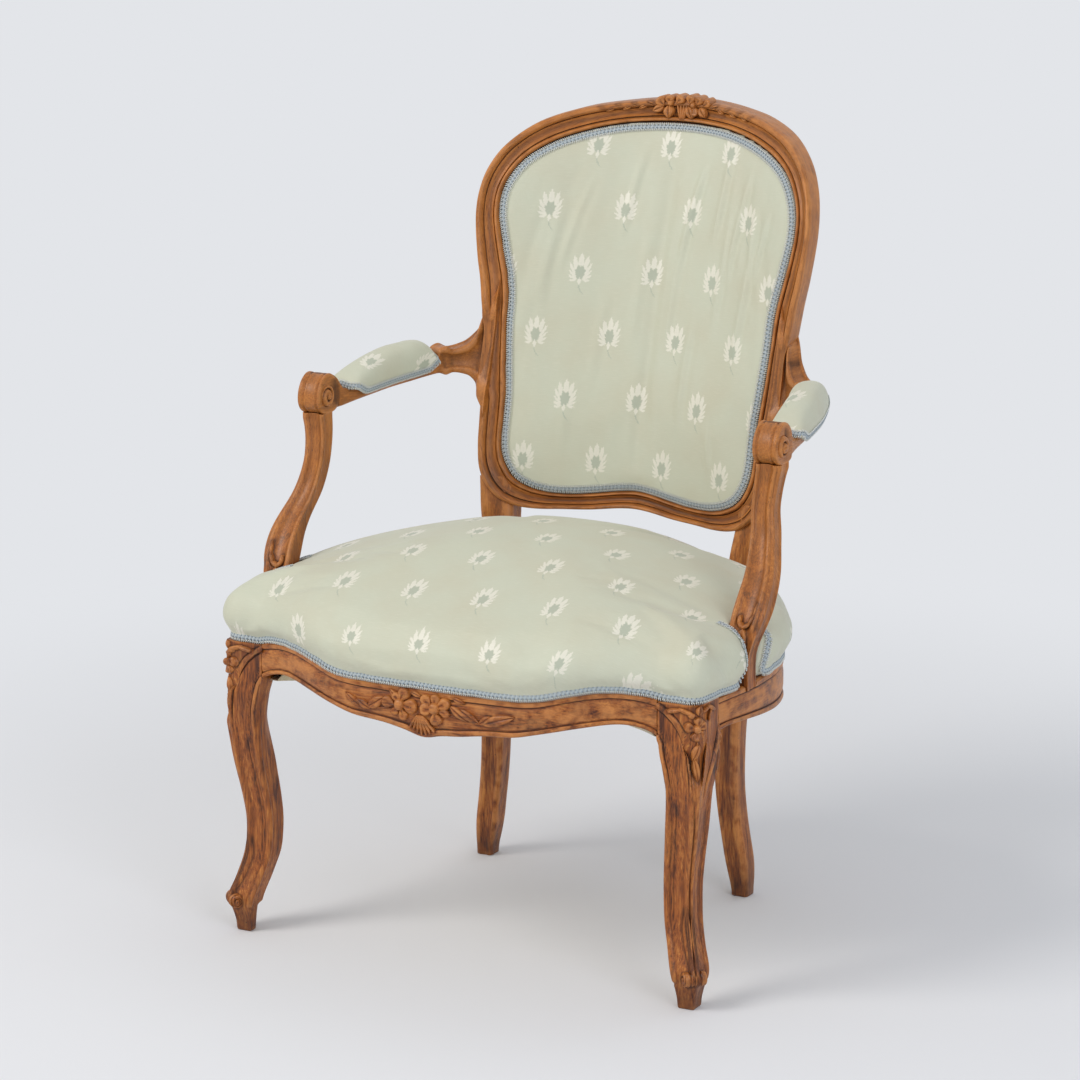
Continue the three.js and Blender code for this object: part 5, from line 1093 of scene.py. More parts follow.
def rear_rail():
    """The rear seat rail between the posts, plainly moulded."""
    x = np.linspace(-143.7, 143.7, 90)
    faces = np.stack([x, REAR_OUTLINE(np.abs(x))[:, 0]], axis=1)
    outs = np.broadcast_to([0.0, 1.0], faces.shape)
    grid = rail_grid(faces, outs, np.full(90, RAIL_TOP - 44), np.full(90, RAIL_TOP), 26)
    return finish_wood(lofted("rear_rail", grid, grain="x"), ("rear_seat_rail",))


LEG_SECTION = [
    (-0.62, 1), (-0.86, 0.97), (-0.97, 0.8), (-0.98, 0.5), (-0.97, -0.3), (-0.96, -0.56),
    (-1.03, -0.66), (-1.04, -0.84), (-0.95, -0.99), (-0.78, -1.03), (-0.64, -0.97),
    (-0.56, -0.88), (-0.3, -0.9), (0.2, -0.92), (0.4, -0.92), (0.5, -0.97), (0.62, -1.05),
    (0.76, -1.06), (0.85, -0.99), (0.85, -0.85), (0.99, -0.85), (1.06, -0.76), (1.05, -0.62),
    (0.97, -0.5), (0.92, -0.4), (0.92, -0.2), (0.92, 0.3), (0.9, 0.55), (0.99, 0.66),
    (1.03, 0.82), (0.95, 0.97), (0.76, 1.0)]
BLOCK_SECTION = [
    (-0.2, 1), (-1, 0.2), (-1, -0.8), (-0.97, -0.97), (-0.7, -0.96), (0.2, -0.95), (0.5, -0.96),
    (0.76, -0.93), (0.87, -0.87), (0.93, -0.76), (0.96, -0.5), (0.95, -0.2), (0.96, 0.5),
    (0.97, 0.97), (0.8, 1)]
FRONT_LEG = [
    (0, 0.75, 0.4, 0), (0.053, 0.75, 0.46, 0), (0.085, 0.85, 0.58, 0), (0.12, 0.85, 0.67, 0),
    (0.155, 0.42, 0.65, 0), (0.206, 0, 0.63, 0), (0.275, -0.5, 0.64, 0), (0.372, -0.62, 0.65, 0),
    (0.468, -0.4, 0.68, 0), (0.561, -0.05, 0.72, 0), (0.658, 0.25, 0.77, 0.1),
    (0.752, 0.42, 0.86, 0.4), (0.833, 0.35, 0.97, 0.8), (0.885, 0, 1, 1), (1, 0, 1, 1)]


LEG_SHAPE = eased([[h * LEG_TOP, s * 12, w * 25, b] for h, s, w, b in FRONT_LEG], 16)


def leg_shape(z):
    """Sweep outwards, half width and how far the leg is its square block, at heights."""
    return LEG_SHAPE(z).T


def leg_grid():
    heights = np.r_[np.linspace(0, 70, 50)[:-1], np.linspace(70, 225, 80)[:-1],
                    np.linspace(225, LEG_TOP, 110)]
    plain, block = ring_at(LEG_SECTION, 200), ring_at(BLOCK_SECTION, 200)
    grid = np.empty((len(heights), 200, 3))
    for i, z in enumerate(heights):
        sweep, half, share = leg_shape(z)
        field = max(float(share), float(smooth(192, 276, z)))
        # Below the scroll the foot is a plain block
        ring = mix(mix(plain, block, field), block * 0.96, float(smooth(33, 26, z)))
        grid[i, :, 0] = LEG_X + sweep + half * ring[:, 0]
        grid[i, :, 1] = LEG_Y - sweep + half * ring[:, 1]
        grid[i, :, 2] = z
    # The foot is eased where it meets the floor
    for ring, size, level in ((0, 0.8, 0.0), (1, 0.92, 0.5), (2, 0.98, 1.8)):
        grid[ring, :, :2] = mix(grid[ring, :, :2].mean(axis=0), grid[ring, :, :2], size)
        grid[ring, :, 2] = level
    return grid


def ridge(p, line, width, height, quirk):
    """A half-round bead along a line, with a narrow cut on each side of it."""
    d = near_line(p, line)
    bead = height * np.sqrt(np.clip(1 - (2 * d / width) ** 2, 0, 1))
    cut = quirk * np.exp(-(((d - width * 0.62) / (width * 0.16)) ** 2))
    return bead - cut


def corner_place(spread, level, n):
    """Place at a distance out along the leg's diagonal and a distance to the side of it."""
    root = math.sqrt(2)
    x = (root * (n + spread) + (LEG_X + LEG_Y)) / 2
    y = (root * (spread - n) + (LEG_X + LEG_Y)) / 2
    return np.stack([x, y, level], axis=1)


def knee_reach(spread):
    """How far out the knee's rounded corner lies, at a distance to the side of its middle."""
    return LEG_CORNER - (np.sqrt(spread**2 + 64) - 8) * 0.9


def knee_face(p, h):
    return corner_place(p[:, 0], p[:, 1], knee_reach(p[:, 0]) + h)


def shin_face(p, h):
    sweep, half, _ = leg_shape(p[:, 1])
    n = (LEG_X - LEG_Y + 2 * sweep + 1.9 * half) / math.sqrt(2) - 0.75 * np.abs(p[:, 0])
    return corner_place(p[:, 0], p[:, 1], n + h)


# Beads and cuts that sweep down from the rails and close in on the knee's corner: whether they
# lie on the side, their line across and up, and their width, height and cut
LEG_BEADS = (
    (0, [(238, 339), (246.5, 336.7), (256, 331), (266, 322), (273, 312.5), (279.3, 301.8),
         (285, 285.8), (287.5, 264), (287.5, 244), (286, 226)], 6.0, 2.4, 1.1),
    (1, [(-238, 334), (-244, 322), (-249, 308), (-256, 295), (-264.5, 284), (-273, 268),
         (-278.5, 252), (-280, 238), (-280, 222)], 6.0, 2.4, 1.1),
    (0, [(240, 305.5), (246, 303), (250, 296), (252.5, 284), (256, 268), (258.5, 252),
         (259.5, 238), (259, 226)], 4.6, 1.6, 0.9),
    (0, [(240, 316), (247.9, 314.4), (252.9, 300), (259, 284), (263, 268), (265.4, 243),
         (264, 226)], 1.6, 0.0, 0.9),
    (1, [(-246, 304), (-250.5, 300), (-254, 290), (-257, 274), (-258.5, 250), (-257.5, 226)],
     4.6, 1.4, 0.9))
KNEE_SHAPES = (
    ("petal", (1, 319), (3, 329), 11, 4.6), ("petal", (-2, 317), (-12.5, 318.5), 11, 5.0),
    ("petal", (0, 314), (-1, 303), 12, 5.4), ("petal", (2.5, 317.5), (12.5, 320), 11, 5.0),
    ("petal", (2, 314), (9.5, 307), 9, 4.2), ("bud", (0, 312), (0, 321), 9, 7.2),
    ("leaf", (3, 299), (-5, 281), 8.6, 4.4), ("leaf", (-3, 284), (2, 256), 8.4, 4.2),
    ("stem", (1, 302), (0, 276), 2.6, 2.6), ("stem", (-27, 333), (-16, 336), 4.6, 4.0),
    ("stem", (-17, 337), (-3, 331.5), 5.0, 4.6), ("bud", (-6, 328), (-6, 334), 5.5, 5.0),
    ("stem", (26, 331.5), (17, 337.5), 4.6, 4.0), ("stem", (18, 338), (6, 334), 4.6, 4.6),
    ("stem", (17, 322), (20, 333), 4.4, 4.0), ("leaf", (2, 331), (4, 342), 8, 4.8))


def bead_leg(leg):
    """Raises the leg's beads, cuts its thin lines and rounds its knee back for the carving."""
    co, no = table_points(leg)
    facing = no[:, 1] < -0.45, no[:, 0] > 0.45
    height = np.zeros(len(co))
    for on_side, line, width, rise, quirk in LEG_BEADS:
        flat = co[:, 1:] if on_side else co[:, ::2]
        bead = ridge(flat, line, width, rise, quirk)
        height += bead * facing[on_side] * smooth(228, 272, co[:, 2])
    # Thin lines follow the inner edges down the shaft
    sweep, half, _ = leg_shape(co[:, 2])
    shaft = smooth(240, 222, co[:, 2]) * smooth(88, 104, co[:, 2])
    for on_side, out in ((0, co[:, 0] - LEG_X), (1, LEG_Y - co[:, 1])):
        place = (out - sweep) / half
        height -= 0.9 * np.exp(-(((place + 0.32) * half / 0.8) ** 2)) * facing[on_side] * shaft
    set_points(leg, co + no * height[:, None])
    # The knee's corner is rounded back to make room for its carving
    co, no = table_points(leg)
    spread = (co[:, 0] + co[:, 1] - (LEG_X + LEG_Y)) / math.sqrt(2)
    n = (co[:, 0] - co[:, 1]) / math.sqrt(2)
    over = np.maximum(n - knee_reach(spread), 0)
    over = over * smooth(244, 268, co[:, 2]) * smooth(346, 338, co[:, 2])
    over = over * (np.abs(spread) < np.interp(co[:, 2], [250, 285, 302, 322], [6, 10, 15, 40]))
    set_points(leg, co - over[:, None] * np.array([1, -1, 0]) / math.sqrt(2))


def carve_toe(store):
    """Two tongues that run down the corner, and the reeded roll that they end in."""
    for side in (-1, 1):
        carved(store, shin_face, "leaf", (side * 3.4, 112), (side * 3.8, 40), 6.4, 1.8)
    half, level, middle, count = 11.5, 37.0, 412.4, 36
    angle = np.linspace(0, 2 * np.pi, count, endpoint=False)
    rings = []
    for s in np.linspace(-half, half, 34):
        lobe = 0.84 + 0.16 * math.cos(2 * math.pi * s / (2 * half / 3)) ** 2
        edge = 1 - 0.25 * float(smooth(half - 2.2, half, abs(s)))
        radius = 8.6 * lobe * edge
        rings.append(corner_place(
            np.full(count, s), level + radius * np.sin(angle), middle + radius * np.cos(angle)))
    add_shell(store, np.array(rings))
    for side in (-1, 1):
        end = corner_place(np.array([side * (half - 0.6)]), np.array([level]), middle)[0]
        scroll(store, end, np.array([side, side, 0]) / math.sqrt(2), (0, 0, 1), 7.6, 2.2, side)


def front_legs():
    """Front legs with a carved knee, beaded edges and a toe rolled into a scroll."""
    left = lofted("carved_leg_left", leg_grid())
    bead_leg(left)
    store = ([], [])
    carve_all(store, knee_face, KNEE_SHAPES)
    carve_toe(store)
    with_carving(left, store, "z")
    return both_sides(left, "carved_leg_right", "front_leg_left", "front_leg_right")


ARM_SECTION = [
    (-0.5, 0.02), (0, 0.03), (0.5, 0.02), (0.86, 0.0), (1.0, 0.09), (0.98, 0.2), (0.86, 0.26),
    (0.76, 0.37), (0.72, 0.5), (0.76, 0.64), (0.86, 0.74), (0.97, 0.79), (1.0, 0.89),
    (0.9, 0.98), (0.7, 1.0), (0.5, 0.965), (0.0, 0.955), (-0.5, 0.965), (-0.7, 1.0), (-0.9, 0.98),
    (-1.0, 0.89), (-0.97, 0.79), (-0.86, 0.74), (-0.76, 0.64), (-0.72, 0.5), (-0.76, 0.37),
    (-0.86, 0.26), (-0.98, 0.2), (-1.0, 0.09), (-0.86, 0.0)]
ARM_PLAIN_SECTION = [
    (-0.5, 0), (0, 0), (0.5, 0), (0.8, 0.05), (0.95, 0.17), (1.0, 0.32), (1.0, 0.5), (1.0, 0.7),
    (0.95, 0.88), (0.8, 0.98), (0.5, 1.0), (0.0, 1.0), (-0.5, 1.0), (-0.8, 0.98), (-0.95, 0.88),
    (-1.0, 0.7), (-1.0, 0.5), (-1.0, 0.32), (-0.95, 0.17), (-0.8, 0.05)]
# Side view of the hand rest, depth and height
KNUCKLE_OUTLINE = [
    (-84, 602), (-90, 608), (-97, 611.2), (-104, 611.2), (-111, 608.2), (-117, 603),
    (-121.6, 596), (-124, 588), (-124, 580), (-121, 573), (-115.5, 568), (-108, 565.4),
    (-96, 565.2), (-88, 566), (-82, 569), (-80, 576), (-79.5, 586), (-81, 596)]
# How far the hand rest's surface lies inside that outline, across its width
KNUCKLE_ACROSS = [
    (-1, 2.4), (-0.975, 1.2), (-0.93, 0.35), (-0.85, 0), (-0.77, 0.4), (-0.71, 1.6), (-0.66, 2.0),
    (-0.6, 1.5), (-0.48, 0.7), (-0.2, 1.0), (0.1, 1.0), (0.36, 0.5), (0.44, 1.4), (0.5, 1.9),
    (0.57, 1.3), (0.68, 0.35), (0.85, 0), (0.93, 0.35), (0.975, 1.2), (1, 2.4)]
ARM_ROWS = [
    (0.697, -1.06, 0.12, 0.87, -0.06, 1.78), (0.718, -1.03, 0.28, 0.84, 0.14, 1.36),
    (0.755, -0.95, 0.46, 0.84, 0.33, 1.08), (0.8, -0.85, 0.56, 0.87, 0.4, 0.99),
    (0.822, -0.79, 0.6, 1, 0.36, 1.08), (0.84, -0.735, 0.63, 0.97, 0.4, 1.02),
    (0.852, -0.69, 0.66, 0.97, 0.39, 0.7), (0.875, -0.58, 0.7, 1, 0.36, 0.66),
    (0.9, -0.41, 0.75, 1, 0.32, 0.62), (0.934, -0.135, 0.84, 1, 0.27, 0.58),
    (0.958, 0.175, 0.92, 1, 0.21, 0.54), (0.975, 0.44, 0.96, 1, 0.16, 0.51),
    (0.985, 0.56, 0.98, 1, 0.12, 0.58), (0.992, 0.65, 1, 1.02, 0, 0.89),
    (0.997, 0.73, 1, 1.03, 0, 0.99), (1, 0.81, 1, 1.04, 0, 1), (1, 0.87, 1, 1.04, 0, 0.95),
    (1, 0.915, 1, 1.03, 0, 0.87), (1, 0.96, 1, 1.02, 0.12, 0.72), (1, 0.995, 1, 0.94, 0.32, 0.55)]


def arm_stations():
    """Places along the arm: run, x, y, turn, half width, underside, top, lean with the back."""
    start = back_face(194, 600) + 0.52 * FRAME_DEPTH
    rows = [(182, start - 1.5, 0, 15.4, 532, 690, 1), (188.5, start - 1.5, 0, 15.3, 541, 678, 1),
            (193.8, start - 1.5, 0, 14.9, 549, 666, 1)]
    for k, (x, y, turn, width, low, high) in enumerate(ARM_ROWS):
        wide = width * 15.5 - (1.4 if k > 12 else 0) + (0.6 if k < 3 else 0)
        low = low if k < 9 else max(low, 0.1)
        lean = (0.7, 0.3, 0.05)[k] if k < 3 else 0
        rows.append((x * ARM_X, -y * 126, turn * math.pi / 2, wide,
                     560.3 + low * 52, 560.3 + high * 52, lean))
    rows = np.array(rows)
    return np.column_stack([run_along(rows[:, :2]), rows])


def arm_place(stations):
    """A smooth function of the way along the arm."""
    return curve_through(stations.tolist())


def station_points(station, across, level):
    x, y, turn, lean = station[0], station[1], station[2], station[6]
    y = y + BACK_LEAN * (level - 600) * lean
    return np.stack([x + math.sin(turn) * across, y + math.cos(turn) * across, level], axis=1)


def knuckle(store):
    """The rolled hand rest, reeded over its front, with a scroll on each side."""
    outline = spline(KNUCKLE_OUTLINE, 110, closed=True)
    centre = outline.mean(axis=0)
    inward = -loop_outs(outline)
    inward *= np.sign(np.einsum("ij,ij->i", inward, centre - outline))[:, None]
    rows = np.array(KNUCKLE_ACROSS)
    shares = np.unique(np.r_[rows[:, 0], np.linspace(-1, 1, 61)])
    insets = curve_through(rows.tolist())(shares)[:, 0]
    rings = []
    for shrink in (0.3, 0.7, 0.93):
        flat = mix(centre, outline + inward * insets[0], shrink)
        rings.append(np.column_stack([np.full(len(flat), HAND_X - HAND_HALF), flat]))
    for share, inset in zip(shares, insets):
        flat = outline + inward * inset
        rings.append(np.column_stack([np.full(len(flat), HAND_X + share * HAND_HALF), flat]))
    for ring in rings[2::-1]:
        rings.append(ring + (2 * HAND_HALF, 0, 0))
    add_shell(store, np.array(rings))
    for side in (-1, 1):
        scroll(store, (HAND_X + side * (HAND_HALF - 0.3), -105.5, HAND_Z), (side, 0, 0),
               (0, 0, 1), 12, 3.6, -side)


def arms():
    """Padded arms that flare out of the back's stiles and end in scrolled hand rests."""
    stations = arm_stations()
    at = arm_place(stations)
    end = stations[-5, 0]
    # The last stretch runs on inside the hand rest
    inside = np.interp(-86, -stations[::-1, 2], stations[::-1, 0])
    places = np.linspace(0, end, 190)
    fluted, plain = ring_at(ARM_SECTION, 132), ring_at(ARM_PLAIN_SECTION, 132)
    collar, seat = stations[7, 0], stations[9, 0]
    grid = np.empty((len(places), 132, 3))
    for i, place in enumerate(places):
        station = at(place)
        section = mix(fluted, plain, float(smooth(collar, seat, place)))
        level = mix(station[4], station[5], section[:, 1])
        hidden = float(smooth(inside, inside + 3, place))
        level = mix(level, HAND_Z, 0.09 * hidden)
        grid[i] = station_points(station, section[:, 0] * station[3] * (1 - 0.07 * hidden), level)
    left = lofted("moulded_arm_left", grid, grain="y")
    store = ([], [])
    knuckle(store)
    with_carving(left, store, "y")
    return both_sides(left, "moulded_arm_right", "arm_left", "arm_right")


SUPPORT_ROWS = [
    (0, 1.018, 1, 0.79, 0.93), (0.05, 1.018, 1, 0.75, 0.85), (0.16, 1.018, 0.995, 0.72, 0.85),
    (0.226, 1.021, 0.978, 0.92, 0.95), (0.292, 1.025, 0.956, 1.18, 1.1),
    (0.358, 1.032, 0.918, 1.3, 1.14), (0.447, 1.035, 0.852, 1.26, 1.08),
    (0.531, 1.028, 0.765, 1.14, 1.0), (0.615, 1.01, 0.683, 1.03, 0.94),
    (0.712, 0.997, 0.623, 0.95, 0.89), (0.814, 0.986, 0.5956, 0.91, 0.86),
    (0.92, 0.99, 0.568, 0.94, 0.9), (1, 1, 0.557, 1, 1)]
SUPPORT_SECTION = [
    (-0.7, 1), (-1, 0.65), (-1, 0.1), (-1, -0.6), (-1.02, -0.86), (-0.9, -1.02), (-0.74, -0.98),
    (-0.64, -0.84), (-0.5, -0.74), (-0.2, -0.66), (0.12, -0.68), (0.3, -0.78), (0.42, -0.94),
    (0.56, -1.03), (0.7, -1.0), (0.78, -0.88), (0.9, -0.82), (1.0, -0.7), (1.02, -0.5),
    (0.95, -0.38), (0.92, 0), (0.92, 0.55), (1.0, 0.76), (0.94, 0.93), (0.7, 1)]


SUPPORT_SHAPE = eased([
    [h * SUPPORT_HEIGHT, x * ARM_X, y * SUPPORT_Y, w * 14, d * 14]
    for h, x, y, w, d in SUPPORT_ROWS], 14)
# Five short stems make the curled lip, and two leaves hang below it
SUPPORT_SHAPES = [
    ("stem", (8.6, 428), (8.0, 414), 4.6, 3.0), ("stem", (8.2, 416), (4.2, 405), 4.6, 3.0),
    ("stem", (5.2, 406), (-2.8, 402), 4.6, 3.0), ("stem", (-1.6, 402), (-7.4, 407), 4.6, 3.0),
    ("stem", (-6.8, 405.5), (-8.2, 414), 4.6, 3.0), ("leaf", (-1, 401), (1, 374), 12, 3.2),
    ("leaf", (-4, 399), (-6, 383), 6, 2.6)]


def support_at(z):
    """Middle across, middle in depth and both half sizes of the support, at heights."""
    return SUPPORT_SHAPE(np.asarray(z, float) - SUPPORT_FOOT).T


def support_face(p, h):
    x, y, _, deep = support_at(p[:, 1])
    return np.stack([x + p[:, 0], y - deep * 0.86 - h, p[:, 1]], axis=1)


def arm_supports():
    """S-shaped supports, hollowed in front, where the hollow ends in a curled lip over a leaf."""
    heights = np.linspace(334.3, 566, 250)
    section = ring_at(SUPPORT_SECTION, 150)
    grid = np.empty((len(heights), 150, 3))
    for i, z in enumerate(heights):
        x, y, wide, deep = support_at(z)
        # The hollow fades out below the curled lip
        flat = section.copy()
        front = section[:, 1] < -0.6
        flat[front, 1] = mix(section[front, 1], -0.93, float(smooth(404, 392, z)))
        grid[i, :, 0] = x + flat[:, 0] * wide
        grid[i, :, 1] = y + flat[:, 1] * deep
        grid[i, :, 2] = z
    left = lofted("curved_support_left", grid)
    store = ([], [])
    carve_all(store, support_face, SUPPORT_SHAPES)
    with_carving(left, store, "z")
    return both_sides(
        left, "curved_support_right", "arm_support_left", "arm_support_right")


# Upholstery


def seat_half_outline():
    front = [(x * SEAT_HALF_WIDTH, float(front_y(x * SEAT_HALF_WIDTH)))
             for x in (0, 0.167, 0.333, 0.48, 0.633)]
    corner = [(245, -296), (283, -296), (291, -288), (295, -250)]
    side = spline(SIDE_LINE, 101)
    sides = [tuple(side[int(t * 100)]) for t in (0.13, 0.27, 0.41, 0.55, 0.69, 0.82)]
    post = 79.0
    rear = [(178, post), (139, post), (134, float(REAR_OUTLINE(139.0)[0]) - 5),
            (83.4, float(REAR_OUTLINE(83.4)[0])), (0, 134)]
    return front + corner + sides + rear


def seat_stations(count):
    """Places round the seat's outline, and the way out of the seat at each."""
    half = seat_half_outline()
    left = [(-x, y) for x, y in half[1:-1]][::-1]
    line = spline(half + left, count, closed=True)
    return line, loop_outs(line)


def over_front_rail(line):
    return (line[:, 1] < CORNER_Y) & (np.abs(line[:, 0]) < CORNER_X)


def seat_edge(line):
    """Height of the wood's visible top edge under the cover."""
    front = RAIL_TOP + FRONT_WAVE(np.abs(line[:, 0]))[:, 0]
    beyond = smooth(0, 1, (line[:, 1] - CORNER_Y) / 50)
    return np.where(over_front_rail(line), front, mix(LEG_TOP, RAIL_TOP, beyond))


SEAT_PROFILE = [
    (-0.35, 0.0), (-0.12, 0.03), (0.0, 0.09), (0.1, 0.155), (0.3, 0.21), (0.62, 0.29), (0.9, 0.41),
    (0.93, 0.52), (0.66, 0.71), (-0.17, 0.88), (-1.33, 1)]


def seat_body():
    """The seat's stuffed form, a little under its full size, before the cloth is drawn over it."""
    line, out = seat_stations(300)
    edge = seat_edge(line)
    # The border bulges over the rails, and less over the rear one
    bulge = mix(1, 0.25, smooth(0, 83, line[:, 1]))
    rings = []
    for share, height in spline(SEAT_PROFILE, 26):
        push = share * 12 * (bulge if share > 0 else np.ones(len(line)))
        rings.append(np.column_stack([line + out * push[:, None], edge + height * 62]))
    shoulder = rings[-1]
    for share in np.linspace(0.97, 0.06, 26):
        x = shoulder[:, 0] * share
        y = mix(SEAT_MIDDLE, shoulder[:, 1], share)
        z = mix(SEAT_CROWN, shoulder[:, 2], share**1.9)
        rings.append(np.column_stack([x, y, z]))
    inner = line - out * 14
    under = [
        np.column_stack([inner[:, 0] * share, mix(SEAT_MIDDLE, inner[:, 1], share),
                         np.full(len(line), RAIL_TOP - 1)])
        for share in (0.12, 0.4, 0.7, 0.9)]
    return np.array(under + rings)


def blank_box(low, high):
    """A plain box between two corners, to cut room with."""
    faces = [(0, 1, 3, 2), (4, 6, 7, 5), (0, 4, 5, 1), (2, 3, 7, 6), (0, 2, 6, 4), (1, 5, 7, 3)]
    return piece_from("room", list(product(*zip(low, high))), faces)


def cut_away(obj, cutters):
    """Takes the cutters' room out of a piece and removes the cutters."""
    for cutter in cutters:
        modifier = obj.modifiers.new("room", "BOOLEAN")
        modifier.object = cutter
        modifier.operation = "DIFFERENCE"
        modifier.solver = "EXACT"
    settle(obj)
    for cutter in cutters:
        bpy.data.objects.remove(cutter)


def settle(obj):
    """Turns the piece with its modifiers into a plain mesh."""
    graph = bpy.context.evaluated_depsgraph_get()
    mesh = bpy.data.meshes.new_from_object(obj.evaluated_get(graph))
    obj.modifiers.clear()
    old = obj.data
    obj.data = mesh
    bpy.data.meshes.remove(old)


def remesh(obj, size):
    modifier = obj.modifiers.new("even", "REMESH")
    modifier.mode = "VOXEL"
    modifier.voxel_size = size * MM
    modifier.use_smooth_shade = True
    settle(obj)


def blow_up(obj, pinned, cap, pressure=4.0):
    """Lets cloth settle over a pad under a little air pressure, with the pinned points held."""
    before, _ = table_points(obj)
    group = obj.vertex_groups.new(name="held")
    for index in np.flatnonzero(pinned).tolist():
        group.add([index], 1.0, "REPLACE")
    modifier = obj.modifiers.new("cloth", "CLOTH")
    settings = modifier.settings
    settings.quality = 5
    settings.mass = 0.25
    settings.tension_stiffness = 22
    settings.compression_stiffness = 18
    settings.shear_stiffness = 10
    settings.bending_stiffness = 1.2
    settings.use_pressure = True
    settings.uniform_pressure_force = pressure
    settings.vertex_group_mass = "held"
    settings.effector_weights.gravity = 0
    modifier.collision_settings.use_collision = False
    scene = bpy.context.scene
    scene.frame_start, scene.frame_end = 1, 20
    for number in range(1, 21):
        scene.frame_set(number)
    settle(obj)
    scene.frame_set(1)
    obj.vertex_groups.clear()
    after, _ = table_points(obj)
    move = after - before
    size = np.linalg.norm(move, axis=1)[:, None]
    move *= np.minimum(1, cap / np.maximum(size, 1e-6))
    move = neighbour_mean(move, edges_of(obj), 2)
    move[pinned] = 0
    set_points(obj, before + move)


def subdivide(obj):
    modifier = obj.modifiers.new("finer", "SUBSURF")
    modifier.levels = 1
    modifier.render_levels = 1
    settle(obj)


def weave_on(obj, across, up):
    """Stores the place of each point in the flat cloth."""
    store_values(obj.data, "weave", np.column_stack([across, up, np.zeros(len(up))]) * MM)


def nearest_station(flat, line, out):
    """The outline's place that is nearest to each flat point, and how far inside it that lies."""
    best = np.empty(len(flat), int)
    for first in range(0, len(flat), 4000):
        part = flat[first:first + 4000, None] - line[None]
        best[first:first + 4000] = np.argmin((part**2).sum(axis=2), axis=1)
    return best, np.einsum("ij,ij->i", line[best] - flat, out[best])


def seat_room():
    """Room in the seat for the rear posts, the arm supports and the blocks of the front legs."""
    cutters = []
    for side in (-1, 1):
        low, high = sorted((side * 138.5, side * 190))
        cutters.append(blank_box((low, 84.5, 320), (high, 150, 480)))
        rings = []
        for z in np.linspace(330, 470, 12):
            x, y, wide, deep = support_at(z)
            inner = x - (wide + 1.6)
            # Below the border's top the cover is open to the side
            outer = x + (wide + 1.6) + (40 if z < 392 else 0)
            front, rear = y - deep - 1.6, y + deep + 1.6
            rings.append([(side * inner, front, z), (side * outer, front, z),
                          (side * outer, rear, z), (side * inner, rear, z)])
        cutters.append(lofted("room", np.array(rings)))
        low, high = sorted((side * 244, side * 300))
        cutters.append(blank_box((low, -301, 320), (high, -249, 342.4)))
    return cutters


def seat_pad():
    """The stuffed seat, domed and bulging over the rails, notched round posts and supports."""
    obj = lofted("seat_pad", seat_body(), grain="y")
    cut_away(obj, seat_room())
    remesh(obj, 5.0)
    co, no = table_points(obj)
    # Its corners are rounded in beside the arm supports
    gap = np.abs(co[:, 1] - SUPPORT_Y) - 14
    low, outside = smooth(408, 384, co[:, 2]), smooth(272, 296, np.abs(co[:, 0]))
    co[:, 0] -= np.sign(co[:, 0]) * (9 * np.exp(-((gap / 13) ** 2)) * low * outside)
    set_points(obj, co)
    line, out = seat_stations(420)
    near, depth = nearest_station(co[:, :2], line, out)
    edge = seat_edge(line)
    pinned = (co[:, 2] < edge[near] + 6) | ((depth > 8) & (no[:, 2] < 0.2))
    blow_up(obj, pinned, 5.0, 3.0)
    subdivide(obj)
    co, no = table_points(obj)
    near, depth = nearest_station(co[:, :2], line, out)
    # Fine pulls in the cloth where it is tacked down along the front and sides
    border = smooth(50, 6, co[:, 2] - edge[near]) * (depth < 14)
    along = run_along(line)[near]
    pulls = np.sin(along / 5.1) + 0.6 * np.sin(along / 3.3 + 1.4) + 0.8 * np.sin(along / 11.3)
    co = co + no * (0.28 * border * pulls)[:, None]
    set_points(obj, co)
    # The cloth unfolds from the top over the border
    fold = np.maximum(edge[near] + 58 - co[:, 2], 0) * smooth(34, 12, depth)
    flat = co[:, :2] + out[near] * fold[:, None]
    weave_on(obj, flat[:, 0] + 14, flat[:, 1] + 26)
    finish_piece(obj, damask(), ("seat_cover", "seat_stuffing", "seat_canvas"))
    return obj


def panel_line(count):
    """The upholstered panel's outline, and the way out at each place."""
    line = spline(frame_loop()[::7, :2], count, closed=True)
    return line, loop_outs(line)


def panel_grid(line, out, profile, dome, centre_depth):
    """Rings from the rim of the panel to its middle, on the dished face."""
    rings = []
    for inset, depth in profile:
        place = line - out * inset
        rings.append(np.column_stack([
            place[:, 0], back_face(place[:, 0], place[:, 1]) + depth, place[:, 1]]))
    shoulder = rings[-1]
    last = profile[-1][1]
    for share in dome:
        x = shoulder[:, 0] * share
        z = mix(BACK_PAD_CENTRE_HEIGHT, shoulder[:, 2], share)
        depth = mix(centre_depth, last, share**2.2)
        rings.append(np.column_stack([x, back_face(x, z) + depth, z]))
    return rings


# Slack folds of the back's silk: where each lies, its ends, lean, depth and width
FOLDS = [
    (-128, 640, 800, 0.10, 1.0, 6.5), (-104, 690, 820, 0.22, 0.9, 5.5),
    (-62, 560, 690, 0.05, 0.6, 6.5), (-44, 730, 850, 0.16, 1.1, 5),
    (-20, 600, 760, 0.03, 0.9, 7), (4, 470, 570, -0.05, 0.6, 6), (22, 610, 740, 0.08, 1.1, 5.5),
    (34, 700, 840, 0.12, 1.8, 4.5), (52, 520, 670, 0.02, 1.1, 5.5), (74, 730, 858, 0.10, 1.7, 4.5),
    (88, 640, 790, 0.04, 1.3, 4.5), (104, 690, 840, 0.10, 1.9, 4.5), (126, 610, 800, 0.05, 1.8, 5),
    (-90, 480, 570, -0.06, 0.6, 6), (96, 470, 560, -0.1, 0.8, 5), (142, 690, 800, 0.16, 1.5, 4),
]


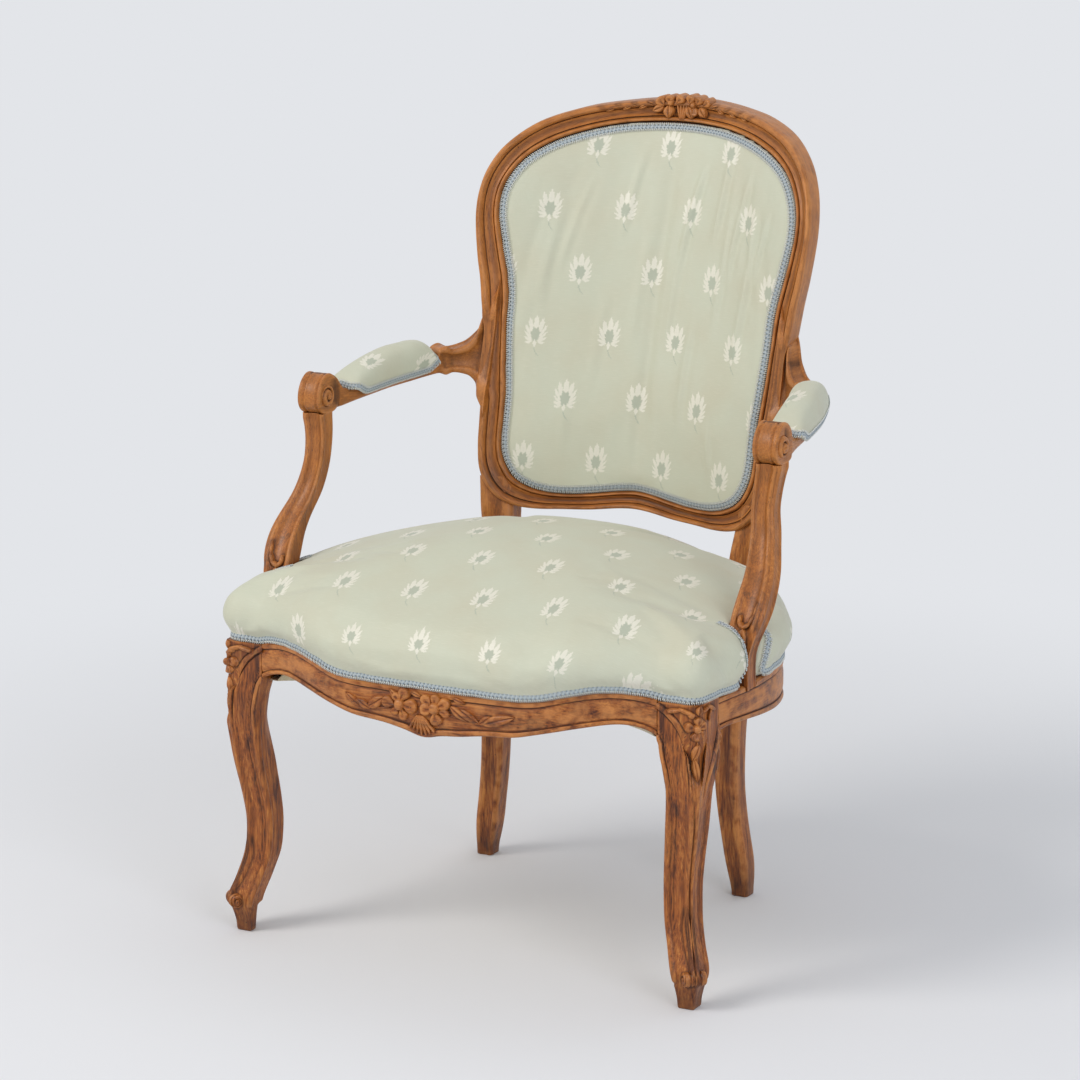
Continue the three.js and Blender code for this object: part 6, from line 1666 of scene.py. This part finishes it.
def weave_back(obj, co, slip):
    """Stores the place in the cloth that hangs over the back, in front or behind."""
    weave_on(obj, co[:, 0] * 1.02 + slip, (co[:, 2] - 699) * 1.035 + 111)


def back_pad():
    """The stuffed back, gently domed inside its frame, with slack folds down the silk."""
    line, out = panel_line(300)
    front = panel_grid(line, out, [
        (0.8, 3.0), (1.0, 1.6), (1.6, -0.2), (4, -2.2), (8, -4.4), (14, -6.6), (22, -8.4)],
        np.linspace(0.95, 0.05, 24), -12.0)
    rear = panel_grid(line, out, [(0.8, 4.4), (8, 5), (22, 5)], np.linspace(0.9, 0.05, 10), 5.0)
    obj = lofted("back_pad", np.array(rear[::-1] + front), grain="z")
    remesh(obj, 4.0)
    co, no = table_points(obj)
    _, depth = nearest_station(co[:, ::2], line, out)
    blow_up(obj, (depth < 7) | (no[:, 1] > 0.1), 4.0, 2.0)
    subdivide(obj)
    co, no = table_points(obj)
    _, depth = nearest_station(co[:, ::2], line, out)
    lift = np.zeros(len(co))
    for x, low, high, lean, deep, wide in FOLDS:
        run = smooth(low, low + 45, co[:, 2]) * smooth(high, high - 45, co[:, 2])
        off = co[:, 0] - x - lean * (co[:, 2] - (low + high) / 2)
        off = off + 1.6 * np.sin(co[:, 2] / 31 + x)
        lift += deep * run * (np.exp(-((off / wide) ** 2)) - 0.55 * np.exp(
            -(((off - 1.35 * wide) / wide) ** 2)))
    u = co[:, 0] + 4 * np.sin(co[:, 2] / 80)
    lift += 0.16 * (np.sin(u / 8.3) + np.sin(u / 13.1 + 2.0))
    folds = bpy.context.scene.armchair_cloth.folds / MM
    lift = folds * lift * smooth(7, 30, depth) * (no[:, 1] < -0.3)
    co = co + no * lift[:, None]
    set_points(obj, co)
    weave_back(obj, co, 8)
    finish_piece(obj, damask(), ("back_cover", "back_stuffing", "back_canvas"))
    return obj


PAD_OUTER = [(1.02, 0), (1.1, 0.14), (1.13, 0.3), (1.04, 0.62), (0.76, 0.88), (0.35, 1)]
PAD_RISE = curve_through([
    [0, 0.42], [0.05, 0.78], [0.13, 0.97], [0.28, 1.05], [0.48, 1.03], [0.68, 0.93], [0.84, 0.78],
    [0.95, 0.58], [1, 0.36]])


def pad_places():
    """Where the arm pad starts and ends along the arm."""
    run = arm_stations()[9:17, 0]
    return np.interp(0.02, range(8), run), np.interp(5.35, range(8), run)


def pad_foot(station, share):
    """Height of the pad's lower edge, which climbs over the arm at both ends."""
    climb = 0.45 * smooth(0.10, 0.0, share) + 0.5 * smooth(0.84, 0.985, share)
    return mix(station[4], station[5], 0.48 + climb)


def pad_ring(at, place, share, count=48):
    station = at(place)
    foot = pad_foot(station, share)
    saddle = station[5] + 0.8
    base = mix(station[4], station[5], 0.48)
    top = max(base + float(PAD_RISE(share)[0]) * 37, saddle + 5.5, foot + 7)
    side = station[3] + 4
    half = [(a * side, mix(foot, top, b)) for a, b in PAD_OUTER]
    over = spline(half + [(-a, z) for a, z in half[::-1]], count)
    inside = station[3] + 0.8
    under = np.array([(-inside, foot), (-inside, mix(foot, saddle, 0.6)), (-inside, saddle),
                      (0, saddle), (inside, saddle), (inside, mix(foot, saddle, 0.6)),
                      (inside, foot)])
    both = np.vstack([over, under])
    return station_points(station, both[:, 0], both[:, 1])


def arm_pads():
    """Small saddle-shaped pads on the arms."""
    at = arm_place(arm_stations())
    start, end = pad_places()
    shares = (1 - np.cos(np.linspace(0, np.pi, 70))) / 2
    grid = np.array([pad_ring(at, mix(start, end, s), s) for s in shares])
    left = lofted("covered_arm_pad_left", grid, grain="y", crown=2.0)
    subdivide(left)
    co, no = table_points(left)
    lumps = 0.35 * np.sin(co[:, 1] / 7.0 + 1) * np.sin(co[:, 0] / 9.0) * smooth(588, 600, co[:, 2])
    co = co + no * lumps[:, None]
    set_points(left, co)
    right = mirrored(left, "covered_arm_pad_right")
    for obj, name, side, slip in ((left, "left", 1, 37.2), (right, "right", -1, 57.2)):
        co, _ = table_points(obj)
        over = np.abs(co[:, 0]) - 262
        around = over + np.sign(over) * np.maximum(612 - co[:, 2], 0)
        weave_on(obj, side * around + 43, co[:, 1] + slip)
        finish_piece(obj, damask(), (f"arm_pad_{name}",))
    return [left, right]


# Cloth sheets


def sheet_mesh(name, rings, centre, thick):
    """A thin closed sheet through rings that end at a centre point."""
    count = rings[0].shape[0]
    points = np.vstack(rings + [np.array([centre])])
    faces = grid_faces(len(rings), count, False)
    last = (len(rings) - 1) * count
    faces += [(last + k, last + (k + 1) % count, len(points) - 1) for k in range(count)]
    obj = piece_from(name, points, faces)
    modifier = obj.modifiers.new("cloth", "SOLIDIFY")
    modifier.thickness = thick * MM
    modifier.offset = 0
    settle(obj)
    return obj


def dust_cover():
    """Undyed cotton tacked under the rails, sagging a little."""
    line, _ = seat_stations(240)
    edge = np.where(over_front_rail(line), RAIL_TOP - FRONT_DROP(np.abs(line[:, 0]))[:, 0], 297)
    rings = []
    for share in np.linspace(0.94, 0.08, 24):
        x = line[:, 0] * share
        y = mix(SEAT_MIDDLE, line[:, 1], share)
        level = mix(289, np.maximum(edge, 286) + 1.2, smooth(0.55, 0.94, share))
        level = level + 0.5 * np.sin(x / 23) * np.sin(y / 19) * (1 - share)
        rings.append(np.column_stack([x, y, level]))
    # The cloth is cut back round the legs: from which x, between which y, and where it is open
    for ring in rings:
        for low_x, low_y, high_y, open_y in ((243, -400, -248, -248), (142, 66, 200, 66)):
            reach = np.abs(ring[:, 0])
            inside = (reach > low_x) & (ring[:, 1] > low_y) & (ring[:, 1] < high_y)
            beside = reach - low_x <= np.abs(ring[:, 1] - open_y)
            ring[inside & beside, 0] = np.sign(ring[inside & beside, 0]) * low_x
            ring[inside & ~beside, 1] = open_y
    centre = np.array([0, SEAT_MIDDLE, 289.0])
    obj = sheet_mesh("dust_cover_cloth", rings, centre, 0.8)
    finish_piece(obj, plain_cloth(
        "undyed_cotton", "#DCD2BA", "#C4B796", 0.0016), ("dust_cover",))
    return obj


def outside_back():
    """Damask stretched over the back of the frame, inside its rebate."""
    line, out = panel_line(240)
    profile = [(1.6, 27.4), (8, 27.5), (22, 27.6)]
    rings = panel_grid(line, out, profile, np.linspace(0.9, 0.06, 20), 28.0)
    centre = np.array([0, back_face(0, BACK_PAD_CENTRE_HEIGHT) + 28.0, BACK_PAD_CENTRE_HEIGHT])
    obj = sheet_mesh("outside_back_cloth", rings, centre, 1.0)
    weave_back(obj, table_points(obj)[0], 51)
    finish_piece(obj, damask(), ("outside_back_cover",))
    return obj


def webbing_straps():
    """Jute straps under the canvas of the seat and behind the stuffing of the back."""
    made = []
    names = [f"seat_webbing_{way}_{k}" for way in ("lengthwise", "across") for k in range(1, 5)]
    names += [f"back_webbing_{k}" for k in range(1, 4)]
    for name in names:
        low, high = (np.array(corner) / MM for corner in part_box(name))
        low[1] -= DEPTH_SHIFT
        high[1] -= DEPTH_SHIFT
        is_back = name.startswith("back")
        along = 2 if is_back else (1 if "lengthwise" in name else 0)
        across = 1 if along == 0 else 0
        grid = []
        for s in np.linspace(0, 1, 60):
            ring = []
            for side, t in [(0, t) for t in np.linspace(0, 1, 12)] + [
                    (1, t) for t in np.linspace(1, 0, 12)]:
                point = np.zeros(3)
                point[along] = mix(low[along], high[along], s)
                point[across] = mix(low[across], high[across], t)
                if is_back:
                    far = back_face(point[0], point[2]) + 8.4
                    point[1] = far - (1.5 if side == 0 else 0)
                else:
                    point[2] = (low[2] if side == 0 else high[2]) - 0.5 * math.sin(math.pi * s)
                ring.append(point)
            grid.append(ring)
        obj = lofted(f"strap_{name}", np.array(grid), grain="xyz"[along])
        finish_piece(obj, plain_cloth(
            "jute_webbing", "#B2966A", "#7C6440", 0.0032), (name,), angle=50)
        made.append(obj)
    return made


# Gimp braid, repeated along its line by a node tree


def gimp_unit():
    """One woven unit of the braid: a flat band with two dots and a picot edge on each side."""
    bm = bmesh.new()
    kinds = bm.faces.layers.int.new("kind")

    def blob(centre, size, kind, segments=6, rings=3):
        made = bmesh.ops.create_uvsphere(bm, u_segments=segments, v_segments=rings, radius=1.0)
        for vert in made["verts"]:
            vert.co = Vector([c + v * s for c, v, s in zip(centre, vert.co, size)])
            for face in vert.link_faces:
                face[kinds] = kind

    # Across is x, along is y and out of the cloth is z, all in millimetres
    blob((0, 0, 0.0), (3.2, 2.5, 0.8), 0, 8, 4)
    for side in (-1, 1):
        blob((side * 1.3, side * 1.0, 0.62), (0.9, 0.62, 0.34), 2)
        blob((side * 1.6, side * -1.0, 0.5), (0.6, 0.5, 0.3), 0)
        for step in (-1, 1):
            blob((side * 3.2, step * 1.05, 0.3), (0.95, 0.9, 0.66), 1)
            blob((side * 4.5, step * 1.05 + 0.5, 0.1), (0.85, 0.5, 0.5), 1)
    for face in bm.faces:
        face.smooth = True
    bmesh.ops.scale(bm, vec=(MM, MM, MM), verts=bm.verts)
    mesh = bpy.data.meshes.new("gimp_unit")
    bm.to_mesh(mesh)
    bm.free()
    obj = bpy.data.objects.new("gimp_unit", mesh)
    bpy.context.scene.collection.objects.link(obj)
    return obj


def hug(pad, line, lift=0.5):
    """The line drawn onto a pad's surface, and the way out of the surface along it."""
    places, ways = [], []
    for point in row_place(line):
        _, place, way, _ = pad.closest_point_on_mesh(Vector(point))
        places.append(place + way * lift * MM)
        ways.append(way)
    places = np.array(places) / MM
    places[:, 1] -= DEPTH_SHIFT
    ways = np.array(ways)
    for turn in range(16):
        ways[1:-1] = (ways[:-2] + 2 * ways[1:-1] + ways[2:]) / 4
        if turn < 7:
            places[1:-1] = (places[:-2] + 2 * places[1:-1] + places[2:]) / 4
    return places, units(ways)


def gimp_tree():
    """Node tree that sets a unit on each point, turned by the point's stored directions."""
    found = bpy.data.node_groups.get("gimp_braid")
    if found:
        return found
    tree = bpy.data.node_groups.new("gimp_braid", "GeometryNodeTree")
    tree.interface.new_socket("Geometry", in_out="INPUT", socket_type="NodeSocketGeometry")
    tree.interface.new_socket("Unit", in_out="INPUT", socket_type="NodeSocketObject")
    size = tree.interface.new_socket("Size", in_out="INPUT", socket_type="NodeSocketFloat")
    size.default_value = 1.0
    for name in ("Band", "Edge", "Dots"):
        tree.interface.new_socket(name, in_out="INPUT", socket_type="NodeSocketMaterial")
    tree.interface.new_socket("Geometry", in_out="OUTPUT", socket_type="NodeSocketGeometry")
    entry = put(tree, "NodeGroupInput")

    def named(key, data_type):
        return put(
            tree, "GeometryNodeInputNamedAttribute", {"Name": key}, data_type=data_type).outputs

    turn = put(tree, "FunctionNodeAxesToRotation", {
        "Primary Axis": named("out", "FLOAT_VECTOR")[0],
        "Secondary Axis": named("along", "FLOAT_VECTOR")[0]},
        primary_axis="Z", secondary_axis="Y")
    unit = put(tree, "GeometryNodeObjectInfo", {"Object": entry.outputs[1]})
    spread = put(tree, "GeometryNodeInstanceOnPoints", {
        "Points": entry.outputs[0], "Instance": unit.outputs["Geometry"],
        "Rotation": turn.outputs[0],
        "Scale": put(tree, "ShaderNodeCombineXYZ", [entry.outputs[2]] * 3)})
    done = put(tree, "GeometryNodeRealizeInstances", {0: spread.outputs[0]}).outputs[0]
    kind = next(out for out in named("kind", "INT") if out.type == "INT")
    for number, socket in enumerate(entry.outputs[3:6]):
        chosen = put(tree, "FunctionNodeCompare", data_type="INT", operation="EQUAL")
        a, b = [item for item in chosen.inputs if item.type == "INT"]
        tree.links.new(kind, a)
        b.default_value = number
        done = put(tree, "GeometryNodeSetMaterial", {
            "Geometry": done, "Selection": chosen, "Material": socket}).outputs[0]
    leave = put(tree, "NodeGroupOutput")
    tree.links.new(done, leave.inputs[0])
    return tree


def gimp_along(name, line, out, nodes, size=1.0):
    """Braid along a line of places, facing the given way at each."""
    pitch = bpy.context.scene.armchair_cloth.gimp_pitch / MM * size
    run = run_along(line)
    count = max(2, int(run[-1] / pitch))
    places = (np.arange(count) + 0.5) * run[-1] / count
    points = at_places(places, run, line)
    base = piece_from(name, points, [], {
        "along": units(np.gradient(points, axis=0)), "out": units(at_places(places, run, out))})
    unit = gimp_unit()
    modifier = base.modifiers.new("braid", "NODES")
    modifier.node_group = gimp_tree()
    keys = {item.name: item.identifier for item in modifier.node_group.interface.items_tree
            if item.in_out == "INPUT"}
    modifier[keys["Unit"]] = unit
    modifier[keys["Size"]] = size
    for key, *finish in (
            ("Band", "gimp_band", "#B9C1C2", "#96A3A9"),
            ("Edge", "gimp_edge", "#DFE1DB", "#BEC3BF"),
            ("Dots", "gimp_dot", "#76879A", "#5E6F80")):
        modifier[keys[key]] = braid_material(*finish)
    settle(base)
    bpy.data.objects.remove(unit)
    return finish_piece(base, None, nodes)


def seat_gimp():
    """Braid along the foot of the seat's cover, turned up on both sides of each arm support."""
    pad = bpy.data.objects["seat_pad"]
    line, out = seat_stations(900)
    place = np.column_stack([line + out * 3.0, seat_edge(line) + 4.6])
    y = line[:, 1]

    def pick(mask):
        """The one run of places where the mask holds."""
        start = next(i for i in range(len(mask)) if mask[i] and not mask[i - 1])
        order = np.roll(np.arange(len(mask)), -start)
        return order[: int(np.argmin(mask[order]))]

    def turn_up(side, way):
        """The end beside a support, from the rail up and then in over the seat."""
        rows = []
        for z in np.linspace(352, 396, 10):
            sx, sy, wide, deep = support_at(z)
            rows.append((side * (sx + wide + 16), sy + way * (deep + 5.4), z))
        sx, sy, wide, deep = support_at(400)
        for reach, z in ((6, 402), (-4, 407), (-14, 412), (-24, 416)):
            rows.append((side * (sx + reach), sy + way * (deep + 6.2), z))
        return spline(rows, 60)

    def braid(name, path, node):
        """Braid along the rails stands upright instead of facing down under the bulge."""
        places, ways = hug(pad, path, 0.8)
        ways[:, 2] = np.maximum(ways[:, 2], 0.12)
        return gimp_along(name, places, units(ways), (node,), 1.12)

    front = pick(y < SUPPORT_Y - 22)
    first = 1 if line[front[0], 0] > 0 else -1
    path = np.vstack([turn_up(first, -1)[::-1], place[front], turn_up(-first, -1)])
    made = [braid("seat_gimp_front_braid", path, "seat_gimp_front")]
    for side, label in ((1, "left"), (-1, "right")):
        run = pick((line[:, 0] * side > 0) & (y > SUPPORT_Y + 22) & (y < 72))
        if y[run[0]] > y[run[-1]]:
            run = run[::-1]
        path = np.vstack([turn_up(side, 1)[::-1], place[run]])
        made.append(braid(f"seat_gimp_side_{label}_braid", path, f"seat_gimp_side_{label}"))
    return made


def back_gimp():
    """Braid round the edge of the back's panel."""
    line, out = panel_line(900)
    place = line - out * 5.6
    points = np.column_stack([
        place[:, 0], back_face(place[:, 0], place[:, 1]) - 5.0, place[:, 1]])
    points = np.vstack([points, points[:1]])
    return gimp_along(
        "back_gimp_braid", *hug(bpy.data.objects["back_pad"], points), ("back_gimp",), 1.08)


def arm_gimps():
    """Braid round the foot of each arm pad, up over its two ends."""
    at = arm_place(arm_stations())
    start, end = pad_places()
    made = []
    for side, label in ((1, "left"), (-1, "right")):
        pad = bpy.data.objects[f"covered_arm_pad_{label}"]
        for way, word in ((1, "outer"), (-1, "inner")):
            rows = []
            for share in np.linspace(0.0, 1.0, 60):
                station = at(mix(start, end, share))
                level = pad_foot(station, share) + 4.2
                rows.append(station_points(
                    station, np.array([way * (station[3] + 6)]), np.array([level]))[0])
            for step, place in ((-1, start - 3.0), (1, end + 3.0)):
                station = at(place)
                ends = [station_points(station, np.array([way * station[3] * across]),
                                       np.array([station[5] + rise]))[0]
                        for across, rise in ((0.8, 3.4), (0.45, 5.0), (0.04, 5.6))]
                rows = ends[::-1] + rows if step < 0 else rows + ends
            path = np.array(rows) * (side, 1, 1)
            made.append(gimp_along(
                f"arm_gimp_{word}_{label}_braid", *hug(pad, spline(path, 200)),
                (f"arm_gimp_{word}_{label}",), 0.95))
    return made


# Stage


def lamp(name, place, target, size, power, tint):
    light = bpy.data.lights.new(name, "AREA")
    light.shape = "DISK"
    light.size = size
    light.energy = power
    light.color = colour(tint)[:3]
    obj = bpy.data.objects.new(name, light)
    obj.location = place
    obj.rotation_euler = (Vector(target) - Vector(place)).to_track_quat("-Z", "Y").to_euler()
    bpy.context.scene.collection.objects.link(obj)
    return obj


FLOOR_RINGS = (0.8, 1.6, 2.4, 4.0, 8.0, 16.0)
FLOOR_SIDES = 48


def pale_floor():
    """A wide round floor, which fades into the pale background some way from the chair."""
    points = [(radius * math.cos(a), radius * math.sin(a), 0.0) for radius in FLOOR_RINGS
              for a in np.linspace(0, math.tau, FLOOR_SIDES, endpoint=False)]
    faces = [tuple(range(FLOOR_SIDES))] + [
        face[::-1] for face in grid_faces(len(FLOOR_RINGS), FLOOR_SIDES, False)]
    mesh = bpy.data.meshes.new("pale_floor")
    mesh.from_pydata(points, [], faces)
    mesh.materials.append(pale_paper())
    obj = bpy.data.objects.new("pale_floor", mesh)
    bpy.context.scene.collection.objects.link(obj)
    return obj


# Settings that a user may change


class WoodSettings(bpy.types.PropertyGroup):
    mid: bpy.props.FloatVectorProperty(
        name="Wood", description="Colour of most of the wood", subtype="COLOR",
        min=0, max=1, default=colour("#98531F")[:3])
    dark: bpy.props.FloatVectorProperty(
        name="Dark grain", description="Colour of the dark grain and pores", subtype="COLOR",
        min=0, max=1, default=colour("#472210")[:3])
    light: bpy.props.FloatVectorProperty(
        name="Light grain", description="Colour of the light grain", subtype="COLOR",
        min=0, max=1, default=colour("#C17E3B")[:3])
    carving: bpy.props.FloatProperty(
        name="Carving", description="Height of the carved relief, 1 as on the real chair",
        subtype="FACTOR", min=0, max=2, default=1.0)


class ClothSettings(bpy.types.PropertyGroup):
    ground: bpy.props.FloatVectorProperty(
        name="Ground", description="Colour of the damask's ground", subtype="COLOR",
        min=0, max=1, default=colour("#C6C9B4")[:3])
    cream: bpy.props.FloatVectorProperty(
        name="Sprigs", description="Colour of the woven sprigs", subtype="COLOR",
        min=0, max=1, default=colour("#E4E1D2")[:3])
    shade: bpy.props.FloatVectorProperty(
        name="Shading", description="Colour of the shaded parts of the sprigs", subtype="COLOR",
        min=0, max=1, default=colour("#A9B1A0")[:3])
    repeat_width: bpy.props.FloatProperty(
        name="Repeat width", description="Width of one repeat of the pattern", subtype="DISTANCE",
        unit="LENGTH", min=0.02, max=0.5, default=0.086)
    repeat_height: bpy.props.FloatProperty(
        name="Repeat height", description="Height from one row of sprigs to the next",
        subtype="DISTANCE", unit="LENGTH", min=0.02, max=0.5, default=0.0745)
    folds: bpy.props.FloatProperty(
        name="Folds", description="Depth of the slack folds in the back's silk",
        subtype="DISTANCE", unit="LENGTH", min=0, max=0.004, default=0.0017)
    gimp_pitch: bpy.props.FloatProperty(
        name="Braid pitch", description="Length of one woven unit of the braid",
        subtype="DISTANCE", unit="LENGTH", min=0.002, max=0.01, default=0.0042)


class StageSettings(bpy.types.PropertyGroup):
    power: bpy.props.FloatProperty(
        name="Light", description="Strength of the studio light, 1 as photographed",
        subtype="FACTOR", min=0.1, max=5, default=1.0)


# One operator for each piece or group of like pieces


def finish_joinery():
    peg, block = ("peg_end_grain", "#7A4526", "#4A2817"), ("plain_beech", "#B99468", "#96744B")
    for start, finish in (
            ("peg_", peg), ("front_corner_block", block), ("rear_corner_block", block)):
        for key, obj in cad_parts.items():
            if key.startswith(start):
                obj.data.materials.clear()
                obj.data.materials.append(plain_wood(*finish))


class PieceOperator:
    bl_options = {"REGISTER", "UNDO"}

    def execute(self, context):
        made = self.build()
        if not made:
            raise RuntimeError(f"{self.bl_label} made nothing")
        return {"FINISHED"}


class ARMCHAIR_OT_back_frame(PieceOperator, bpy.types.Operator):
    """Build the moulded frame of the back with its carved crest"""
    bl_idname = "armchair.back_frame"
    bl_label = "Back Frame"
    build = staticmethod(back_frame)


class ARMCHAIR_OT_rear_posts(PieceOperator, bpy.types.Operator):
    """Build the rear legs"""
    bl_idname = "armchair.rear_posts"
    bl_label = "Rear Posts"
    build = staticmethod(rear_posts)


class ARMCHAIR_OT_front_legs(PieceOperator, bpy.types.Operator):
    """Build the front legs with their carved knees and scrolled toes"""
    bl_idname = "armchair.front_legs"
    bl_label = "Front Legs"
    build = staticmethod(front_legs)


class ARMCHAIR_OT_front_rail(PieceOperator, bpy.types.Operator):
    """Build the carved front seat rail"""
    bl_idname = "armchair.front_rail"
    bl_label = "Front Rail"
    build = staticmethod(front_rail)


class ARMCHAIR_OT_side_rails(PieceOperator, bpy.types.Operator):
    """Build the curved side seat rails"""
    bl_idname = "armchair.side_rails"
    bl_label = "Side Rails"
    build = staticmethod(side_rails)


class ARMCHAIR_OT_rear_rail(PieceOperator, bpy.types.Operator):
    """Build the rear seat rail"""
    bl_idname = "armchair.rear_rail"
    bl_label = "Rear Rail"
    build = staticmethod(rear_rail)


class ARMCHAIR_OT_arms(PieceOperator, bpy.types.Operator):
    """Build the arms with their scrolled ends"""
    bl_idname = "armchair.arms"
    bl_label = "Arms"
    build = staticmethod(arms)


class ARMCHAIR_OT_arm_supports(PieceOperator, bpy.types.Operator):
    """Build the curved supports of the arms"""
    bl_idname = "armchair.arm_supports"
    bl_label = "Arm Supports"
    build = staticmethod(arm_supports)


class ARMCHAIR_OT_joinery(bpy.types.Operator):
    """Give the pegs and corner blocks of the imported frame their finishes"""
    bl_idname = "armchair.joinery"
    bl_label = "Pegs and Blocks"

    def execute(self, context):
        finish_joinery()
        return {"FINISHED"}


class ARMCHAIR_OT_seat_pad(PieceOperator, bpy.types.Operator):
    """Build the stuffed and covered seat"""
    bl_idname = "armchair.seat_pad"
    bl_label = "Seat"
    build = staticmethod(seat_pad)


class ARMCHAIR_OT_back_pad(PieceOperator, bpy.types.Operator):
    """Build the stuffed and covered back"""
    bl_idname = "armchair.back_pad"
    bl_label = "Back Panel"
    build = staticmethod(back_pad)


class ARMCHAIR_OT_arm_pads(PieceOperator, bpy.types.Operator):
    """Build the pads on the arms"""
    bl_idname = "armchair.arm_pads"
    bl_label = "Arm Pads"
    build = staticmethod(arm_pads)


class ARMCHAIR_OT_sheets(PieceOperator, bpy.types.Operator):
    """Build the dust cover and the cloth over the outside of the back"""
    bl_idname = "armchair.sheets"
    bl_label = "Cloth Sheets"
    build = staticmethod(lambda: [dust_cover(), outside_back()])


class ARMCHAIR_OT_webbing(PieceOperator, bpy.types.Operator):
    """Build the jute straps"""
    bl_idname = "armchair.webbing"
    bl_label = "Webbing"
    build = staticmethod(webbing_straps)


class ARMCHAIR_OT_braid(PieceOperator, bpy.types.Operator):
    """Build the gimp braid round the seat, the back and the arm pads"""
    bl_idname = "armchair.braid"
    bl_label = "Braid"
    build = staticmethod(lambda: [seat_gimp(), back_gimp(), arm_gimps()])


class ARMCHAIR_OT_stage(bpy.types.Operator):
    """Set up the floor, the light and the camera"""
    bl_idname = "armchair.stage"
    bl_label = "Stage"

    def execute(self, context):
        scene = context.scene
        power = scene.armchair_stage.power
        floor = pale_floor()
        lights = [
            lamp("key_light", (-2.2, -3.0, 3.4), (0, 0, 0.45), 2.2, 94 * power, "#FFFAF4"),
            lamp("fill_light", (3.2, -2.2, 2.0), (0, 0, 0.5), 2.4, 40 * power, "#F5F7FF"),
            lamp("top_light", (0.3, 1.2, 3.6), (0, 0, 0.6), 1.8, 6 * power, "#FFFFFF"),
        ]
        world = bpy.data.worlds.new("studio")
        world.use_nodes = True
        world.node_tree.nodes.clear()
        tree = world.node_tree
        light = put(tree, "ShaderNodeBackground", {
            "Color": colour("#F0F1F4"), "Strength": 0.66 * power})
        pale = put(tree, "ShaderNodeBackground", {"Color": colour(BACKGROUND)})
        both = put(tree, "ShaderNodeMixShader", {0: seen(tree), 1: light, 2: pale})
        put(tree, "ShaderNodeOutputWorld", {"Surface": both})
        scene.world = world
        scene.view_settings.view_transform = "Standard"
        data = bpy.data.cameras.new("photo_camera")
        data.sensor_width = 36
        data.lens = 140.06
        camera = bpy.data.objects.new("photo_camera", data)
        camera.location = (2.1267, -4.1484 + DEPTH_SHIFT * MM, 1.5692)
        camera.rotation_euler = [math.radians(a) for a in (76.21, 0, 27.71)]
        scene.collection.objects.link(camera)
        scene.camera = camera
        return {"FINISHED"}


ORDER = (
    ARMCHAIR_OT_back_frame, ARMCHAIR_OT_rear_posts, ARMCHAIR_OT_front_legs, ARMCHAIR_OT_front_rail,
    ARMCHAIR_OT_side_rails, ARMCHAIR_OT_rear_rail, ARMCHAIR_OT_arms, ARMCHAIR_OT_arm_supports,
    ARMCHAIR_OT_joinery, ARMCHAIR_OT_seat_pad, ARMCHAIR_OT_back_pad, ARMCHAIR_OT_arm_pads,
    ARMCHAIR_OT_sheets, ARMCHAIR_OT_webbing, ARMCHAIR_OT_braid, ARMCHAIR_OT_stage)


class ARMCHAIR_PT_panel(bpy.types.Panel):
    """Sizes, colours and building steps of the armchair"""
    bl_idname = "ARMCHAIR_PT_panel"
    bl_label = "Carved Armchair"
    bl_space_type = "VIEW_3D"
    bl_region_type = "UI"
    bl_category = "Armchair"

    def draw(self, context):
        layout = self.layout
        scene = context.scene
        for title, group, names in (
                ("Wood", scene.armchair_wood, ("mid", "dark", "light", "carving")),
                ("Cloth", scene.armchair_cloth, (
                    "ground", "cream", "shade", "repeat_width", "repeat_height", "folds",
                    "gimp_pitch")),
                ("Stage", scene.armchair_stage, ("power",))):
            box = layout.box()
            box.label(text=title)
            for name in names:
                box.prop(group, name)
        column = layout.column(align=True)
        for kind in ORDER:
            column.operator(kind.bl_idname)


GROUPS = (("armchair_wood", WoodSettings), ("armchair_cloth", ClothSettings),
          ("armchair_stage", StageSettings))


def register():
    for name, kind in GROUPS:
        bpy.utils.register_class(kind)
        setattr(bpy.types.Scene, name, bpy.props.PointerProperty(type=kind))
    for kind in ORDER:
        bpy.utils.register_class(kind)
    bpy.utils.register_class(ARMCHAIR_PT_panel)


def unregister():
    bpy.utils.unregister_class(ARMCHAIR_PT_panel)
    for kind in reversed(ORDER):
        bpy.utils.unregister_class(kind)
    for name, kind in reversed(GROUPS):
        delattr(bpy.types.Scene, name)
        bpy.utils.unregister_class(kind)


def main():
    register()
    for kind in ORDER:
        group, name = kind.bl_idname.split(".")
        getattr(getattr(bpy.ops, group), name)()


if __name__ == "__main__":
    main()
